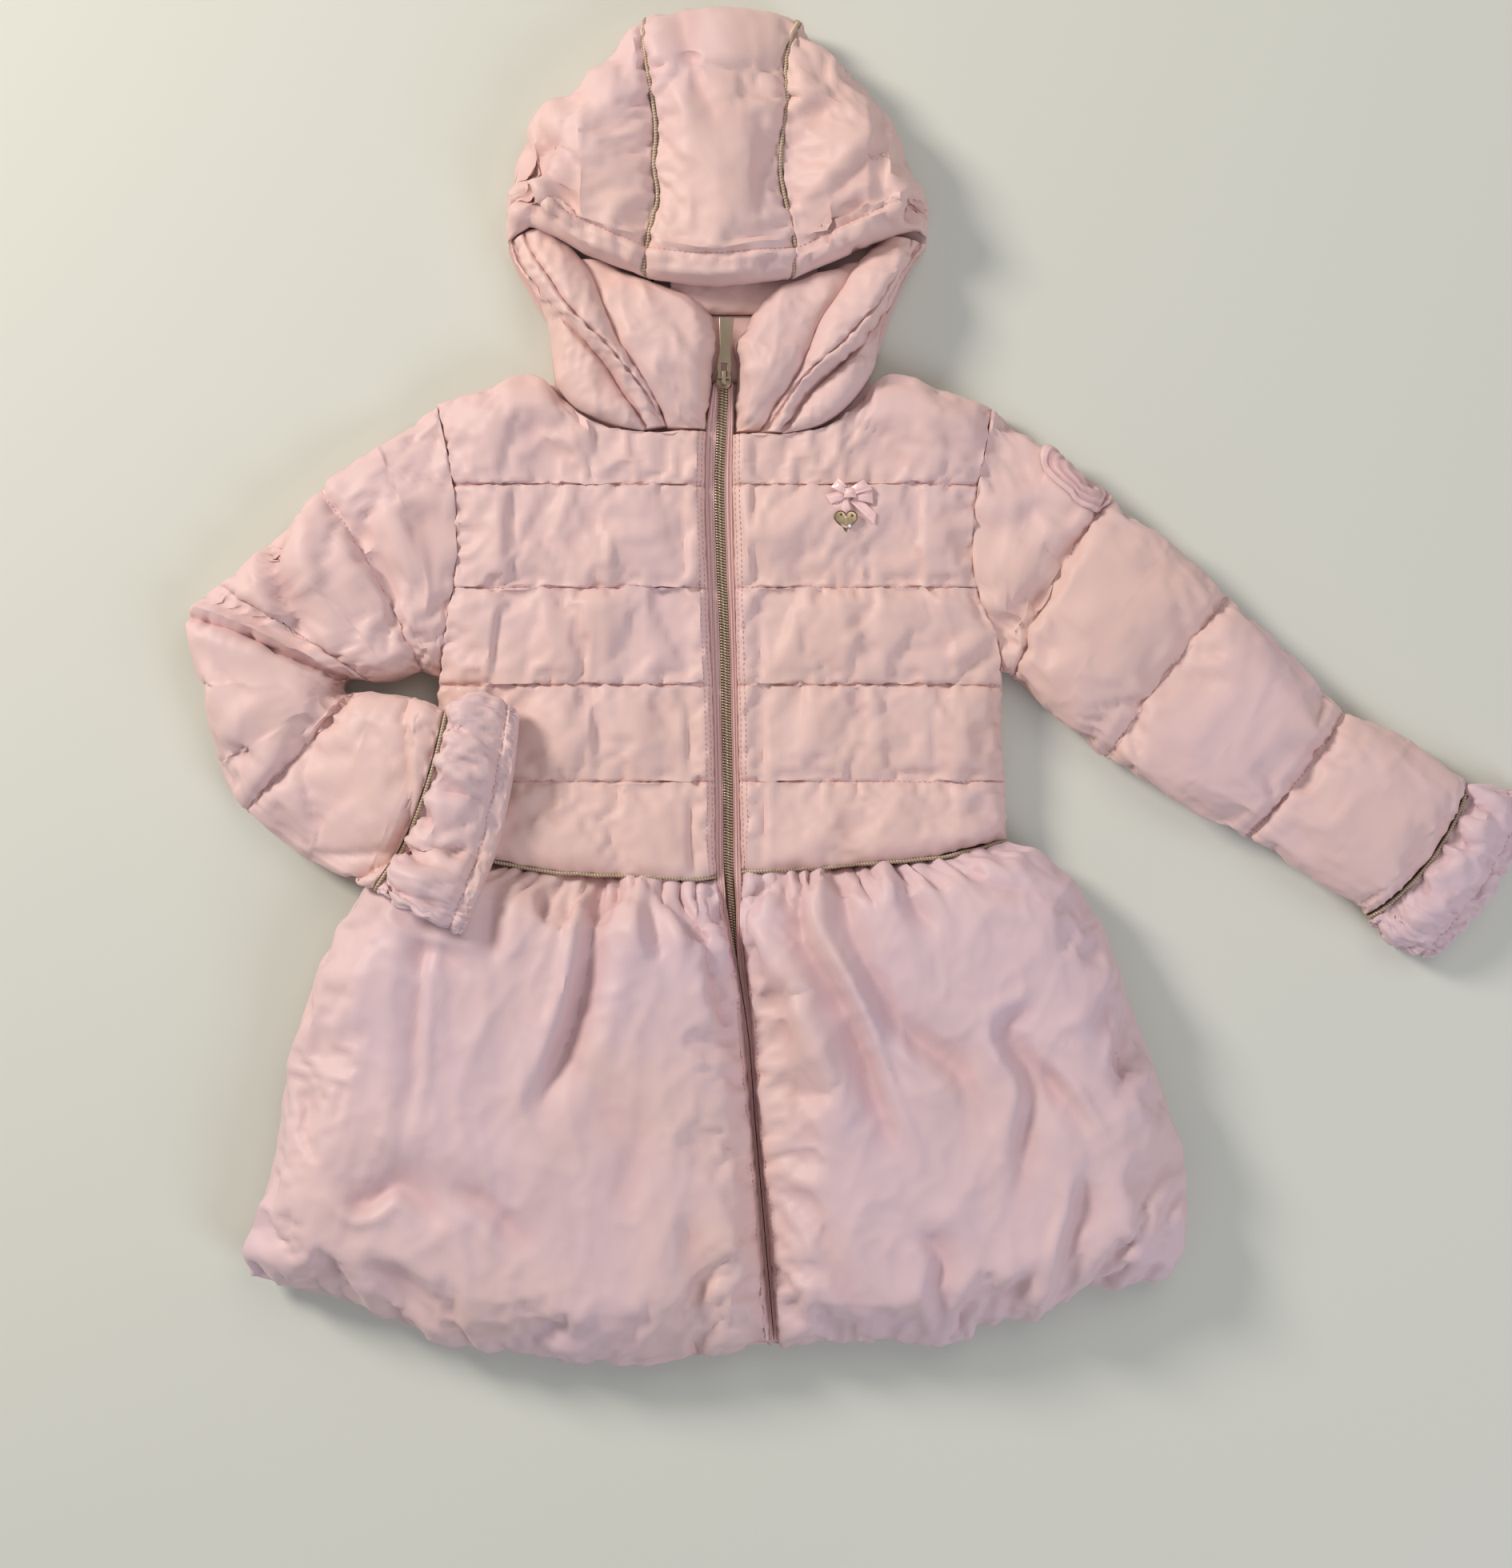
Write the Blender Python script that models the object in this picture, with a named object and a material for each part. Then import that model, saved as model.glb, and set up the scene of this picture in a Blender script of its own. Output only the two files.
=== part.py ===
"""Child's padded coat with a hood and a gathered bubble skirt, laid flat on its back.

Tables and sizes are in millimetres, in the cutter's frame: x runs from the foot of the bodice zip towards
the wearer's left, y from the waist seam towards the hood, and z up from the surface that the coat lies on.
Left and right are the wearer's. MIDDLE moves that frame so that the origin is under the middle of the coat.
"""

import math
from typing import NamedTuple

import bpy
import numpy as np

MM = 0.001
MIDDLE = (78.3, 109.7)  # the middle of the coat's outline in plan
SEAM_GAP = 0.3  # between pieces that are sewn together
PIPED_GAP = 1.4  # from the middle of a piped seam to the cloth on each side
BODICE_PARTING = 12.0  # where the fronts of the bodice lie on its back
SKIRT_PARTING = 16.0  # the same in the skirt
EDGE_WALL = 3.0  # thickness of a padded panel at its outer seam
BODICE_TOP = 30.0
SKIRT_TOP = 48.0
PIPING_RADIUS = 1.1
COIL_WIDTH = 5.8
COIL_HEIGHT = 2.0
TAPE_Z = 19.5
TAPE_THICKNESS = 1.0


class Spot(NamedTuple):
    """A point of an outline in plan."""

    x: float
    y: float


class Section(NamedTuple):
    """A cross-section of a sleeve or cuff: its two edges in plan, its height between them, and how far a
    quilting line or crease pinches it."""

    low_x: float
    low_y: float
    top_x: float
    top_y: float
    height: float
    pinch: float = 0


class Cheek(NamedTuple):
    """A cross-section of the hood's turned-up side: its outer and face edges, and the height of each."""

    outer_x: float
    outer_y: float
    face_x: float
    face_y: float
    outer_z: float
    face_z: float


class CollarRow(NamedTuple):
    """A row of a collar front: where it is, its zip edge, its height, and how far it goes past the line of
    the hood's face edge."""

    y: float
    zip_x: float
    height: float
    past: float


class Rib(NamedTuple):
    """A slice of the hood at one x: its crown, its face edge, where the under layer ends, and its height."""

    x: float
    crown: float
    brim: float
    low: float
    height: float


class Fold(NamedTuple):
    """A long trough in the skirt: its two ends in plan, its depth and its half width."""

    x0: float
    y0: float
    x1: float
    y1: float
    depth: float
    width: float


class Finish(NamedTuple):
    """A material: its colour, roughness and metallic value."""

    name: str
    colour: tuple
    roughness: float
    metallic: float


SHELL = Finish("pink_shell", (0.72, 0.50, 0.48), 0.55, 0.0)
SKIRT_SHELL = Finish("skirt_shell", (0.71, 0.50, 0.51), 0.55, 0.0)
TAPE = Finish("zip_tape", (0.66, 0.43, 0.43), 0.8, 0.0)
BRASS = Finish("antique_brass", (0.30, 0.24, 0.17), 0.35, 1.0)
CHARM = Finish("pale_gold", (0.80, 0.66, 0.48), 0.3, 1.0)
CORD = Finish("gold_piping", (0.42, 0.34, 0.20), 0.45, 0.7)
SATIN = Finish("satin_ribbon", (0.86, 0.55, 0.55), 0.35, 0.0)
RUBBER = Finish("badge_rubber", (0.62, 0.38, 0.39), 0.5, 0.0)

QUILT_LINES = (222.0, 163.0, 107.0, 52.0)

FRONT_EDGE_RIGHT = (
    Spot(-7, 283),
    Spot(-12, 253),
    Spot(-13, 225),
    Spot(-12, 179),
    Spot(-10, 133),
    Spot(-8, 87),
    Spot(-7, 41),
    Spot(-6, -2),
    Spot(-1, -28),
    Spot(4, -51),
    Spot(10, -97),
    Spot(14, -143),
    Spot(18, -189),
    Spot(22, -235),
    Spot(25, -271),
)
FRONT_EDGE_LEFT = (
    Spot(4, 283),
    Spot(4, 253),
    Spot(4, 225),
    Spot(5, 179),
    Spot(6, 133),
    Spot(7, 87),
    Spot(8, 41),
    Spot(9, -1),
    Spot(9, -28),
    Spot(11, -51),
    Spot(16, -97),
    Spot(19, -143),
    Spot(23, -189),
    Spot(27, -235),
    Spot(30, -271),
)
ZIP_LINE = (
    Spot(-2, 271),
    Spot(-4, 225),
    Spot(-3, 179),
    Spot(-1, 133),
    Spot(0, 87),
    Spot(1, 41),
    Spot(1.5, 0),
    Spot(5, -41),
    Spot(13, -97),
    Spot(16.5, -143),
    Spot(20.5, -189),
    Spot(24.5, -235),
    Spot(27.5, -270),
)
SIDE_RIGHT = (
    Spot(-167, 269),
    Spot(-163, 253),
    Spot(-158, 230),
    Spot(-155, 202),
    Spot(-155, 179),
    Spot(-159, 152),
    Spot(-162, 133),
    Spot(-165, 112),
    Spot(-166, 87),
    Spot(-165, 51),
    Spot(-162, 13),
)
SIDE_LEFT = (
    Spot(153, 267),
    Spot(149, 244),
    Spot(144, 221),
    Spot(142, 198),
    Spot(142, 175),
    Spot(146, 156),
    Spot(153, 138),
    Spot(158, 116),
    Spot(158, 87),
    Spot(160, 51),
    Spot(161, 18),
)
NECK_RIGHT = (
    Spot(-12, 253),
    Spot(-54, 253),
    Spot(-80, 260),
    Spot(-96, 274),
    Spot(-102, 281),
    Spot(-142, 277),
    Spot(-167, 269),
)
NECK_LEFT = (
    Spot(4, 251),
    Spot(42, 252),
    Spot(65, 259),
    Spot(79, 272),
    Spot(86, 281),
    Spot(125, 277),
    Spot(153, 267),
)
NECK_BACK = (
    Spot(-167, 269),
    Spot(-142, 277),
    Spot(-100, 281),
    Spot(-60, 279),
    Spot(-8, 277),
    Spot(45, 279),
    Spot(84, 281),
    Spot(125, 277),
    Spot(153, 267),
)
WAIST = (
    Spot(-162, 13),
    Spot(-132, 6),
    Spot(-96, 0),
    Spot(-50, -2),
    Spot(-7, -3),
    Spot(9, 0),
    Spot(42, 2),
    Spot(79, 5),
    Spot(116, 8),
    Spot(139, 12),
    Spot(161, 18),
)
SKIRT_SIDE_RIGHT = (
    Spot(-162, 13),
    Spot(-188, 2),
    Spot(-206, -10),
    Spot(-222, -35),
    Spot(-236, -64),
    Spot(-250, -110),
    Spot(-259, -166),
    Spot(-270, -202),
    Spot(-276, -218),
    Spot(-273, -230),
)
SKIRT_SIDE_LEFT = (
    Spot(161, 18),
    Spot(176, 10),
    Spot(194, -5),
    Spot(213, -32),
    Spot(226, -64),
    Spot(235, -87),
    Spot(249, -124),
    Spot(259, -166),
    Spot(262, -198),
    Spot(261, -216),
    Spot(255, -230),
)
HEM_RIGHT = (
    Spot(25, -271),
    Spot(-4, -273),
    Spot(-27, -277),
    Spot(-50, -279),
    Spot(-96, -277),
    Spot(-130, -272),
    Spot(-160, -268),
    Spot(-197, -252),
    Spot(-220, -244),
    Spot(-247, -237),
    Spot(-273, -230),
)
HEM_LEFT = (
    Spot(30, -271),
    Spot(47, -268),
    Spot(79, -268),
    Spot(134, -265),
    Spot(150, -257),
    Spot(176, -253),
    Spot(194, -243),
    Spot(217, -235),
    Spot(245, -234),
    Spot(255, -230),
)

FOLDS_RIGHT = (
    Fold(-72, -6, -84, -75, 9, 9),
    Fold(-84, -75, -122, -157, 9, 12),
    Fold(-53, -12, -37, -60, 5, 6),
    Fold(-25, -16, 3, -100, 5, 7),
    Fold(-169, -59, -181, -172, 6, 9),
    Fold(-204, -182, -150, -202, 6, 13),
    Fold(-85, -213, -82, -262, 5, 10),
)
FOLDS_LEFT = (
    Fold(43, -17, 50, -60, 8, 8),
    Fold(50, -60, 94, -160, 8, 11),
    Fold(94, -160, 118, -218, 6, 11),
    Fold(69, -11, 92, -66, 8, 8),
    Fold(92, -66, 145, -135, 7, 12),
    Fold(145, -135, 150, -172, 5, 11),
    Fold(176, -147, 198, -190, 7, 9),
    Fold(198, -190, 188, -244, 8, 9),
    Fold(152, -88, 208, -165, 5, 10),
)

SLEEVE_LEFT = (
    Section(159.0, 116, 154.0, 267, 23),
    Section(162, 115, 189, 240, 32),
    Section(166, 113, 220, 216, 34, 6),
    Section(190, 91, 256, 188, 35),
    Section(219, 67, 289, 159, 34, 6),
    Section(259, 42, 325, 126, 34),
    Section(300, 20, 356, 93, 33, 6),
    Section(336, -2, 392, 76, 33),
    Section(364, -18, 420, 56, 31),
    Section(369.7, -24.2, 425.7, 51.3, 24),
)
SLEEVE_RIGHT = (
    Section(-166, 112, -168, 269, 23),
    Section(-170, 114, -202, 245, 33),
    Section(-176, 116, -235, 221, 34, 6),
    Section(-190, 112, -266, 191, 34),
    Section(-206, 110, -292, 165, 32, 4),
    Section(-219, 109, -311, 148, 30, 13),
    Section(-222, 106, -305, 108, 34),
    Section(-221, 104, -293, 62, 35),
    Section(-214, 103, -276, 36, 35, 5),
    Section(-197, 101, -242, 9, 34),
    Section(-172, 97, -208, -5, 31),
    Section(-160, 92, -199, -8, 24),
)
CUFF_LEFT = (
    Section(372.1, -26.8, 428.1, 49.2, 22),
    Section(376, -35, 434, 51, 29),
    Section(389, -45, 452, 48, 27),
    Section(401, -48, 461, 44, 20),
    Section(409, -49, 468, 39, 17),
)
CUFF_RIGHT = (
    Section(-157, 92.5, -196, -8.8, 22),
    Section(-151, 98, -190, -15, 28),
    Section(-137, 101, -172, -24, 27),
    Section(-124, 96, -155, -31, 20),
    Section(-118, 90, -148, -33, 17),
)
SKIRT_WAVES = 11
SKIRT_BACK_WAVES = 14
CUFF_WAVES = 16
CUFF_WAVE_DEPTH = 2.4
SLEEVE_BULGE_LEFT = 7.0  # how far the cuff seam bows towards the hand
SLEEVE_BULGE_RIGHT = 6.0

HOOD = (
    Rib(-126, 389, 364, 358, 20),
    Rib(-121, 411, 368, 346, 30),
    Rib(-112, 428, 372, 331, 38),
    Rib(-103, 440, 368, 316, 42),
    Rib(-98, 444, 366, 283, 43),
    Rib(-82, 456, 356, 281, 45),
    Rib(-64, 474, 349, 280, 44),
    Rib(-46, 490, 343, 279.5, 40),
    Rib(-40, 492, 341, 279, 42),
    Rib(-22, 499, 338, 278, 46),
    Rib(-4, 497, 337, 278, 47),
    Rib(16, 494, 339, 278.5, 46),
    Rib(32, 491, 341, 279, 42),
    Rib(38, 489, 342, 279.5, 40),
    Rib(58, 474, 350, 280, 44),
    Rib(79, 453, 359, 281, 45),
    Rib(88, 442, 363, 300, 43),
    Rib(95, 433, 366, 322, 42),
    Rib(104, 416, 369, 344, 38),
    Rib(111, 398, 370, 357, 30),
    Rib(115.5, 384, 367, 362, 20),
)
HOOD_SEAMS = (-43.0, 35.0)
HOOD_WALL = 12.0
HOOD_HOLLOW = 9.0  # height of the open space under the hood's face edge
BRIM_BAND = 14.0
CHEEK_FLOOR = 12.6

CHEEK_RIGHT = (
    Cheek(-124, 357, -117, 360, 16, 24),
    Cheek(-119, 343, -109, 346, 16, 34),
    Cheek(-109, 326, -97, 329, 16, 40),
    Cheek(-102.5, 308, -84, 311, 16, 43),
    Cheek(-100, 292, -71, 294, 17, 43),
    Cheek(-96.5, 277.6, -60, 280.5, 24, 41),
    Cheek(-82, 263, -48, 266.5, 27, 37),
    Cheek(-57, 255, -39, 258, 27, 32),
    Cheek(-41, 253.6, -33, 254.5, 26, 28),
)
CHEEK_LEFT = (
    Cheek(113, 356, 107, 359, 16, 24),
    Cheek(107, 347, 98, 349, 16, 34),
    Cheek(98, 327, 87, 329, 16, 40),
    Cheek(91, 308, 75, 311, 16, 43),
    Cheek(86, 290, 61, 292, 17, 43),
    Cheek(80, 275, 49, 279.5, 24, 41),
    Cheek(67, 262.2, 36, 265.5, 27, 37),
    Cheek(43, 254, 27, 257, 27, 32),
    Cheek(27, 252.6, 20, 253.5, 26, 28),
)
COLLAR_RIGHT = (
    CollarRow(254.6, -12, 27, 0),
    CollarRow(264, -11.5, 34, 0),
    CollarRow(280, -8, 39, 0),
    CollarRow(294, -7, 40, 0),
    CollarRow(311, -8.5, 37, 0),
    CollarRow(326, -18, 30, 0),
    CollarRow(336, -31, 25, 0),
    CollarRow(343, -52, 20, 6),
)
COLLAR_LEFT = (
    CollarRow(253.2, 4.7, 27, 0),
    CollarRow(264, 5, 34, 0),
    CollarRow(279, 5.2, 39, 0),
    CollarRow(292, 5.5, 40, 0),
    CollarRow(311, 8, 37, 0),
    CollarRow(326, 18, 30, 0),
    CollarRow(336, 32, 25, 0),
    CollarRow(343, 54, 20, 6),
)
BACK_COLLAR_Y = (282.5, 321)
BACK_COLLAR_X = (-50, 42)
SLIDER = Spot(-1.4, 283.0)
SLIDER_BASE = 22.0
HINGE_Z = 28.0
TAB_LEAN = math.radians(2.7)  # the tab leans towards the wearer's left
TAB_LENGTH = 34.5
BOW = Spot(70.4, 216.7)
RIBBON_WIDTH = 5.4
HEART = Spot(68.2, 200.4)
HEART_WIDTH = 13.2
BADGE_RADIUS = 15.5
BADGE_PLACE = (2.6, 6.9)  # place along the sleeve's rings and around them


def clear_scene():
    """Removes every object, so that the script can be run again in an open file."""
    for thing in list(bpy.data.objects):
        bpy.data.objects.remove(thing)


def material(finish):
    """The Blender material for a finish, made once."""
    made = bpy.data.materials.get(finish.name)
    if made is None:
        made = bpy.data.materials.new(finish.name)
        made.use_nodes = True
        shader = made.node_tree.nodes["Principled BSDF"]
        shader.inputs["Base Color"].default_value = (*finish.colour, 1.0)
        shader.inputs["Roughness"].default_value = finish.roughness
        shader.inputs["Metallic"].default_value = finish.metallic
    return made


def placed(points):
    """Points of the cutter's frame in metres, about the middle of the coat."""
    shift = np.array([MIDDLE[0], MIDDLE[1], 0.0])
    return (np.asarray(points, float) - shift) * MM


def add_mesh(name, points, faces, finish):
    """One object from points of the cutter's frame, with its faces turned outward."""
    places = placed(points)
    volume = sum(
        np.dot(places[f[0]], np.cross(places[f[i]], places[f[i + 1]]))
        for f in faces
        for i in range(1, len(f) - 1)
    )
    if volume < 0:
        faces = [tuple(reversed(f)) for f in faces]
    mesh = bpy.data.meshes.new(name)
    mesh.from_pydata([tuple(p) for p in places], [], faces)
    mesh.shade_smooth()
    mesh.set_sharp_from_angle(angle=math.radians(50))
    mesh.materials.append(material(finish))
    thing = bpy.data.objects.new(name, mesh)
    bpy.context.scene.collection.objects.link(thing)
    return thing


def wall(name, outer, inner, finish, around=False):
    """A closed wall between an outer and an inner grid of points. around joins the last column to the first."""
    rows, columns = outer.shape[:2]
    count = rows * columns
    spans = columns if around else columns - 1

    def at(layer, i, j):
        return layer * count + i * columns + j % columns

    faces = []
    for i in range(rows - 1):
        for j in range(spans):
            faces.append((at(0, i, j), at(0, i, j + 1), at(0, i + 1, j + 1), at(0, i + 1, j)))
            faces.append((at(1, i, j), at(1, i + 1, j), at(1, i + 1, j + 1), at(1, i, j + 1)))
    for j in range(spans):
        faces.append((at(0, 0, j), at(1, 0, j), at(1, 0, j + 1), at(0, 0, j + 1)))
        last = rows - 1
        faces.append((at(0, last, j), at(0, last, j + 1), at(1, last, j + 1), at(1, last, j)))
    if not around:
        for i in range(rows - 1):
            faces.append((at(0, i, 0), at(0, i + 1, 0), at(1, i + 1, 0), at(1, i, 0)))
            last = columns - 1
            faces.append((at(0, i, last), at(1, i, last), at(1, i + 1, last), at(0, i + 1, last)))
    points = np.concatenate([outer.reshape(-1, 3), inner.reshape(-1, 3)])
    return add_mesh(name, points, faces, finish)


def cord(name, points, radius, finish, closed=False):
    """A sewn-on cord along a line of points."""
    curve = bpy.data.curves.new(name, "CURVE")
    curve.dimensions = "3D"
    curve.bevel_depth = radius * MM
    curve.bevel_resolution = 1
    curve.use_fill_caps = True
    spline = curve.splines.new("POLY")
    spline.points.add(len(points) - 1)
    for point, place in zip(spline.points, placed(points)):
        point.co = (*place, 1.0)
    spline.use_cyclic_u = closed
    curve.materials.append(material(finish))
    thing = bpy.data.objects.new(name, curve)
    bpy.context.scene.collection.objects.link(thing)
    return thing


def smooth(keys, values, at):
    """Values at `at` on a smooth curve through the values at rising keys."""
    keys, values, at = np.asarray(keys, float), np.asarray(values, float), np.asarray(at, float)
    slopes = np.gradient(values, keys, axis=0)
    index = np.clip(np.searchsorted(keys, at, side="right") - 1, 0, len(keys) - 2)
    step = keys[index + 1] - keys[index]
    share = np.clip((at - keys[index]) / step, 0, 1)
    if values.ndim > 1:
        step, share = step[..., None], share[..., None]
    square, cube = share**2, share**3
    return (
        (2 * cube - 3 * square + 1) * values[index]
        + (cube - 2 * square + share) * step * slopes[index]
        + (3 * square - 2 * cube) * values[index + 1]
        + (cube - square) * step * slopes[index + 1]
    )


def along(spots, shares):
    """Points at shares of the length of a smooth line through the spots."""
    spots = np.asarray(spots, float)
    lengths = np.r_[0, np.cumsum(np.linalg.norm(np.diff(spots, axis=0), axis=1))]
    return smooth(lengths / lengths[-1], spots, shares)


def x_at(spots, y):
    """The x of a line that runs down the coat, at a given y."""
    spots = np.asarray(spots, float)
    spots = spots[np.argsort(spots[:, 1])]
    return smooth(spots[:, 1], spots[:, 0], np.clip(y, spots[0, 1], spots[-1, 1]))


def y_at(spots, x):
    """The y of a line that runs across the coat, at a given x."""
    spots = np.asarray(spots, float)
    spots = spots[np.argsort(spots[:, 0])]
    return smooth(spots[:, 0], spots[:, 1], np.clip(x, spots[0, 0], spots[-1, 0]))


def rise(distance, radius):
    """0 at an edge and 1 from the radius inward, rounded like a quarter of a circle."""
    share = np.clip(distance / radius, 0, 1)
    return np.sqrt(np.clip(1 - (1 - share) ** 2, 0, 1))


def stuffed(low, high, edges):
    """The height of a padded surface between low and high. Each edge has a distance, a radius, and the share
    of the rise that is kept at the edge itself."""
    share = 1.0
    for distance, radius, kept in edges:
        share = share * (kept + (1 - kept) * rise(distance, radius))
    return low + (high - low) * share


def coons(near, far, start, end, down, across):
    """The plan points inside four border lines, at the shares down and across. near and far run down."""
    down, across = np.asarray(down)[:, None, None], np.asarray(across)[None, :, None]
    corners = (
        (1 - across) * (1 - down) * start[0]
        + across * (1 - down) * start[-1]
        + (1 - across) * down * end[0]
        + across * down * end[-1]
    )
    sides = (1 - across) * near[:, None] + across * far[:, None]
    return sides + (1 - down) * start[None] + down * end[None] - corners


def with_height(plan, z):
    """Plan points and heights as points in space."""
    return np.concatenate([plan, np.broadcast_to(z, plan.shape[:2])[..., None]], axis=-1)


def bodice_rows(top_edge, near_edge, far_edge, across, steps, hem_gap):
    """The plan points of a bodice panel. Its rows follow the quilting lines, with steps of each channel
    between them, and across has the shares of the width from the near edge to the far one."""
    levels = [lambda x: y_at(top_edge, x)]
    levels += [lambda x, line=line: np.full_like(x, line) for line in QUILT_LINES]
    levels += [lambda x: y_at(WAIST, x) + hem_gap]
    rows = [(k, step) for k in range(len(levels) - 1) for step in steps] + [(len(levels) - 2, 1.0)]
    plan = []
    for k, step in rows:
        near_y = far_y = 200.0
        for _ in range(4):
            near_x, far_x = x_at(near_edge, near_y), x_at(far_edge, far_y)
            near_y, far_y = (
                (1 - step) * levels[k](np.array([x]))[0] + step * levels[k + 1](np.array([x]))[0]
                for x in (near_x, far_x)
            )
        x = near_x + (far_x - near_x) * np.asarray(across)
        plan.append(np.stack([x, (1 - step) * levels[k](x) + step * levels[k + 1](x)], axis=-1))
    return np.array(plan)


def quilting(y, kept, radius):
    """The edges that quilting lines make in a padded surface."""
    return [(np.abs(y - line), radius, kept) for line in QUILT_LINES]


def bodice_height(x, y, side_edge, front_edge, top_edge):
    """Height of a bodice front's outer face."""
    to_side = np.abs(x_at(side_edge, y) - x)
    to_zip = np.abs(x - x_at(front_edge, y))
    to_top = y_at(top_edge, x) - y
    to_waist = y - y_at(WAIST, x)
    at_armhole = 0.45 * np.clip((y - 95) / 40, 0, 1) * np.clip((262 - y) / 30, 0, 1)
    at_top = 0.75 * np.clip((88 - np.abs(x + 8)) / 16, 0, 1)
    edges = [(to_side, 30, at_armhole), (to_zip, 9, 0.6), (to_top, 26, at_top), (to_waist, 14, 0.3)]
    return stuffed(BODICE_PARTING + EDGE_WALL, BODICE_TOP, edges + quilting(y, 0.72, 13))


def bodice_front(name, top_edge, front_edge, side_edge):
    """One front of the bodice, quilted across, from the zip to the armhole and side seam."""
    across = (0, 0.04, 0.12, 0.25, 0.37, 0.47, 0.57, 0.72, 0.86, 0.94, 1)
    plan = bodice_rows(top_edge, front_edge, side_edge, across, (0, 0.1, 0.35, 0.65, 0.9), PIPED_GAP)
    height = bodice_height(plan[..., 0], plan[..., 1], side_edge, front_edge, top_edge)
    outer = with_height(plan, height)
    wall(name, outer, with_height(plan, BODICE_PARTING + SEAM_GAP / 2), SHELL)
    return outer


def bodice_back():
    """The back of the bodice, which lies on the surface, with its quilting lines as grooves underneath."""
    across = (0, 0.03, 0.08, 0.16, 0.27, 0.38, 0.5, 0.62, 0.73, 0.84, 0.92, 0.97, 1)
    plan = bodice_rows(NECK_BACK, SIDE_RIGHT, SIDE_LEFT, across, (0, 0.08, 0.5, 0.92), PIPED_GAP)
    x, y = plan[..., 0], plan[..., 1]
    to_side = np.minimum(x - x_at(SIDE_RIGHT, y), x_at(SIDE_LEFT, y) - x)
    to_top = y_at(NECK_BACK, x) - y
    to_waist = y - y_at(WAIST, x)
    edges = [(to_side, 16, 0), (to_top, 12, 0.1), (to_waist, 6, 0.6)]
    lift = BODICE_PARTING - EDGE_WALL - SEAM_GAP
    under = lift - stuffed(0, lift, edges + quilting(y, 0.75, 4))
    top = with_height(plan, BODICE_PARTING - SEAM_GAP / 2)
    wall("bodice_back", with_height(plan, under), top, SHELL)


def trough(x, y, folds):
    """How far the long folds press a surface down."""
    drop = np.zeros_like(x)
    for fold in folds:
        start = np.array([fold.x0, fold.y0])
        line = np.array([fold.x1, fold.y1]) - start
        share = ((x - start[0]) * line[0] + (y - start[1]) * line[1]) / (line @ line)
        held = np.clip(share, 0, 1)
        away = np.hypot(x - start[0] - held * line[0], y - start[1] - held * line[1])
        drop = np.maximum(drop, fold.depth * np.exp(-((away / fold.width) ** 2)))
    return drop


def gathers(share, down, waves, depth):
    """Gathering at the waist seam: uneven waves that die out down the skirt."""
    turns = waves * share + 0.35 * np.sin(5.1 * share * math.pi) + 0.2 * np.sin(11.3 * share * math.pi)
    build = np.clip(down / 0.05, 0.25, 1)
    fade = np.exp(-np.clip(down - 0.05, 0, 1) / 0.17)
    return depth * build * fade * np.cos(2 * math.pi * turns)


def skirt_plan(near_line, far_line, hem, down, across):
    """The plan points of a skirt panel, from the waist seam to the hem."""
    top_x = near_line[0].x + (far_line[0].x - near_line[0].x) * across
    start = np.stack([top_x, y_at(WAIST, top_x) - PIPED_GAP], axis=-1)
    near = along([Spot(*start[0])] + list(near_line[1:]), down)
    far = along([Spot(*start[-1])] + list(far_line[1:]), down)
    end = along(hem, across)
    end[0], end[-1] = near[-1], far[-1]
    return coons(near, far, start, end, down, across)


def spans(plan):
    """The width of each row of plan points, and the length of each column."""
    width = np.linalg.norm(plan[:, -1] - plan[:, 0], axis=1)[:, None]
    length = np.linalg.norm(np.diff(plan, axis=0), axis=2).sum(axis=0)[None]
    return width, length


def skirt_front(name, front_edge, side, hem, folds):
    """One front of the skirt, gathered into the waist seam and turned under at the hem."""
    down = np.array([0, 0.025, 0.06, 0.12, 0.2, 0.31, 0.45, 0.6, 0.76, 0.88, 0.95, 0.985, 1])
    across = np.linspace(0, 1, 4 * SKIRT_WAVES + 1)
    plan = skirt_plan([spot for spot in front_edge if spot.y < 2], side, hem, down, across)
    width, length = spans(plan)
    share, fall = across[None], down[:, None]
    edges = [
        ((1 - share) * width, 42, 0),
        (share * width, 24, 0.3),
        (fall * length, 62, 0.08),
        ((1 - fall) * length, 40, 0),
    ]
    low = SKIRT_PARTING + EDGE_WALL
    height = stuffed(low, SKIRT_TOP, edges)
    height -= (height - low) / (SKIRT_TOP - low) * trough(plan[..., 0], plan[..., 1], folds)
    height += gathers(share, fall, SKIRT_WAVES, 2.6) * (1 - share**8)
    outer = with_height(plan, np.maximum(height, SKIRT_PARTING + EDGE_WALL * 0.8))
    wall(name, outer, with_height(plan, SKIRT_PARTING + SEAM_GAP / 2), SKIRT_SHELL)
    return outer


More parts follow.
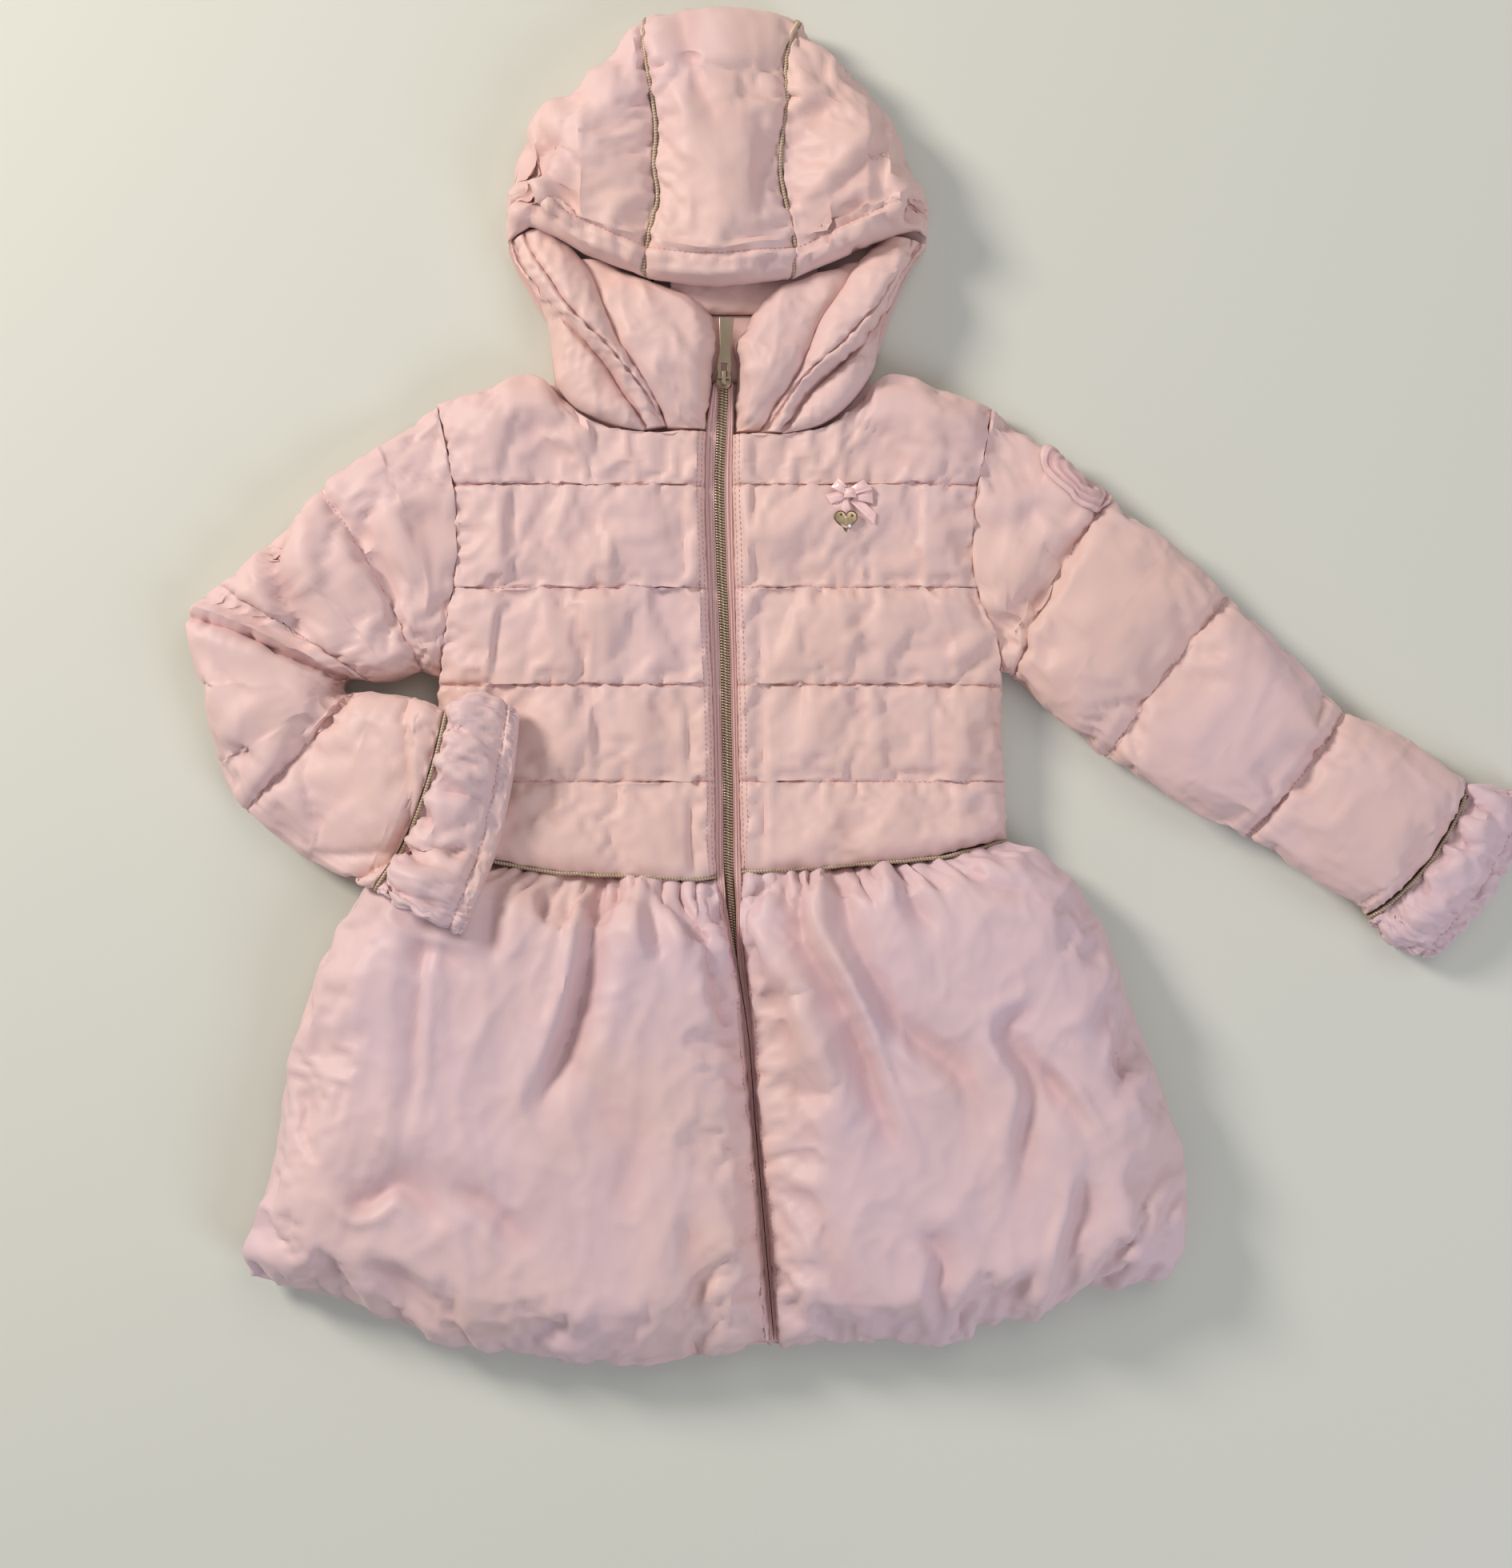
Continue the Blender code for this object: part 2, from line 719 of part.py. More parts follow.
def skirt_back():
    """The back of the skirt, flat where it rests, with its gathers showing below the waist seam."""
    across = np.linspace(0, 1, 3 * SKIRT_BACK_WAVES + 1)
    down = np.array([0, 0.03, 0.08, 0.18, 0.4, 0.65, 0.85, 0.94, 0.985, 1])
    hem = list(reversed(HEM_RIGHT)) + list(HEM_LEFT)
    plan = skirt_plan(SKIRT_SIDE_RIGHT, SKIRT_SIDE_LEFT, hem, down, across)
    width, length = spans(plan)
    share, fall = across[None], down[:, None]
    edges = [
        (np.minimum(share, 1 - share) * width, 20, 0),
        (fall * length, 10, 0.72),
        ((1 - fall) * length, 20, 0),
    ]
    lift = SKIRT_PARTING - EDGE_WALL - SEAM_GAP
    waves = 1.1 * np.exp(-fall / 0.12) * (1 + np.cos(2 * math.pi * SKIRT_BACK_WAVES * share))
    under = np.minimum(lift - stuffed(0, lift, edges) + waves, lift)
    wall("skirt_back", with_height(plan, under), with_height(plan, SKIRT_PARTING - SEAM_GAP / 2), SKIRT_SHELL)


def flat_tube(plan, height, floor, edge_wall, count):
    """The outer and inner rings of a tube that lies flat. plan(shares) gives the points across each station,
    height is each station's, and floor(points) is the height of what it lies on."""
    turn = 2 * math.pi * np.arange(count) / count
    bulge = np.abs(np.sin(turn))[None]
    over = (np.sin(turn) >= -1e-9)[None]
    side = -np.cos(turn)
    shares = (np.sign(side) * np.abs(side) ** 0.72 + 1) / 2
    outer_plan = plan(shares)
    width = np.linalg.norm(outer_plan[:, count // 2] - outer_plan[:, 0], axis=1)[:, None]
    middle = 11.0 * np.minimum(1, height / 24)
    top = middle + (height - middle) * bulge**0.75
    bottom = middle - middle * np.minimum(1, 1.15 * bulge**0.5)
    outer = with_height(outer_plan, floor(outer_plan) + np.where(over, top, bottom))
    inset = 1 - 2 * edge_wall / width
    inner_plan = np.stack([plan(0.5 + (shares - 0.5) * row)[i] for i, row in enumerate(inset[:, 0])])
    slit = 1.2 * bulge**0.75 * np.where(over, 1, -1)
    inner = with_height(inner_plan, floor(inner_plan) + middle + slit)
    return outer, inner


def bow_out(low, top, depth):
    """A curve that bows sideways by depth between a low and a top point."""
    line = np.asarray(top, float) - np.asarray(low, float)
    side = np.array([-line[1], line[0]]) / np.linalg.norm(line)

    def curve(shares):
        return side * (4 * depth * shares * (1 - shares))[:, None]

    return curve


def armhole_curve(side_edge, low, top):
    """How far the armhole seam runs from the straight line between its ends."""
    outward = math.copysign(2 * SEAM_GAP, low[0])

    def curve(shares):
        y = low[1] + (top[1] - low[1]) * shares
        straight = np.asarray(low) + (np.asarray(top) - np.asarray(low)) * shares[:, None]
        return np.stack([x_at(side_edge, y) + outward, y], axis=-1) - straight

    return curve


def ease(share):
    """0 to 1, level at both ends."""
    share = np.clip(share, 0, 1)
    return share * share * (3 - 2 * share)


def body_under(points):
    """The height of the right side of the coat, and a ramp up to it, under the folded forearm and cuff."""
    x, y = points[..., 0], points[..., 1]
    waist = y_at(WAIST, x)
    side = np.where(y > 13, x_at(SIDE_RIGHT, y), x_at(SKIRT_SIDE_RIGHT, y))
    inside = x - side + 15
    edge = BODICE_PARTING + EDGE_WALL + 2
    bodice = edge + (BODICE_TOP - edge + 0.8) * rise(inside, 44)
    skirt = edge + (SKIRT_TOP - edge + 4) * rise(inside, 60) * rise(waist + 10 - y, 76)
    return np.where(inside > 0, np.maximum(bodice, skirt), edge * ease(1 + inside / 60))


def bare_surface(points):
    """The height of the bare surface."""
    return np.zeros(points.shape[:-1])


def stations_of(sections):
    """Places along a tube: each section, closer ones beside each pinched section, and midpoints elsewhere."""
    places = [0, 0.3]
    for k, section in enumerate(sections[:-1]):
        if k and section.pinch:
            places += [k - 0.16, k, k + 0.16]
        elif k:
            places += [k]
    return np.array(places + [len(sections) - 1.35, len(sections) - 1])


def pinches(sections, stations):
    """How far the pinched sections draw the tube in at each station."""
    drawn = np.zeros(len(stations))
    for k, section in enumerate(sections):
        drawn += section.pinch * np.exp(-(((stations - k) / 0.13) ** 2))
    return drawn


def sleeve(name, sections, side_edge, bulge, around, lifted_from=None):
    """A sleeve that lies flat, from its armhole to the cuff seam. From lifted_from on it lies on the body."""
    stations = stations_of(sections)
    table = smooth(np.arange(len(sections)), np.array(sections, float), stations)
    low, top = table[:, 0:2], table[:, 2:4]
    height = (table[:, 4] - pinches(sections, stations))[:, None]
    start, end = armhole_curve(side_edge, low[0], top[0]), bow_out(low[-1], top[-1], bulge)
    down = (stations / stations[-1])[:, None, None]

    def plan(shares):
        straight = low[:, None] + (top - low)[:, None] * shares[None, :, None]
        return straight + (1 - down) ** 3 * start(shares)[None] + down**3 * end(shares)[None]

    def floor(points):
        if lifted_from is None:
            return bare_surface(points)
        return body_under(points) * ease(stations - lifted_from)[:, None]

    outer, inner = flat_tube(plan, height, floor, 6.0, around)
    wall(name, outer, inner, SHELL, around=True)
    return outer


def cuff(name, sections, bulge, floor):
    """A gathered cuff: a puffed tube drawn in by elastic before its frilled end."""
    stations = np.array([0, 0.4, 1, 2, 3, 3.4, 4])
    table = smooth(np.arange(len(sections)), np.array(sections, float), stations)
    low, top, height = table[:, 0:2], table[:, 2:4], table[:, 4:5]
    end = bow_out(low[0], top[0], bulge)

    def plan(shares):
        return low[:, None] + (top - low)[:, None] * shares[None, :, None] + end(shares)[None]

    outer, inner = flat_tube(plan, height, floor, 4.0, 3 * CUFF_WAVES)
    swell = np.array([0.3, 0.8, 1, 0.8, 0.4, 0.8, 1])[:, None]
    wave = CUFF_WAVE_DEPTH * swell * np.cos(2 * math.pi / 3 * np.arange(3 * CUFF_WAVES))[None]
    outer[..., 2] += np.where(outer[..., 2] > inner[..., 2], wave, 0)
    wall(name, outer, inner, SHELL, around=True)
    return outer


def hood_section(rib, hollow, seam):
    """The outer and inner line of one slice of the hood, from its face edge over the crown to the nape."""
    crown, brim, low = rib.crown, rib.brim, rib.low
    span = crown - brim
    band = min(BRIM_BAND, 0.4 * span)
    shares = np.array([0, band * 0.5 / span, band / span, 0.3, 0.5, 0.7, 0.86, 0.96])
    shares = np.maximum.accumulate(shares + np.arange(8) * 0.004)
    level = stuffed(14, rib.height - 5 * seam, [((1 - shares) * span, 46, 0), (shares * span, 16, 0.72)])
    level[2] -= 1.5
    dip = 1.6 * seam
    outer = [(brim + s * span, z) for s, z in zip(shares, level)]
    outer += [(crown, 13), (crown - 4, 4), (crown - 12, dip)]
    outer += [(y, dip) for y in np.linspace(crown - 12, low, 6)[1:-1]] + [(low, 1.6)]
    depth = min(HOOD_WALL, 0.32 * (crown - low))
    roof = HOOD_WALL + 0.3 + (0.5 + (HOOD_HOLLOW - 0.5) * hollow) * np.clip((1 - shares) * 1.6, 0, 1)
    inner = [(brim + s * (span - depth), z) for s, z in zip(shares, np.minimum(roof, level - 4))]
    inner += [(crown - depth - k * 0.4, HOOD_WALL - 0.1 * k) for k in range(3)]
    inner += [(y, HOOD_WALL - 0.3) for y in np.linspace(crown - depth - 0.8, low, 6)[1:]]
    return np.array(outer), np.array(inner)


def hood_piece(name, low_x, high_x, count):
    """One panel of the hood, cut from its slices between two seams."""
    table = np.array(HOOD, float)
    outer, inner = [], []
    for x in np.linspace(low_x, high_x, count):
        rib = Rib(x, *(np.interp(x, table[:, 0], table[:, k]) for k in range(1, 5)))
        if NECK_BACK[2].x < x < NECK_BACK[6].x:
            rib = rib._replace(low=y_at(NECK_BACK, x) + 2 * SEAM_GAP)
        hollow = float(rise(min(x - table[0, 0], table[-1, 0] - x), 60))
        away = min(abs(x - seam) - PIPED_GAP for seam in HOOD_SEAMS)
        out_line, in_line = hood_section(rib, hollow, max(0, 1 - away / 6))
        outer.append(np.column_stack([np.full(len(out_line), x), out_line]))
        inner.append(np.column_stack([np.full(len(in_line), x), in_line]))
    outer = np.array(outer)
    wall(name, outer, np.array(inner), SHELL)
    return outer


def rows_between(table):
    """The rows of a table and one between each two, on a smooth curve."""
    return smooth(np.arange(len(table)), np.array(table, float), np.linspace(0, len(table) - 1, 2 * len(table) - 1))


def cheek(name, rows):
    """The side of the hood's face edge that is turned up over the collar, a thick roll along its edge."""
    shares = np.array([0, 0.15, 0.45, 0.7, 0.85, 0.95, 1.0])
    swell = np.array([0, 0.35, 0.75, 1.0, 0.98, 0.8, 0.45])
    outer = []
    for row in rows_between(rows):
        edge = Cheek(*row)
        x = edge.outer_x + (edge.face_x - edge.outer_x) * shares
        y = edge.outer_y + (edge.face_y - edge.outer_y) * shares
        outer.append(np.column_stack([x, y, edge.outer_z + (edge.face_z - edge.outer_z) * swell]))
    outer = np.array(outer)
    wall(name, outer, with_height(outer[..., :2], CHEEK_FLOOR), SHELL)


def collar_front(name, rows, cheek_rows):
    """One end of the padded stand collar, inside the hood beside the zip."""
    side = math.copysign(1, cheek_rows[0].face_x)
    face = [Spot(row.face_x - side * 1.2, row.face_y) for row in cheek_rows]
    shares = np.array([0, 0.03, 0.1, 0.25, 0.5, 0.75, 0.92, 1.0])
    outer, inner = [], []
    for row in rows_between(rows):
        edge = CollarRow(*row)
        face_x = x_at(face, edge.y) - side * edge.past
        x = edge.zip_x + (face_x - edge.zip_x) * shares
        width = abs(face_x - edge.zip_x)
        z = stuffed(17.5, edge.height, [(shares * width, 14, 0.1), ((1 - shares) * width, 20, 0.5)])
        under = CHEEK_FLOOR + 3.4 * np.clip((edge.y - 276) / 4, 0, 1)
        outer.append(np.column_stack([x, np.full(8, edge.y), z]))
        inner.append(np.column_stack([x, np.full(8, edge.y), np.full(8, under)]))
    wall(name, np.array(outer), np.array(inner), SHELL)


def collar_back():
    """The back of the stand collar, lying on the inside of the hood."""
    plan = np.stack(np.meshgrid(np.linspace(*BACK_COLLAR_X, 7), np.linspace(*BACK_COLLAR_Y, 4)), axis=-1)
    wall("collar_back", with_height(plan, 15.4), with_height(plan, HOOD_WALL + 0.1), SHELL)


ZIP_STATIONS = np.array(
    [281, 268, 253, 225, 179, 133, 87, 41, 4, -8, -18, -41, -60, -97, -143, -189, -235, -269]
)


def zip_side(front_edge, direction):
    """The inner edge of a front, the zip's centre line, and how far the tape folds over it below the waist."""
    edge = x_at(front_edge, ZIP_STATIONS) - direction * 2 * SEAM_GAP
    return edge, x_at(ZIP_LINE, ZIP_STATIONS), np.clip((-ZIP_STATIONS - 18) / 32, 0, 1)


def zip_tape(name, front_edge, direction):
    """One side of the zip's tape, from a front's edge to the coil. Below the waist it folds over the coil."""
    edge, centre, folded = zip_side(front_edge, direction)
    inside = centre + direction * (COIL_WIDTH / 2 + SEAM_GAP) * (1 - folded) + direction * 0.4 * folded
    level = TAPE_Z + np.clip((4 - ZIP_STATIONS) / 12, 0, 1) * (COIL_HEIGHT + 1.0)
    lines = (inside, (inside + edge) / 2, edge)
    plan = np.stack([np.stack([x, ZIP_STATIONS], -1) for x in lines], axis=1)
    heights = np.repeat(level[:, None], 3, axis=1)
    wall(name, with_height(plan, heights + TAPE_THICKNESS), with_height(plan, heights), TAPE)


def zip_coil(name, front_edge, direction):
    """One half of the zip's closed coil, covered by the tape below the waist."""
    edge, centre, folded = zip_side(front_edge, direction)
    reach = np.minimum(COIL_WIDTH / 2, np.abs(edge - centre) - 2 * SEAM_GAP)
    lines = (centre + direction * SEAM_GAP / 2, centre + direction * reach)
    plan = np.stack([np.stack([x, ZIP_STATIONS], -1) for x in lines], axis=1)
    low = np.repeat((TAPE_Z - folded * 0.6)[:, None], 2, axis=1)
    wall(name, with_height(plan, low + COIL_HEIGHT), with_height(plan, low), BRASS)


def lean(points):
    """Points measured from the slider's middle, turned by the tab's lean and moved to their place."""
    points = np.asarray(points, float)
    cosine, sine = math.cos(TAB_LEAN), math.sin(TAB_LEAN)
    x = SLIDER.x + points[:, 0] * cosine + points[:, 1] * sine
    y = SLIDER.y - points[:, 0] * sine + points[:, 1] * cosine
    return np.column_stack([x, y, points[:, 2]])


def prism(outline, low, high):
    """Points and faces of a plate with a given outline between two heights."""
    count = len(outline)
    points = [(x, y, low) for x, y in outline] + [(x, y, high) for x, y in outline]
    faces = [tuple(reversed(range(count))), tuple(range(count, 2 * count))]
    for i in range(count):
        j = (i + 1) % count
        faces.append((i, j, count + j, count + i))
    return points, faces


def mirrored(half):
    """A closed outline from its right half, listed from the bottom to the top."""
    return half + [(-x, y) for x, y in reversed(half)]


def slider():
    """The zip's slider: a wedge body with an arched bridge that holds the tab's bar."""
    body = mirrored([(2.6, -5.8), (4.5, -3.4), (4.6, 0.6), (3.8, 4.0), (2.2, 4.7)])
    points, faces = prism(body, SLIDER_BASE, HINGE_Z - 1.4)
    body_part = add_mesh("slider", lean(points), faces, BRASS)
    profile = [(-4.6, 0), (-4.6, 3.4), (-3.2, 4.8), (3.2, 4.8), (4.4, 3.4), (4.4, 0)]
    profile += [(3.0, 0), (2.8, 3.3), (-3.0, 3.3), (-3.1, 0)]
    base, count = HINGE_Z - 1.9, 10
    points = [(x, y, base + z) for x in (-1.1, 1.1) for y, z in profile]
    faces = [tuple(range(count)), tuple(count + i for i in reversed(range(count)))]
    for i in range(count):
        j = (i + 1) % count
        faces.append((j, i, count + i, count + j))
    bridge = add_mesh("slider_bridge", lean(points), faces, BRASS)
    bridge.hide_render = True
    bridge.display_type = "WIRE"
    joined = body_part.modifiers.new("bridge", "BOOLEAN")
    joined.operation = "UNION"
    joined.object = bridge


def pull_tab():
    """The long pull tab, waisted, with a slot that the slider's bridge passes through."""
    outline = mirrored([(3.4, -0.75), (3.7, 8.0), (3.2, 15.0), (3.4, 22.0), (4.3, TAB_LENGTH - 1), (3.9, TAB_LENGTH)])
    slot = [(1.65, 0.75), (1.65, 8.6), (-1.65, 8.6), (-1.65, 0.75)]
    rim, total = len(outline), len(outline) + 4
    points = [(x, y, HINGE_Z + z) for z in (-0.75, 0.75) for x, y in outline + slot]
    plate = [
        (0, 1, rim + 1, rim),
        (1, 2, 9, 10, rim + 2, rim + 1),
        (10, 11, rim + 3, rim + 2),
        (11, 0, rim, rim + 3),
        (2, 3, 4, 5, 6, 7, 8, 9),
    ]
    faces = [tuple(reversed(face)) for face in plate]
    faces += [tuple(total + i for i in face) for face in plate]
    faces += [(i, (i + 1) % rim, total + (i + 1) % rim, total + i) for i in range(rim)]
    for i in range(4):
        j = (i + 1) % 4
        faces.append((rim + j, rim + i, total + rim + i, total + rim + j))
    add_mesh("pull_tab", lean(points), faces, BRASS)


def ribbon_strip(name, line, width, lift):
    """A flat length of ribbon along a line in plan, arched over the cloth."""
    line = np.asarray(line, float)
    steps = np.gradient(line, axis=0)
    side = np.stack([-steps[:, 1], steps[:, 0]], -1) / np.linalg.norm(steps, axis=1)[:, None]
    plan = np.stack([line - side * width / 2, line, line + side * width / 2], axis=1)
    z = np.repeat(np.asarray(lift, float)[:, None], 3, axis=1)
    wall(name, with_height(plan, z + 0.7), with_height(plan, z), SATIN)


def bow():
    """A small satin bow: two pairs of loops about a knot, and three tails."""
    ground = BODICE_TOP + SEAM_GAP
    x, y = BOW
    lower = [(x - 11.5, y - 3.5), (x - 6, y - 1.2), (x, y - 1.0), (x + 6, y - 1.8), (x + 12, y - 3)]
    upper = [(x - 9, y + 6), (x - 5, y + 2.6), (x, y + 0.4), (x + 5.5, y + 1.8), (x + 11, y + 5)]
    ribbon_strip("bow_loops_lower", lower, RIBBON_WIDTH, [ground + k for k in (1.6, 1.2, 1.1, 1.2, 1.6)])
    ribbon_strip("bow_loops_upper", upper, RIBBON_WIDTH, [ground + k for k in (3.0, 2.5, 2.2, 2.5, 3.0)])
    tails = {
        "bow_tail_right": [(x - 8.5, y - 7.6), (x - 12, y - 9), (x - 15.5, y - 12.5)],
        "bow_tail_middle": [(x - 5, y - 4), (x - 3.2, y - 7.5), (x - 0.6, y - 11.6)],
        "bow_tail_left": [(x + 3.2, y - 5.5), (x + 8, y - 9.5), (x + 14, y - 14.5)],
    }
    for name, line in tails.items():
        ribbon_strip(name, line, RIBBON_WIDTH * 0.9, [ground] * 3)


def heart_charm():
    """A bare heart-shaped metal plate that hangs from the bow."""
    turns = np.linspace(0, 2 * math.pi, 24, endpoint=False)
    across = 16 * np.sin(turns) ** 3
    up = 13 * np.cos(turns) - 5 * np.cos(2 * turns) - 2 * np.cos(3 * turns) - np.cos(4 * turns)
    size = HEART_WIDTH / 32
    outline = [(HEART.x + size * a, HEART.y + size * (b + 2.5)) for a, b in zip(across, up)]
    low = BODICE_TOP + SEAM_GAP + 0.9
    points, faces = prism(outline, low, low + 1.2)
    add_mesh("heart_charm", points, faces, CHARM)


def on_tube(grid, middle, offset):
    """The point on a tube's grid at an offset along and round it, in mm, from the middle, a row and a turn."""
    centres = grid.mean(axis=1)
    row = np.interp(
        np.interp(middle[0], range(len(grid)), path_lengths(centres)) + offset[0],
        path_lengths(centres),
        range(len(grid)),
    )
    ring = grid[int(row)] * (1 - row % 1) + grid[int(row) + 1] * (row % 1)
    ring = np.concatenate([ring, ring[:1]])
    round_it = path_lengths(ring)
    place = np.interp(middle[1], range(len(ring)), round_it) + offset[1]
    return np.array([np.interp(place, round_it, ring[:, k]) for k in range(3)])


def path_lengths(points):
    """The distance along a line of points to each of them."""
    return np.r_[0, np.cumsum(np.linalg.norm(np.diff(points, axis=0), axis=1))]


def badge(grid):
    """A round moulded badge on the sleeve's upper edge, made from the sleeve's points moved out."""
    turns = np.linspace(0, 2 * math.pi, 24, endpoint=False)
    outer, inner = [], []
    for share, height in ((0.06, 2.8), (0.4, 2.8), (0.72, 2.3), (0.86, 2.9), (1.0, 2.0)):
        for turn in turns:
            a, b = BADGE_RADIUS * share * math.cos(turn), BADGE_RADIUS * share * math.sin(turn)
            place = on_tube(grid, BADGE_PLACE, (a, b))
            ahead = on_tube(grid, BADGE_PLACE, (a + 1, b)) - on_tube(grid, BADGE_PLACE, (a - 1, b))
            beside = on_tube(grid, BADGE_PLACE, (a, b + 3)) - on_tube(grid, BADGE_PLACE, (a, b - 3))
            out = np.cross(ahead, beside)
            out /= np.linalg.norm(out)
            outer.append(place + height * out)
            inner.append(place + 1.0 * out)
    rings = (5, len(turns), 3)
    plate("sleeve_badge", np.reshape(outer, rings), np.reshape(inner, rings), RUBBER)


def plate(name, outer, inner, finish):
    """A closed round plate from rings of outer and inner points, with the smallest rings capped."""
    rings, around = outer.shape[:2]
    points = np.concatenate([outer.reshape(-1, 3), inner.reshape(-1, 3)])
    count = rings * around

    def at(layer, i, j):
        return layer * count + i * around + j % around

    faces = [tuple(at(0, 0, j) for j in range(around)), tuple(at(1, 0, j) for j in reversed(range(around)))]
    for i in range(rings - 1):
        for j in range(around):
            faces.append((at(0, i, j), at(0, i + 1, j), at(0, i + 1, j + 1), at(0, i, j + 1)))
            faces.append((at(1, i, j), at(1, i, j + 1), at(1, i + 1, j + 1), at(1, i + 1, j)))
    for j in range(around):
        last = rings - 1
        faces.append((at(0, last, j), at(1, last, j), at(1, last, j + 1), at(0, last, j + 1)))
    return add_mesh(name, points, faces, finish)


def hood_piping(name, seam, near_piece, far_piece):
    """The piping in a seam of the hood, from its face edge over the crown and back underneath to the nape."""
    line = (near_piece + far_piece) / 2
    line[:, 0] = seam
    line[:9, 2] += 0.4
    line[8, 1] += 0.4
    line[9:, 2] = np.maximum(line[9:, 2], PIPING_RADIUS + SEAM_GAP)
    cord(name, line[:-1], PIPING_RADIUS, CORD)


def waist_piping(name, bodice_edge):
    """The piping along one front's waist seam."""
    x = np.linspace(bodice_edge[0, 0], bodice_edge[-1, 0], 14)
    order = np.argsort(bodice_edge[:, 0])
    z = np.interp(x, bodice_edge[order, 0], bodice_edge[order, 2])
    cord(name, np.column_stack([x, y_at(WAIST, x), z + 0.4]), PIPING_RADIUS, CORD)


def cuff_piping(name, sleeve_ring, cuff_ring):
    """The piping round a cuff seam, between the sleeve's last ring and the cuff's first."""
    toward = sleeve_ring.mean(axis=0) - cuff_ring.mean(axis=0)
    toward[2] = 0
    ring = cuff_ring[::2] + toward / np.linalg.norm(toward) * PIPED_GAP
    lowest = cuff_ring[:, 2].min() + PIPING_RADIUS + SEAM_GAP
    middle = len(ring) // 2
    ring[:, 2] = np.where(np.arange(len(ring)) <= middle, ring[:, 2] + 0.4, np.maximum(ring[:, 2], lowest))
    cord(name, ring, PIPING_RADIUS, CORD, closed=True)


def main():
    """Builds every piece of the coat."""
    clear_scene()
    bodice_back()
    front_right = bodice_front("bodice_front_right", NECK_RIGHT, FRONT_EDGE_RIGHT, SIDE_RIGHT)
    front_left = bodice_front("bodice_front_left", NECK_LEFT, FRONT_EDGE_LEFT, SIDE_LEFT)
    skirt_back()
    skirt_front("skirt_front_right", FRONT_EDGE_RIGHT, SKIRT_SIDE_RIGHT, HEM_RIGHT, FOLDS_RIGHT)
    skirt_front("skirt_front_left", FRONT_EDGE_LEFT, SKIRT_SIDE_LEFT, HEM_LEFT, FOLDS_LEFT)
    left = sleeve("sleeve_left", SLEEVE_LEFT, SIDE_LEFT, -SLEEVE_BULGE_LEFT, 16)
    right = sleeve("sleeve_right", SLEEVE_RIGHT, SIDE_RIGHT, SLEEVE_BULGE_RIGHT, 16, lifted_from=6.0)
    cuff_left = cuff("cuff_left", CUFF_LEFT, -SLEEVE_BULGE_LEFT, bare_surface)
    cuff_right = cuff("cuff_right", CUFF_RIGHT, SLEEVE_BULGE_RIGHT, body_under)
    right_seam, left_seam = HOOD_SEAMS
    side_right = hood_piece("hood_side_right", HOOD[0].x, right_seam - PIPED_GAP, 10)
    centre = hood_piece("hood_centre", right_seam + PIPED_GAP, left_seam - PIPED_GAP, 9)
    side_left = hood_piece("hood_side_left", left_seam + PIPED_GAP, HOOD[-1].x, 10)
    cheek("hood_cheek_right", CHEEK_RIGHT)
    cheek("hood_cheek_left", CHEEK_LEFT)
    collar_front("collar_right", COLLAR_RIGHT, CHEEK_RIGHT)
    collar_front("collar_left", COLLAR_LEFT, CHEEK_LEFT)
    collar_back()
    zip_tape("zip_tape_right", FRONT_EDGE_RIGHT, -1)
    zip_tape("zip_tape_left", FRONT_EDGE_LEFT, 1)
    zip_coil("zip_coil_right", FRONT_EDGE_RIGHT, -1)
    zip_coil("zip_coil_left", FRONT_EDGE_LEFT, 1)
    slider()
    pull_tab()
    bow()
    heart_charm()
    badge(left)
    hood_piping("piping_hood_right", right_seam, side_right[-1], centre[0])
    hood_piping("piping_hood_left", left_seam, centre[-1], side_left[0])
    waist_piping("piping_waist_right", front_right[-1])
    waist_piping("piping_waist_left", front_left[-1])
    cuff_piping("piping_cuff_right", right[-1], cuff_right[0])
    cuff_piping("piping_cuff_left", left[-1], cuff_left[0])


if __name__ == "__main__":
    main()
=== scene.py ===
"""Looks of a child's padded coat with a hood and a bubble skirt, laid flat on its back.

Tables and sizes are in millimetres in the cutter's frame: x runs from the foot of the bodice zip towards the
wearer's left, y from the waist seam towards the hood, and z up from the floor. Left and right are the wearer's.
"""

import enum
import logging
import math
from dataclasses import dataclass, field
from typing import Callable, NamedTuple, Optional, Sequence

import bpy
import numpy as np
from mathutils import Matrix, Vector


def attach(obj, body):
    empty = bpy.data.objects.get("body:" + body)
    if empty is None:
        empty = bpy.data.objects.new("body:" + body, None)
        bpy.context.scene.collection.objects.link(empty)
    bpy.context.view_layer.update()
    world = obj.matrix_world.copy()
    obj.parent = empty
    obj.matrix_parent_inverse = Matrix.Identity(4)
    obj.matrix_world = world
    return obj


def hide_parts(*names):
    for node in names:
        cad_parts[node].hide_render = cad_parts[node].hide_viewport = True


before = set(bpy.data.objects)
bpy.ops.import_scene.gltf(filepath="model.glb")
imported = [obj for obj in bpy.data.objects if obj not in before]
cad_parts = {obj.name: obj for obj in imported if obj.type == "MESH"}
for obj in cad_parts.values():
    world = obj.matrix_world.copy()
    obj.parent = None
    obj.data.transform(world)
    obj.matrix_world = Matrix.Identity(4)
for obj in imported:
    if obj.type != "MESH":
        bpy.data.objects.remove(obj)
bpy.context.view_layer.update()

LOG = logging.getLogger("coat")

MM = 0.001
MIDDLE = np.array([78.3, 109.7, 0.0])
PHOTO_SCALE = 0.46
PHOTO_ZERO = (908, 1090)
COAT_BODY = "coat"
TAB_BODY = "pull_tab"

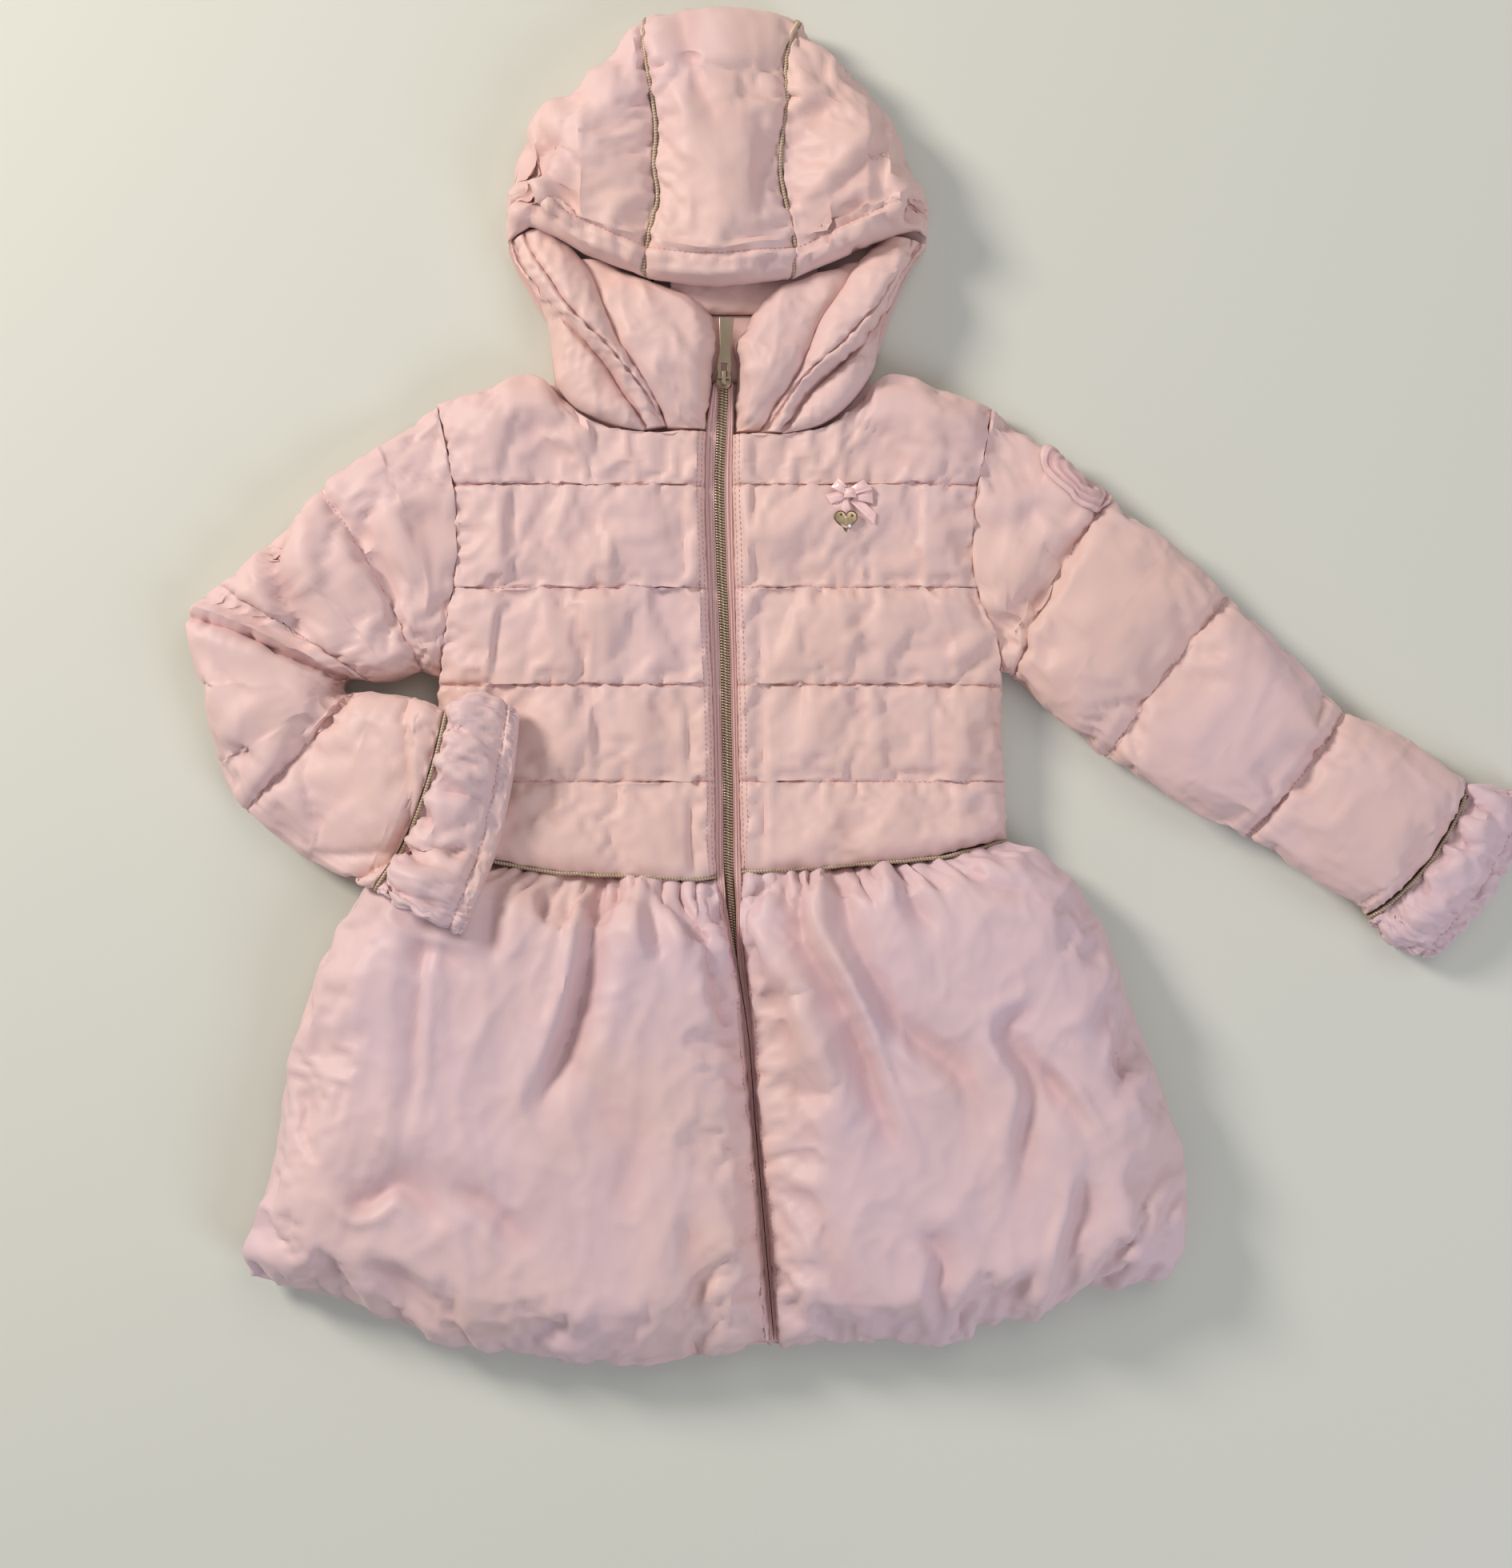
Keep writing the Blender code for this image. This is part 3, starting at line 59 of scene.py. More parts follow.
STEP = 2.2
SEAM_GAP = 0.1
PIPED_GAP = 0.9
BODICE_PARTING = 12.0
SKIRT_PARTING = 16.0
EDGE_WALL = 3.0
BODICE_TOP = 30.0
SKIRT_TOP = 48.0
PIPING_RADIUS = 1.1
COIL_WIDTH = 5.8
COIL_HEIGHT = 2.0
TAPE_Z = 19.5
TAPE_THICKNESS = 1.0

Line = Sequence[tuple[float, float]]
Array = np.ndarray


class Side(enum.Enum):
    """A side of the coat, the wearer's own."""

    RIGHT = -1
    LEFT = 1

    @property
    def word(self) -> str:
        """The side's word in the names of pieces."""
        return self.name.lower()


class Held(enum.Enum):
    """How a piece of cloth lies in the coat."""

    LAID = "laid"
    GATHERED = "gathered"
    FOLDED = "folded"
    STRETCHED = "stretched"


class Section(NamedTuple):
    """A cross-section of a sleeve or cuff: its two edges in plan, its height, and how far a seam pinches it."""

    low_x: float
    low_y: float
    top_x: float
    top_y: float
    height: float
    pinch: float = 0


class Crease(NamedTuple):
    """A long fold in the cloth: its line in the photograph's pixels, depth and half width in mm, how much of
    the depth it has at its start, and which flank is steeper."""

    line: Line
    depth: float
    width: float
    head: float = 0.0
    skew: float = 0.0


QUILT_LINES = (222.0, 163.0, 107.0, 52.0)
FRONT_EDGE = {
    Side.RIGHT: (
        (-7, 283), (-12, 253), (-13, 225), (-12, 179), (-10, 133), (-8, 87), (-7, 41), (-6, -2),
        (-1, -28), (4, -51), (10, -97), (14, -143), (18, -189), (22, -235), (25, -271),
    ),
    Side.LEFT: (
        (4, 283), (4, 253), (4, 225), (5, 179), (6, 133), (7, 87), (8, 41), (9, -1),
        (9, -28), (11, -51), (16, -97), (19, -143), (23, -189), (27, -235), (30, -271),
    ),
}
ZIP_LINE = (
    (-2, 271), (-4, 225), (-3, 179), (-1, 133), (0, 87), (1, 41), (1.5, 0), (5, -41),
    (13, -97), (16.5, -143), (20.5, -189), (24.5, -235), (27.5, -270),
)
SIDE_SEAM = {
    Side.RIGHT: (
        (-167, 269), (-163, 253), (-158, 230), (-155, 202), (-155, 179), (-159, 152),
        (-162, 133), (-165, 112), (-166, 87), (-165, 51), (-162, 13),
    ),
    Side.LEFT: (
        (153, 267), (149, 244), (144, 221), (142, 198), (142, 175), (146, 156),
        (153, 138), (158, 116), (158, 87), (160, 51), (161, 18),
    ),
}
NECK = {
    Side.RIGHT: ((-12, 253), (-54, 253), (-80, 260), (-96, 274), (-102, 281), (-142, 277), (-167, 269)),
    Side.LEFT: ((4, 251), (42, 252), (65, 259), (79, 272), (86, 281), (125, 277), (153, 267)),
}
NECK_BACK = (
    (-167, 269), (-142, 277), (-100, 281), (-60, 279), (-8, 277), (45, 279), (84, 281), (125, 277), (153, 267),
)
WAIST = (
    (-162, 13), (-132, 6), (-96, 0), (-50, -2), (-7, -3), (9, 0), (42, 2), (79, 5), (116, 8), (139, 12), (161, 18),
)
SKIRT_SIDE = {
    Side.RIGHT: (
        (-162, 13), (-188, 2), (-206, -10), (-222, -35), (-236, -64), (-250, -110),
        (-259, -166), (-270, -202), (-276, -218), (-273, -230),
    ),
    Side.LEFT: (
        (161, 18), (176, 10), (194, -5), (213, -32), (226, -64), (235, -87), (249, -124),
        (259, -166), (262, -198), (261, -216), (255, -230),
    ),
}
HEM = {
    Side.RIGHT: (
        (25, -271), (-4, -273), (-27, -277), (-50, -279), (-96, -277), (-130, -272),
        (-160, -268), (-197, -252), (-220, -244), (-247, -237), (-273, -230),
    ),
    Side.LEFT: (
        (30, -271), (47, -268), (79, -268), (134, -265), (150, -257), (176, -253),
        (194, -243), (217, -235), (245, -234), (255, -230),
    ),
}
SLEEVE = {
    Side.LEFT: (
        Section(159.0, 116, 154.0, 267, 26),
        Section(162, 115, 189, 240, 32),
        Section(166, 113, 220, 216, 34, 6),
        Section(190, 91, 256, 188, 35),
        Section(219, 67, 289, 159, 34, 6),
        Section(259, 42, 325, 126, 34),
        Section(300, 20, 356, 93, 33, 6),
        Section(336, -2, 392, 76, 33),
        Section(364, -18, 420, 56, 31),
        Section(369.7, -24.2, 425.7, 51.3, 24),
    ),
    Side.RIGHT: (
        Section(-166, 112, -168, 269, 26),
        Section(-170, 114, -202, 245, 33),
        Section(-176, 116, -235, 221, 34, 6),
        Section(-190, 112, -266, 191, 34),
        Section(-206, 110, -292, 165, 32, 4),
        Section(-219, 109, -311, 148, 30, 13),
        Section(-222, 106, -305, 108, 34),
        Section(-221, 104, -293, 62, 35),
        Section(-214, 103, -276, 36, 35, 5),
        Section(-197, 101, -242, 9, 34),
        Section(-172, 97, -208, -5, 31),
        Section(-160, 92, -199, -8, 24),
    ),
}
CUFF = {
    Side.LEFT: (
        Section(372.1, -26.8, 428.1, 49.2, 22),
        Section(376, -35, 434, 51, 29),
        Section(389, -45, 452, 48, 27),
        Section(401, -48, 461, 44, 20),
        Section(409, -49, 468, 39, 17),
    ),
    Side.RIGHT: (
        Section(-157, 92.5, -196, -8.8, 22),
        Section(-151, 98, -190, -15, 28),
        Section(-137, 101, -172, -24, 27),
        Section(-124, 96, -155, -31, 20),
        Section(-118, 90, -148, -33, 17),
    ),
}
CUFF_BULGE = {Side.LEFT: -7.0, Side.RIGHT: 6.0}
HOOD = np.array(
    [
        (-126, 389, 364, 358, 20), (-121, 411, 368, 346, 30), (-112, 428, 372, 331, 38), (-103, 440, 368, 316, 42),
        (-98, 444, 366, 283, 43), (-82, 456, 356, 281, 45), (-64, 474, 349, 280, 44), (-46, 490, 343, 279.5, 40),
        (-40, 492, 341, 279, 42), (-22, 499, 338, 278, 46), (-4, 497, 337, 278, 47), (16, 494, 339, 278.5, 46),
        (32, 491, 341, 279, 42), (38, 489, 342, 279.5, 40), (58, 474, 350, 280, 44), (79, 453, 359, 281, 45),
        (88, 442, 363, 300, 43), (95, 433, 366, 322, 42), (104, 416, 369, 344, 38), (111, 398, 370, 357, 30),
        (115.5, 384, 367, 362, 20),
    ]
)
HOOD_SEAMS = (-43.0, 35.0)
SEAM_SWAY = {
    -43.0: ((343, -4), (363, -1), (384, 4), (402, 2), (423, 3), (446, 0), (465, -3), (490, -4)),
    35.0: ((342, 3), (359, 4), (377, 0), (398, -4), (419, -3), (442, 0), (460, -1), (478, 3), (490, 8)),
}
HOOD_WALL = 12.0
HOOD_HOLLOW = 9.0
BRIM_BAND = 14.0
CHEEK_FLOOR = 12.6
CHEEK = {
    Side.RIGHT: (
        ((638, 304), (641, 301), (655, 292), (684, 284), 16, 24),
        ((641, 318), (648, 328), (668, 322), (708, 306), 16, 33),
        ((652, 340), (664, 352), (688, 352), (732, 335), 16, 39),
        ((672, 372), (684, 380), (710, 385), (750, 373), 16, 42),
        ((685, 410), (707, 405), (738, 415), (768, 415), 16, 43),
        ((691, 450), (735, 435), (762, 437), (785, 445), 17, 43),
        ((698, 484), (757, 460), (782, 462), (803, 472), 22, 41),
        ((725, 513), (777, 490), (803, 487), (819, 495), 26, 37),
        ((765, 531), (797, 518), (818, 512), (829, 515), 27, 33),
        ((802, 540), (808, 538), (828, 534), (838, 533), 26, 29),
    ),
    Side.LEFT: (
        ((1158, 304), (1150, 303), (1139, 300), (1104, 296), 16, 24),
        ((1146, 320), (1142, 325), (1136, 322), (1088, 314), 16, 33),
        ((1131, 342), (1126, 350), (1119, 351), (1068, 338), 16, 39),
        ((1118, 372), (1112, 382), (1100, 383), (1052, 366), 16, 42),
        ((1105, 397), (1097, 413), (1077, 408), (1028, 400), 16, 43),
        ((1096, 436), (1073, 441), (1048, 438), (1010, 440), 17, 43),
        ((1092, 460), (1048, 463), (1022, 459), (1000, 464), 22, 42),
        ((1072, 493), (1019, 487), (997, 483), (983, 490), 26, 39),
        ((1042, 523), (1001, 508), (978, 511), (964, 513), 27, 35),
        ((1012, 537), (990, 527), (966, 528), (953, 528), 27, 31),
        ((980, 544), (976, 542), (956, 541), (946, 541), 26, 28),
    ),
}
COLLAR = {
    Side.RIGHT: (
        (254.6, -12, 27), (262, -11.5, 33), (276, -9.5, 37), (290, -8, 40), (303, -5, 40), (309, -5.5, 38),
        (318, -9, 36), (326, -15, 34), (333, -25, 31), (338, -40, 28), (345, -58, 25), (352, -70, 22),
    ),
    Side.LEFT: (
        (253.2, 5.5, 27), (262, 6, 33), (273, 6.4, 37), (288, 7.8, 40), (298, 6.4, 40), (304, 5.6, 38),
        (313, 13, 36), (322, 17, 34), (328, 21, 32), (335, 29, 30), (341, 44, 27), (345, 58, 25), (350, 68, 22),
    ),
}
BACK_COLLAR_X = (-50, 42)
BACK_COLLAR_Y = (282.5, 321)
SLIDER = (-1.4, 283.0)
SLIDER_BASE = 22.0
HINGE_Z = 28.0
TAB_LEAN = math.radians(2.7)
TAB_LENGTH = 34.5
HEART = (68.2, 200.4)
HEART_WIDTH = 13.2
BADGE_RADIUS = 15.5
BADGE_PLACE = (2.6, 6.9)

SKIRT_CREASES = {
    Side.RIGHT: (
        Crease(((751, 1100), (740, 1187), (720, 1277), (679, 1370), (648, 1425)), 9, 7, 0.8, 0.3),
        Crease(((545, 1150), (532, 1254), (528, 1330), (516, 1419), (512, 1464)), 3.5, 5, 0.2, -0.3),
        Crease(((440, 1450), (465, 1491), (510, 1468), (550, 1504), (577, 1530)), 6, 9, 0.1, 0.5),
        Crease(((572, 1468), (612, 1491), (653, 1531), (690, 1575)), 5, 9, 0.1, 0.4),
        Crease(((845, 1105), (876, 1174), (903, 1241), (922, 1310), (930, 1360)), 5, 5, 0.9, -0.2),
        Crease(((809, 1105), (818, 1174), (830, 1235)), 4, 5, 0.9),
        Crease(((628, 1105), (621, 1169), (626, 1210), (640, 1225)), 4.5, 6, 0.7),
        Crease(((523, 1187), (560, 1190), (612, 1227)), 3, 6),
        Crease(((790, 1330), (800, 1420), (780, 1490), (800, 1560)), 2.5, 8),
        Crease(((700, 1290), (760, 1380), (790, 1470)), 3, 9),
        Crease(((370, 1330), (400, 1420), (440, 1500)), 3, 9),
        Crease(((850, 1500), (870, 1590), (860, 1660)), 3, 7),
        Crease(((640, 1590), (680, 1640), (760, 1680)), 3, 7),
        Crease(((450, 1560), (520, 1600), (600, 1650)), 2.5, 8),
        Crease(((690, 1105), (688, 1165)), 4, 4, 0.9),
        Crease(((712, 1105), (715, 1160)), 4, 4, 0.9),
        Crease(((770, 1105), (778, 1135)), 4, 4, 0.9),
        Crease(((780, 1102), (795, 1140)), 3, 4, 0.9),
    ),
    Side.LEFT: (
        Crease(((998, 1095), (1002, 1166), (1026, 1213), (1056, 1265), (1078, 1335), (1095, 1378), (1117, 1430),
                (1125, 1474), (1130, 1526)), 8, 7, 0.8, -0.3),
        Crease(((1052, 1090), (1060, 1161), (1086, 1213), (1125, 1283), (1178, 1322), (1212, 1361), (1230, 1409),
                (1234, 1461)), 6.5, 8, 0.8, 0.3),
        Crease(((1125, 1085), (1134, 1127), (1169, 1174)), 4.5, 5, 0.9),
        Crease(((1204, 1079), (1221, 1101), (1308, 1133)), 4, 6, 0.7),
        Crease(((1297, 1248), (1247, 1283), (1277, 1335), (1269, 1430), (1260, 1539)), 5.5, 8, 0.1, 0.4),
        Crease(((1277, 1318), (1316, 1361), (1364, 1448)), 5, 6, 0.2, -0.4),
        Crease(((1342, 1452), (1338, 1504), (1321, 1552), (1312, 1617)), 6, 7, 0.2, 0.4),
        Crease(((1138, 1521), (1169, 1552), (1165, 1604), (1178, 1647)), 5, 6, 0.2, 0.3),
        Crease(((1243, 1621), (1270, 1590), (1290, 1560)), 4.5, 5, 0.4),
        Crease(((1416, 1265), (1404, 1305), (1394, 1344), (1429, 1318)), 4, 6, 0.5),
        Crease(((940, 1180), (975, 1300), (1000, 1420), (1010, 1520)), 3, 9, 0.1),
        Crease(((1180, 1290), (1200, 1390), (1190, 1480)), 2.5, 9),
        Crease(((1020, 1480), (1040, 1570), (1080, 1640)), 3, 8),
        Crease(((1340, 1200), (1380, 1290), (1400, 1390)), 3, 9),
        Crease(((960, 1095), (950, 1150)), 3.5, 4, 0.9),
        Crease(((975, 1095), (985, 1140)), 3.5, 4, 0.9),
        Crease(((1012, 1092), (1018, 1130)), 3.5, 4, 0.9),
        Crease(((1078, 1088), (1092, 1140)), 3.5, 5, 0.9),
        Crease(((1155, 1082), (1170, 1120)), 3.5, 5, 0.9),
        Crease(((1232, 1065), (1262, 1100)), 3.5, 5, 0.9),
    ),
}
BODICE_CREASES = {
    Side.RIGHT: (
        Crease(((640, 520), (680, 560), (728, 600)), 2.2, 7),
        Crease(((712, 560), (722, 606)), 1.8, 5),
        Crease(((700, 690), (742, 660), (800, 630)), 1.8, 8),
        Crease(((700, 660), (730, 700), (765, 728)), 2.0, 6),
        Crease(((590, 690), (620, 720)), 1.5, 6),
        Crease(((696, 745), (712, 790), (730, 855)), 2.4, 7, 0.2, 0.3),
        Crease(((728, 780), (738, 820), (745, 850)), 1.6, 5),
        Crease(((736, 862), (745, 900), (756, 965)), 2.6, 6, 0.4, -0.3),
        Crease(((812, 870), (840, 920), (850, 935)), 1.8, 7),
        Crease(((675, 985), (705, 1040)), 2.0, 9),
        Crease(((580, 880), (620, 870), (660, 868)), 1.5, 6),
    ),
    Side.LEFT: (
        Crease(((1110, 560), (1150, 600)), 1.8, 7),
        Crease(((1170, 520), (1195, 590)), 1.8, 6),
        Crease(((985, 715), (1015, 690), (1060, 690)), 1.6, 7),
        Crease(((1060, 665), (1075, 720)), 2.0, 6),
        Crease(((1070, 765), (1082, 800), (1092, 845)), 2.4, 6, 0.3, 0.3),
        Crease(((1165, 820), (1195, 795), (1215, 780)), 2.6, 6, 0.1, 0.3),
        Crease(((1175, 845), (1200, 830), (1225, 835)), 1.8, 5),
        Crease(((1070, 862), (1078, 910), (1076, 960)), 2.4, 6, 0.4, -0.3),
        Crease(((1190, 895), (1215, 910), (1245, 925)), 1.8, 6),
        Crease(((1046, 990), (1060, 1030), (1072, 1065)), 2.0, 7, 0.3),
        Crease(((1185, 1035), (1215, 1015), (1250, 1000)), 2.2, 7),
    ),
}
HOOD_CREASES = (
    Crease(((854, 20), (868, 103), (891, 153), (918, 230)), 4.5, 9, 0.6, 0.3),
    Crease(((642, 222), (676, 214), (715, 260), (753, 291)), 4.5, 8, 0.6, 0.4),
    Crease(((660, 180), (700, 190), (750, 240), (785, 270)), 3.0, 8, 0.4, 0.3),
    Crease(((700, 120), (745, 150), (790, 210)), 2.4, 9, 0.3),
    Crease(((1006, 291), (1059, 237), (1097, 199), (1147, 191)), 4.0, 8, 0.4, -0.4),
    Crease(((1013, 306), (1078, 268), (1128, 245)), 3.6, 7, 0.4, -0.3),
    Crease(((1010, 180), (1050, 120), (1090, 90)), 2.4, 9, 0.2),
    Crease(((930, 90), (940, 170), (960, 240)), 2.4, 9, 0.2),
    Crease(((850, 200), (870, 270), (880, 320)), 2.0, 8),
    Crease(((760, 60), (790, 120)), 2.0, 8),
    Crease(((662, 250), (669, 268), (672, 290)), 5.0, 4, 1.0),
    Crease(((1142, 262), (1138, 280), (1136, 300)), 5.0, 4, 1.0),
    Crease(((655, 250), (668, 215), (700, 185), (745, 175)), 3.0, 8, 0.5),
)
CUFF_CREASES = {
    Side.RIGHT: (
        Crease(((530, 955), (560, 972), (590, 985)), 3.0, 4, 0.9),
        Crease(((520, 983), (560, 990), (596, 997), (624, 1010)), 3.2, 3.5, 0.9, 0.4),
        Crease(((512, 1004), (545, 1022), (575, 1040)), 2.6, 4, 0.9),
        Crease(((490, 1052), (529, 1063), (557, 1077), (590, 1074)), 4.2, 3.5, 0.9, -0.4),
        Crease(((482, 1094), (529, 1116), (575, 1125)), 3.0, 4, 0.9),
        Crease(((555, 898), (589, 917), (634, 934)), 2.6, 4, 0.9),
        Crease(((630, 1000), (605, 1004), (585, 1000)), 3.0, 3, 0.9),
        Crease(((600, 1052), (575, 1062), (555, 1058)), 2.8, 3.5, 0.9),
        Crease(((575, 1135), (545, 1122), (530, 1118)), 2.6, 3, 0.9),
    ),
    Side.LEFT: (
        Crease(((1772, 1041), (1795, 1065), (1812, 1088)), 3.0, 3.5, 0.9),
        Crease(((1795, 1030), (1825, 1055), (1845, 1085)), 2.8, 4, 0.9),
        Crease(((1745, 1085), (1775, 1105), (1795, 1135)), 3.2, 4, 0.9),
        Crease(((1715, 1125), (1745, 1145), (1765, 1170)), 2.6, 4, 0.9),
        Crease(((1815, 1000), (1850, 1010), (1880, 1040)), 2.8, 4, 0.9),
        Crease(((1840, 965), (1870, 985), (1888, 1000)), 2.4, 4, 0.9),
    ),
}
SLEEVE_CREASES = {
    Side.LEFT: (
        Crease(((1539, 751), (1587, 800), (1645, 868), (1680, 905)), 3.4, 8, 0.5),
        Crease(((1408, 722), (1451, 713), (1500, 740)), 2.8, 7, 0.2),
        Crease(((1260, 790), (1300, 750), (1370, 760)), 3.0, 7, 0.4),
        Crease(((1290, 820), (1340, 800), (1400, 830)), 2.6, 7, 0.3),
        Crease(((1450, 830), (1500, 860), (1520, 900)), 2.4, 7),
        Crease(((1590, 930), (1640, 940), (1670, 980)), 2.6, 7),
        Crease(((1620, 960), (1660, 1010)), 2.2, 6),
        Crease(((1700, 900), (1750, 930), (1790, 980)), 2.4, 8),
        Crease(((1270, 560), (1290, 620), (1280, 680)), 2.2, 8),
        Crease(((1320, 640), (1350, 690)), 1.8, 6),
        Crease(((1410, 900), (1450, 940)), 2.2, 6),
    ),
    Side.RIGHT: (
        Crease(((335, 670), (353, 737), (376, 792), (392, 845)), 7, 7, 0.9, 0.4),
        Crease(((262, 745), (300, 765), (350, 790), (400, 845)), 5, 7, 0.5, -0.3),
        Crease(((400, 690), (430, 760), (440, 830)), 3.4, 8, 0.2),
        Crease(((450, 640), (480, 720), (520, 780)), 2.6, 8, 0.1),
        Crease(((250, 800), (290, 850), (340, 880)), 2.6, 8, 0.3),
        Crease(((290, 960), (330, 920), (380, 900)), 3.0, 7, 0.3),
        Crease(((440, 840), (420, 880), (350, 930)), 2.6, 8, 0.1),
        Crease(((520, 600), (540, 700), (545, 800)), 2.6, 8),
        Crease(((380, 1040), (430, 1000), (480, 960)), 2.2, 9),
    ),
}


def seen(line: Line) -> Array:
    """Turns places in the photograph into millimetres in the cutter's frame."""
    spots = np.asarray(line, float)
    return np.column_stack([spots[:, 0] - PHOTO_ZERO[0], PHOTO_ZERO[1] - spots[:, 1]]) * PHOTO_SCALE


def placed(points: Array) -> Array:
    """Turns points of the cutter's frame into metres about the middle of the coat."""
    return (np.asarray(points, float) - MIDDLE) * MM


def smooth(keys: Array, values: Array, at: Array) -> Array:
    """Reads a smooth curve through values at rising keys.

    Args:
        keys: The rising keys.
        values: A value or point at each key.
        at: Where the curve is read.

    Returns:
        The values there.
    """
    keys, values, at = np.asarray(keys, float), np.asarray(values, float), np.asarray(at, float)
    slopes = np.gradient(values, keys, axis=0)
    index = np.clip(np.searchsorted(keys, at, side="right") - 1, 0, len(keys) - 2)
    step = keys[index + 1] - keys[index]
    share = np.clip((at - keys[index]) / step, 0, 1)
    if values.ndim > 1:
        step, share = step[..., None], share[..., None]
    square, cube = share**2, share**3
    return (
        (2 * cube - 3 * square + 1) * values[index]
        + (cube - 2 * square + share) * step * slopes[index]
        + (3 * square - 2 * cube) * values[index + 1]
        + (cube - square) * step * slopes[index + 1]
    )


def path_lengths(points: Array) -> Array:
    """Gives the distance along a line of points to each of them."""
    return np.r_[0, np.cumsum(np.linalg.norm(np.diff(points, axis=0), axis=1))]


def along(spots: Line, shares: Array) -> Array:
    """Gives points at shares of the length of a smooth line through the spots."""
    spots = np.asarray(spots, float)
    lengths = path_lengths(spots)
    return smooth(lengths / lengths[-1], spots, shares)


def x_at(spots: Line, y: Array) -> Array:
    """Gives the x of a line that runs down the coat, at each y."""
    spots = np.asarray(spots, float)
    spots = spots[np.argsort(spots[:, 1])]
    return smooth(spots[:, 1], spots[:, 0], np.clip(y, spots[0, 1], spots[-1, 1]))


def y_at(spots: Line, x: Array) -> Array:
    """Gives the y of a line that runs across the coat, at each x."""
    spots = np.asarray(spots, float)
    spots = spots[np.argsort(spots[:, 0])]
    return smooth(spots[:, 0], spots[:, 1], np.clip(x, spots[0, 0], spots[-1, 0]))


def rise(distance: Array, radius: float) -> Array:
    """Gives 0 at an edge and 1 from the radius inward, rounded like a quarter of a circle."""
    share = np.clip(distance / radius, 0, 1)
    return np.sqrt(np.clip(1 - (1 - share) ** 2, 0, 1))


def ease(share: Array) -> Array:
    """Gives 0 to 1, level at both ends."""
    share = np.clip(share, 0, 1)
    return share * share * (3 - 2 * share)


def stuffed(low: float, high: Array, edges: Sequence[tuple]) -> Array:
    """Gives the height of a padded surface.

    Args:
        low: Its height at a free edge.
        high: Its height away from every edge.
        edges: The distance, radius and kept share of the rise of each edge.

    Returns:
        The height everywhere.
    """
    share = 1.0
    for distance, radius, kept in edges:
        share = share * (kept + (1 - kept) * rise(distance, radius))
    return low + (high - low) * share


def with_height(plan: Array, z: Array) -> Array:
    """Joins plan points and heights into points in space."""
    return np.concatenate([plan, np.broadcast_to(z, plan.shape[:2])[..., None]], axis=-1)


def graded(length: float, step: float = STEP, marks: Sequence[float] = ()) -> Array:
    """Gives shares of a line in even steps, closer at its ends.

    Args:
        length: The line's length in mm.
        step: The even step.
        marks: Distances from the start that get a share of their own.

    Returns:
        The rising shares from 0 to 1.
    """
    shares = list(np.linspace(0, 1, max(4, round(length / step)) + 1))
    close = [0.25 * step / length, 0.6 * step / length]
    wanted = close + [1 - share for share in close] + [mark / length for mark in marks]
    shares = [share for share in shares if share in (0.0, 1.0) or min(abs(share - w) for w in wanted) > 0.2 * step / length]
    return np.array(sorted(shares + wanted))


class Noise:
    """Smooth seeded noise over the plane."""

    CELLS = 128

    def __init__(self, seed: int) -> None:
        """Draws the noise's directions from a seed."""
        angles = np.random.default_rng(seed).uniform(0, 2 * math.pi, (self.CELLS, self.CELLS))
        self.across, self.up = np.cos(angles), np.sin(angles)

    def at(self, x: Array, y: Array, size: float) -> Array:
        """Gives the noise at points in the plane.

        Args:
            x: The points' x in mm.
            y: Their y in mm.
            size: The width of one cell in mm.

        Returns:
            Values between about -1 and 1.
        """
        x, y = np.broadcast_arrays(np.asarray(x, float) / size, np.asarray(y, float) / size)
        i, j = np.floor(x).astype(int), np.floor(y).astype(int)
        u, v = x - i, y - j

        def corner(a: int, b: int) -> Array:
            """Gives one corner's part."""
            place = ((i + a) % self.CELLS, (j + b) % self.CELLS)
            return self.across[place] * (u - a) + self.up[place] * (v - b)

        s, t = u**3 * (u * (u * 6 - 15) + 10), v**3 * (v * (v * 6 - 15) + 10)
        low = corner(0, 0) * (1 - s) + corner(1, 0) * s
        high = corner(0, 1) * (1 - s) + corner(1, 1) * s
        return 1.5 * (low * (1 - t) + high * t)

    def crumple(self, x: Array, y: Array, size: float, octaves: int = 3) -> Array:
        """Gives crumpled cloth with sharp bends.

        Args:
            x: The points' x in mm.
            y: Their y in mm.
            size: The size of the largest crumples in mm.
            octaves: How many finer sets are added.

        Returns:
            Values between about -1 and 1.
        """
        total, weight = np.zeros(np.shape(x)), 1.0
        for octave in range(octaves):
            bent_x = x + 0.5 * size * self.at(x + 37 * octave, y, 1.4 * size)
            bent_y = y + 0.5 * size * self.at(x, y + 53 * octave, 1.4 * size)
            ridge = 1 - np.abs(self.at(bent_x + 91 * octave, bent_y, size)) * 1.5
            total = total + weight * (np.clip(ridge, -0.2, 1) ** 2 - 0.42)
            size, weight = size * 0.52, weight * 0.5
        return total


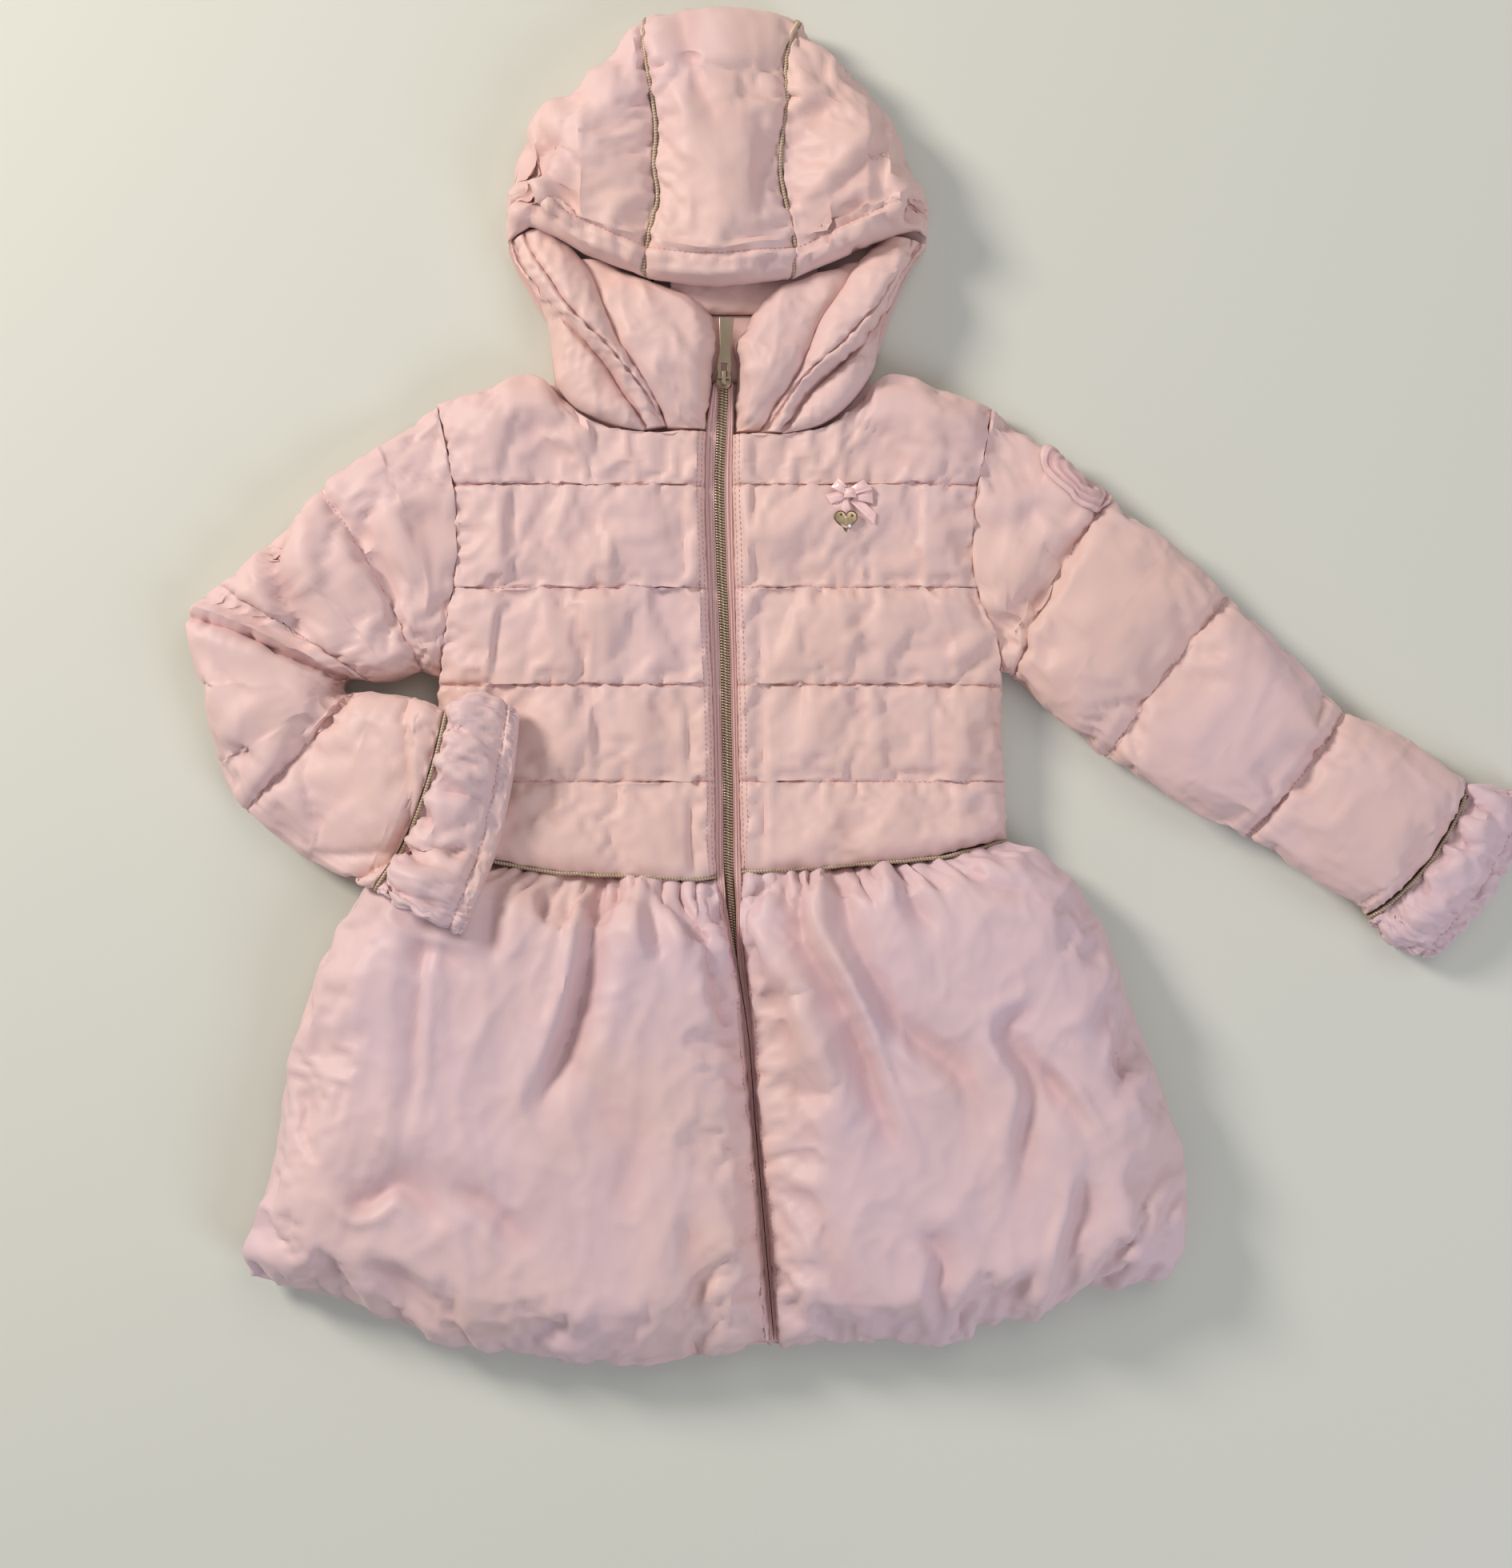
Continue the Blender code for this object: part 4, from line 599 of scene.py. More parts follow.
def crease_relief(x: Array, y: Array, creases: Sequence[Crease]) -> Array:
    """Gives how far long creases lift or press a surface.

    Args:
        x: The surface's x in mm.
        y: Its y in mm.
        creases: The creases in it.

    Returns:
        The move outward in mm, below zero in a valley.
    """
    total = np.zeros(np.shape(x))
    for crease in creases:
        spots = seen(crease.line)
        count = max(6, int(path_lengths(spots)[-1] / 5))
        spots = along(spots, np.linspace(0, 1, count))
        nearest = np.full(np.shape(x), 1e9)
        share, side = np.zeros(np.shape(x)), np.zeros(np.shape(x))
        for k in range(count - 1):
            start, line = spots[k], spots[k + 1] - spots[k]
            held = np.clip(((x - start[0]) * line[0] + (y - start[1]) * line[1]) / (line @ line), 0, 1)
            off_x, off_y = x - start[0] - held * line[0], y - start[1] - held * line[1]
            away = np.hypot(off_x, off_y)
            closer = away < nearest
            nearest = np.where(closer, away, nearest)
            share = np.where(closer, (k + held) / (count - 1), share)
            side = np.where(closer, np.sign(line[0] * off_y - line[1] * off_x), side)
        taper = np.clip(crease.head + share / 0.25, 0, 1) * (1 - ease((share - 0.5) / 0.5))
        bent = 1 + crease.skew * side * (1 - np.exp(-nearest / 3))
        off = np.sqrt((nearest / (crease.width * bent)) ** 2 + 0.02)
        valley = np.exp(-(off**1.25))
        shoulder = 0.42 * np.exp(-(((off - 2.1) / 1.0) ** 2))
        total = total + crease.depth * taper * (shoulder - valley)
    return total


def puckers(noise: Noise, run: Array, away: Array, size: float, reach: float, depth: float) -> Array:
    """Gives the small wrinkles that a row of stitches draws up across itself.

    Args:
        noise: The noise that spaces them.
        run: The place along the stitches in mm.
        away: The distance from the stitches in mm.
        size: The wrinkles' spacing in mm.
        reach: How far they reach in mm.
        depth: Their depth in mm.

    Returns:
        The move outward in mm.
    """
    wave = noise.at(run, away * 0.22, size) + 0.5 * noise.at(run + 400, away * 0.3, size * 0.55)
    return depth * np.exp(-away / reach) * wave * 1.4


@dataclass
class Cloth:
    """A panel of cloth as a grid of outer points and a grid of inner points."""

    outer: Array
    inner: Array
    around: bool = False
    shade: Optional[Array] = None

    def normals(self) -> Array:
        """Gives the outward direction at each outer point."""
        grid = self.outer
        if self.around:
            grid = np.concatenate([grid[:, -1:], grid, grid[:, :1]], axis=1)
        down, across = np.gradient(grid, axis=0), np.gradient(grid, axis=1)
        if self.around:
            down, across = down[:, 1:-1], across[:, 1:-1]
        found = np.cross(down, across)
        found /= np.maximum(np.linalg.norm(found, axis=-1), 1e-9)[..., None]
        out = self.outer - self.inner
        return found * (1.0 if (found * out).sum() >= 0 else -1.0)

    def settle(self, pinned: Array, growth: float, skip: int = 2, frames: int = 14, most: float = 6.0) -> None:
        """Lets the outer layer buckle as real cloth does, held at its seams and stitches.

        Args:
            pinned: Where the outer points are sewn down.
            growth: How much larger than its seams the cloth is cut, as a share.
            skip: How many rows and columns of the grid one simulated row and column stands for.
            frames: How long it settles.
            most: The furthest that a point may move, in mm.
        """
        rows, columns = self.outer.shape[:2]
        row_at = np.unique(np.r_[np.arange(0, rows, skip), rows - 1])
        column_at = np.arange(0, columns, skip)
        if not self.around:
            column_at = np.unique(np.r_[column_at, columns - 1])
        coarse = self.outer[np.ix_(row_at, column_at)]
        held = np.zeros((rows, columns), bool) | pinned
        near = np.array([[held[r, c] for c in column_at] for r in row_at])
        for k, r in enumerate(row_at[:-1]):
            near[k] |= held[r : row_at[k + 1]][:, column_at].all(axis=1).any() if skip > 1 else False
        index = np.arange(coarse.shape[0] * coarse.shape[1]).reshape(coarse.shape[:2])
        wide = np.concatenate([index, index[:, :1]], axis=1) if self.around else index
        faces = np.stack([wide[:-1, :-1], wide[:-1, 1:], wide[1:, 1:], wide[1:, :-1]], axis=-1).reshape(-1, 4)
        down, across = np.gradient(coarse, axis=0), np.gradient(coarse, axis=1)
        flip = (np.cross(down, across)[..., None, :] @ (coarse - self.inner[np.ix_(row_at, column_at)])[..., None]).sum() < 0
        faces = faces if flip else faces[:, ::-1]
        mesh = bpy.data.meshes.new("settling")
        mesh.from_pydata((coarse.reshape(-1, 3) * MM).tolist(), [], faces.tolist())
        made = bpy.data.objects.new("settling", mesh)
        bpy.context.scene.collection.objects.link(made)
        group = made.vertex_groups.new(name="sewn")
        group.add([int(i) for i in index[near]], 1.0, "REPLACE")
        modifier = made.modifiers.new("settling", "CLOTH")
        fabric = modifier.settings
        fabric.quality = 4
        fabric.mass = 0.15
        fabric.tension_stiffness = fabric.compression_stiffness = 14
        fabric.shear_stiffness = 5
        fabric.bending_stiffness = 0.35
        fabric.vertex_group_mass = "sewn"
        fabric.shrink_min = -growth
        fabric.use_pressure = True
        fabric.uniform_pressure_force = 3.0
        fabric.effector_weights.gravity = 0.0
        modifier.collision_settings.use_collision = False
        modifier.point_cache.frame_start, modifier.point_cache.frame_end = 1, frames + 1
        scene = bpy.context.scene
        for frame_number in range(1, frames + 1):
            scene.frame_set(frame_number)
        settled = made.evaluated_get(bpy.context.evaluated_depsgraph_get()).to_mesh()
        moved = np.empty(3 * len(index.ravel()), np.float32)
        settled.vertices.foreach_get("co", moved)
        moved = moved.reshape(coarse.shape).astype(float) / MM - coarse
        scene.frame_set(1)
        bpy.data.objects.remove(made)
        bpy.data.meshes.remove(mesh)
        length = np.linalg.norm(moved, axis=-1)[..., None]
        moved *= np.minimum(1, most / np.maximum(length, 1e-9))
        if self.around:
            moved = np.concatenate([moved, moved[:, :1]], axis=1)
            column_at = np.r_[column_at, columns]
        fine_rows = np.stack([[np.interp(np.arange(rows), row_at, moved[:, c, k]) for k in range(3)] for c in range(moved.shape[1])])
        fine = np.empty((rows, columns, 3))
        for k in range(3):
            for r in range(rows):
                fine[r, :, k] = np.interp(np.arange(columns), column_at, fine_rows[:, k, r])
        LOG.info("settled by up to %.1f mm", float(np.linalg.norm(fine, axis=-1).max()))
        self.outer = self.outer + fine

    def push(self, amount: Array, floor: float = 0.0) -> None:
        """Moves the outer points along their outward directions.

        Args:
            amount: How far each moves, in mm.
            floor: The lowest height that a point may have.
        """
        self.outer = self.outer + self.normals() * np.broadcast_to(amount, self.outer.shape[:2])[..., None]
        self.outer[..., 2] = np.maximum(self.outer[..., 2], floor)
        self.shade = amount if self.shade is None else self.shade + amount


@dataclass(frozen=True)
class Wiring:
    """A short way to add and join the nodes of a material."""

    tree: bpy.types.NodeTree

    def add(self, kind: str, **inputs: object) -> bpy.types.Node:
        """Adds a node and sets its inputs by name or its own properties.

        Args:
            kind: The node's class without the ShaderNode prefix.
            **inputs: Properties in small letters, inputs with their first letter large.

        Returns:
            The node.
        """
        node = self.tree.nodes.new("ShaderNode" + kind)
        for name, value in inputs.items():
            if name[0].isupper():
                socket = node.inputs[name.replace("_", " ")]
                if isinstance(value, bpy.types.NodeSocket):
                    self.tree.links.new(value, socket)
                else:
                    socket.default_value = value
            else:
                setattr(node, name, value)
        return node

    def join(self, start: bpy.types.NodeSocket, end: bpy.types.NodeSocket) -> None:
        """Links an output to an input."""
        self.tree.links.new(start, end)

    def math(self, operation: str, first: object, second: object = 0.0) -> bpy.types.NodeSocket:
        """Adds a Math node.

        Args:
            operation: What it works out.
            first: Its first value or output.
            second: Its second value or output.

        Returns:
            Its output.
        """
        node = self.tree.nodes.new("ShaderNodeMath")
        node.operation = operation
        for socket, value in zip(node.inputs, (first, second)):
            if isinstance(value, bpy.types.NodeSocket):
                self.tree.links.new(value, socket)
            else:
                socket.default_value = value
        return node.outputs[0]

    def mix(self, factor: object, first: object, second: object) -> bpy.types.NodeSocket:
        """Adds a colour mix.

        Args:
            factor: How much of the second shows.
            first: The first colour or output.
            second: The second colour or output.

        Returns:
            The mixed colour.
        """
        node = self.tree.nodes.new("ShaderNodeMix")
        node.data_type = "RGBA"
        for socket, value in zip((node.inputs[0], node.inputs[6], node.inputs[7]), (factor, first, second)):
            if isinstance(value, bpy.types.NodeSocket):
                self.tree.links.new(value, socket)
            else:
                socket.default_value = (*value, 1.0) if isinstance(value, tuple) else value
        return node.outputs[2]

    def spread(self, value: bpy.types.NodeSocket, low: float, high: float) -> bpy.types.NodeSocket:
        """Stretches a value between low and high to 0 to 1."""
        node = self.add("MapRange", clamp=True, Value=value, From_Min=low, From_Max=high)
        return node.outputs[0]


@dataclass(frozen=True)
class Finish:
    """What all finishes share: a name, a roughness, and a material that is made once."""

    name: str
    slot: str
    roughness: float = 0.5

    def shade(self, wiring: Wiring, shader: bpy.types.Node) -> None:
        """Joins the finish's own nodes to its shader."""
        raise NotImplementedError

    def material(self) -> bpy.types.Material:
        """Gives the finish's material."""
        name = "finish_" + self.name
        made = bpy.data.materials.get(name)
        if made is None:
            made = bpy.data.materials.new(name)
            made.use_nodes = True
            shader = made.node_tree.nodes["Principled BSDF"]
            shader.inputs["Roughness"].default_value = self.roughness
            self.shade(Wiring(made.node_tree), shader)
        return made


@dataclass(frozen=True)
class ShellFabric(Finish):
    """Smooth woven polyester with a soft sheen."""

    light: tuple[float, float, float] = (0.73, 0.505, 0.455)
    # The cool colour is painted cool window light; the deep colour serves the fibre speckle and the painted shade in
    # creases.
    painted_cool_light: tuple[float, float, float] = (0.70, 0.50, 0.50)
    fibre_and_painted_shade: tuple[float, float, float] = (0.56, 0.31, 0.29)
    painted_cool_light_share: float = 0.3

    def shade(self, wiring: Wiring, shader: bpy.types.Node) -> None:
        """Joins painted cool light in broad patches, painted shade in the creases, a weave and fine crumples.

        Args:
            wiring: The material's nodes.
            shader: Its shader.
        """
        place = wiring.add("TexCoord").outputs["Object"]
        # Painted cool light: broad noise patches tint the cloth toward a lilac colour that stands in for the cool
        # window light falling on it.
        cool_light_noise = wiring.add("TexNoise", Vector=place, Scale=7.0, Detail=3.0, Distortion=0.6).outputs[0]
        patch = wiring.spread(cool_light_noise, 0.72 - self.painted_cool_light_share, 1.02 - self.painted_cool_light_share)
        tone = wiring.mix(patch, self.light, self.painted_cool_light)
        fibre = wiring.add("TexNoise", Vector=place, Scale=1400.0, Detail=2.0).outputs[0]
        fibre_share = wiring.math("MULTIPLY", wiring.spread(fibre, 0.35, 0.75), 0.07)
        tone = wiring.mix(fibre_share, tone, self.fibre_and_painted_shade)
        # Painted shade: the crease attribute darkens the valleys toward the shade tone.
        crease = wiring.add("Attribute", attribute_name="crease").outputs["Fac"]
        tone = wiring.mix(crease, tone, self.fibre_and_painted_shade)
        wiring.join(tone, shader.inputs["Base Color"])
        shader.inputs["Sheen Weight"].default_value = 0.22
        shader.inputs["Sheen Roughness"].default_value = 0.4
        shader.inputs["Sheen Tint"].default_value = (1.0, 0.86, 0.84, 1.0)
        shader.inputs["Specular IOR Level"].default_value = 0.34
        warp = wiring.add("TexWave", bands_direction="X", Vector=place, Scale=560.0).outputs["Fac"]
        weft = wiring.add("TexWave", bands_direction="Y", Vector=place, Scale=560.0).outputs["Fac"]
        weave = wiring.math("MULTIPLY", warp, weft)
        crumple = wiring.add(
            "TexNoise", noise_type="RIDGED_MULTIFRACTAL", Vector=place, Scale=46.0, Detail=4.0, Distortion=0.5
        ).outputs[0]
        soft = wiring.add("Bump", Strength=0.4, Distance=0.0004, Height=crumple)
        fine = wiring.add("Bump", Strength=0.3, Distance=0.00005, Height=weave, Normal=soft.outputs[0])
        wiring.join(fine.outputs[0], shader.inputs["Normal"])


@dataclass(frozen=True)
class TapeFabric(Finish):
    """Ribbed zip tape."""

    colour: tuple[float, float, float] = (0.74, 0.50, 0.47)
    dark: tuple[float, float, float] = (0.56, 0.34, 0.33)

    def shade(self, wiring: Wiring, shader: bpy.types.Node) -> None:
        """Joins lengthwise ribs and a herringbone weave.

        Args:
            wiring: The material's nodes.
            shader: Its shader.
        """
        place = wiring.add("TexCoord").outputs["Object"]
        ribs = wiring.add("TexWave", bands_direction="X", Vector=place, Scale=240.0, Distortion=0.3).outputs["Fac"]
        slant = wiring.add("TexWave", bands_direction="DIAGONAL", Vector=place, Scale=420.0).outputs["Fac"]
        weave = wiring.math("MULTIPLY", ribs, wiring.math("ADD", wiring.math("MULTIPLY", slant, 0.5), 0.5))
        tone = wiring.mix(wiring.spread(weave, 0.0, 0.8), self.dark, self.colour)
        wiring.join(tone, shader.inputs["Base Color"])
        shader.inputs["Sheen Weight"].default_value = 0.25
        bump = wiring.add("Bump", Strength=0.6, Distance=0.0002, Height=weave)
        wiring.join(bump.outputs[0], shader.inputs["Normal"])


@dataclass(frozen=True)
class Metal(Finish):
    """Plated metal, darker in its hollows and rubbed on its edges."""

    bright: tuple[float, float, float] = (0.60, 0.50, 0.36)
    dark: tuple[float, float, float] = (0.16, 0.12, 0.08)
    worn: float = 0.5

    def shade(self, wiring: Wiring, shader: bpy.types.Node) -> None:
        """Joins tarnish, rubbed edges and fine scratches.

        Args:
            wiring: The material's nodes.
            shader: Its shader.
        """
        place = wiring.add("TexCoord").outputs["Object"]
        cloud = wiring.add("TexNoise", Vector=place, Scale=420.0, Detail=4.0).outputs[0]
        edge = wiring.add("NewGeometry").outputs["Pointiness"]
        rubbed = wiring.spread(edge, 0.46, 0.56)
        share = wiring.math("MULTIPLY", wiring.spread(cloud, 0.3, 0.7), self.worn)
        share = wiring.math("MAXIMUM", share, rubbed)
        wiring.join(wiring.mix(share, self.dark, self.bright), shader.inputs["Base Color"])
        shader.inputs["Metallic"].default_value = 1.0
        rough = wiring.math("ADD", wiring.math("MULTIPLY", cloud, 0.25), self.roughness - 0.12)
        wiring.join(rough, shader.inputs["Roughness"])
        scratch = wiring.add("TexNoise", Vector=place, Scale=2600.0, Detail=3.0, Distortion=2.0).outputs[0]
        bump = wiring.add("Bump", Strength=0.25, Distance=0.00005, Height=scratch)
        wiring.join(bump.outputs[0], shader.inputs["Normal"])


@dataclass(frozen=True)
class CordYarn(Finish):
    """Lurex yarn of the piping, antique gold, with painted shade in the hollows between its strands."""

    bright: tuple[float, float, float] = (0.66, 0.53, 0.38)
    dark: tuple[float, float, float] = (0.24, 0.17, 0.11)

    def shade(self, wiring: Wiring, shader: bpy.types.Node) -> None:
        """Joins painted shade in the hollows and painted glints on the strands.

        Args:
            wiring: The material's nodes.
            shader: Its shader.
        """
        place = wiring.add("TexCoord").outputs["Object"]
        hollow = wiring.add("Attribute", attribute_name="crease").outputs["Fac"]
        glint = wiring.add("TexNoise", Vector=place, Scale=1900.0, Detail=2.0).outputs[0]
        tone = wiring.mix(wiring.spread(glint, 0.35, 0.7), tuple(0.62 * c for c in self.bright), self.bright)
        # Painted shade: the hollows between the strands, carried in the crease attribute, darken toward the dark tone.
        wiring.join(wiring.mix(hollow, tone, self.dark), shader.inputs["Base Color"])
        shader.inputs["Metallic"].default_value = 0.25
        bump = wiring.add("Bump", Strength=0.5, Distance=0.0001, Height=glint)
        wiring.join(bump.outputs[0], shader.inputs["Normal"])


@dataclass(frozen=True)
class Thread(Finish):
    """Twisted sewing thread."""

    colour: tuple[float, float, float] = (0.62, 0.36, 0.37)
    dark: tuple[float, float, float] = (0.48, 0.25, 0.26)

    def shade(self, wiring: Wiring, shader: bpy.types.Node) -> None:
        """Joins the twist of the thread.

        Args:
            wiring: The material's nodes.
            shader: Its shader.
        """
        place = wiring.add("TexCoord").outputs["Object"]
        twist = wiring.add("TexWave", bands_direction="DIAGONAL", Vector=place, Scale=900.0).outputs["Fac"]
        wiring.join(wiring.mix(twist, self.dark, self.colour), shader.inputs["Base Color"])
        shader.inputs["Sheen Weight"].default_value = 0.3
        bump = wiring.add("Bump", Strength=0.5, Distance=0.00006, Height=twist)
        wiring.join(bump.outputs[0], shader.inputs["Normal"])


@dataclass(frozen=True)
class SatinRibbon(Finish):
    """Satin ribbon with long floats across it and a soft gloss."""

    light: tuple[float, float, float] = (0.90, 0.62, 0.60)
    shadow: tuple[float, float, float] = (0.78, 0.43, 0.43)

    def shade(self, wiring: Wiring, shader: bpy.types.Node) -> None:
        """Joins fine floats and brighter folds.

        Args:
            wiring: The material's nodes.
            shader: Its shader.
        """
        place = wiring.add("TexCoord").outputs["Object"]
        floats = wiring.add("TexWave", bands_direction="DIAGONAL", Vector=place, Scale=760.0, Distortion=0.8)
        cloud = wiring.add("TexNoise", Vector=place, Scale=260.0, Detail=2.0).outputs[0]
        share = wiring.math("MULTIPLY", floats.outputs["Fac"], wiring.spread(cloud, 0.2, 0.9))
        wiring.join(wiring.mix(share, self.light, self.shadow), shader.inputs["Base Color"])
        shader.inputs["Sheen Weight"].default_value = 0.4
        shader.inputs["Coat Weight"].default_value = 0.25
        shader.inputs["Anisotropic"].default_value = 0.5
        bump = wiring.add("Bump", Strength=0.3, Distance=0.00005, Height=floats.outputs["Fac"])
        wiring.join(bump.outputs[0], shader.inputs["Normal"])


@dataclass(frozen=True)
class MouldedRubber(Finish):
    """Moulded soft rubber of the badge, with painted shade in its grooves and a painted highlight on its ridges."""

    colour: tuple[float, float, float] = (0.60, 0.35, 0.36)
    pale: tuple[float, float, float] = (0.74, 0.52, 0.50)

    def shade(self, wiring: Wiring, shader: bpy.types.Node) -> None:
        """Joins a painted highlight on the ridges, painted shade in the grooves and a fine grain.

        Args:
            wiring: The material's nodes.
            shader: Its shader.
        """
        place = wiring.add("TexCoord").outputs["Object"]
        edge = wiring.add("NewGeometry").outputs["Pointiness"]
        grain = wiring.add("TexNoise", Vector=place, Scale=1100.0, Detail=3.0).outputs[0]
        # Painted highlight and shade: convex ridges lighten toward the pale tone, and the grooves keep the darker tone.
        ridge = wiring.math("ADD", wiring.spread(edge, 0.47, 0.58), wiring.math("MULTIPLY", grain, 0.15))
        wiring.join(wiring.mix(ridge, self.colour, self.pale), shader.inputs["Base Color"])
        bump = wiring.add("Bump", Strength=0.3, Distance=0.0001, Height=grain)
        wiring.join(bump.outputs[0], shader.inputs["Normal"])


@dataclass(frozen=True)
class Stone(Finish):
    """A clear cut stone."""

    tint: tuple[float, float, float] = (0.93, 0.93, 0.90)

    def shade(self, wiring: Wiring, shader: bpy.types.Node) -> None:
        """Joins a cloudy tint under a clear coat.

        Args:
            wiring: The material's nodes.
            shader: Its shader.
        """
        place = wiring.add("TexCoord").outputs["Object"]
        cloud = wiring.add("TexNoise", Vector=place, Scale=900.0).outputs[0]
        wiring.join(wiring.mix(cloud, self.tint, (0.72, 0.70, 0.66)), shader.inputs["Base Color"])
        shader.inputs["Coat Weight"].default_value = 1.0
        shader.inputs["Specular IOR Level"].default_value = 0.9


@dataclass(frozen=True)
class FloorPaint(Finish):
    """A plain pale matt floor."""

    colour: tuple[float, float, float] = (0.66, 0.665, 0.59)

    def shade(self, wiring: Wiring, shader: bpy.types.Node) -> None:
        """Joins a faint unevenness.

        Args:
            wiring: The material's nodes.
            shader: Its shader.
        """
        place = wiring.add("TexCoord").outputs["Object"]
        cloud = wiring.add("TexNoise", Vector=place, Scale=2.0, Detail=2.0).outputs[0]
        tone = wiring.mix(cloud, tuple(0.97 * c for c in self.colour), self.colour)
        wiring.join(tone, shader.inputs["Base Color"])


BODICE_CLOTH = ShellFabric("bodice_cloth", "pink_shell", 0.52)
# The skirt and cuffs use the bodice's fabric with more painted cool light, a lilac cast from the window light and not
# another dye.
SKIRT_CLOTH = ShellFabric(
    "skirt_cloth", "skirt_shell", 0.5,
    light=(0.72, 0.51, 0.47), painted_cool_light=(0.68, 0.50, 0.53), fibre_and_painted_shade=(0.55, 0.31, 0.32), painted_cool_light_share=0.42,
)
INNER_CLOTH = ShellFabric(
    "inner_cloth", "pink_shell", 0.55, light=(0.68, 0.46, 0.42), painted_cool_light=(0.66, 0.46, 0.45), fibre_and_painted_shade=(0.5, 0.29, 0.27)
)
ZIP_TAPE = TapeFabric("zip_tape", "zip_tape", 0.75)
BRASS = Metal("antique_brass", "antique_brass", 0.36, bright=(0.50, 0.40, 0.29), dark=(0.17, 0.125, 0.085), worn=0.35)
CHARM_GOLD = Metal(
    "charm_gold", "pale_gold", 0.3, bright=(0.86, 0.68, 0.46), dark=(0.62, 0.44, 0.26), worn=0.9
)
CHARM_DARK = Metal("charm_dark", "antique_brass", 0.5, bright=(0.20, 0.14, 0.09), dark=(0.07, 0.05, 0.03))
PIPING = CordYarn("piping_yarn", "gold_piping", 0.42)
SEWING = Thread("sewing_thread", "pink_shell", 0.6)
RIBBON = SatinRibbon("ribbon_satin", "satin_ribbon", 0.3)
RUBBER = MouldedRubber("badge_rubber", "badge_rubber", 0.5)
CLEAR_STONE = Stone("clear_stone", "pale_gold", 0.05)
FLOOR = FloorPaint("floor_paint", "pink_shell", 0.85)


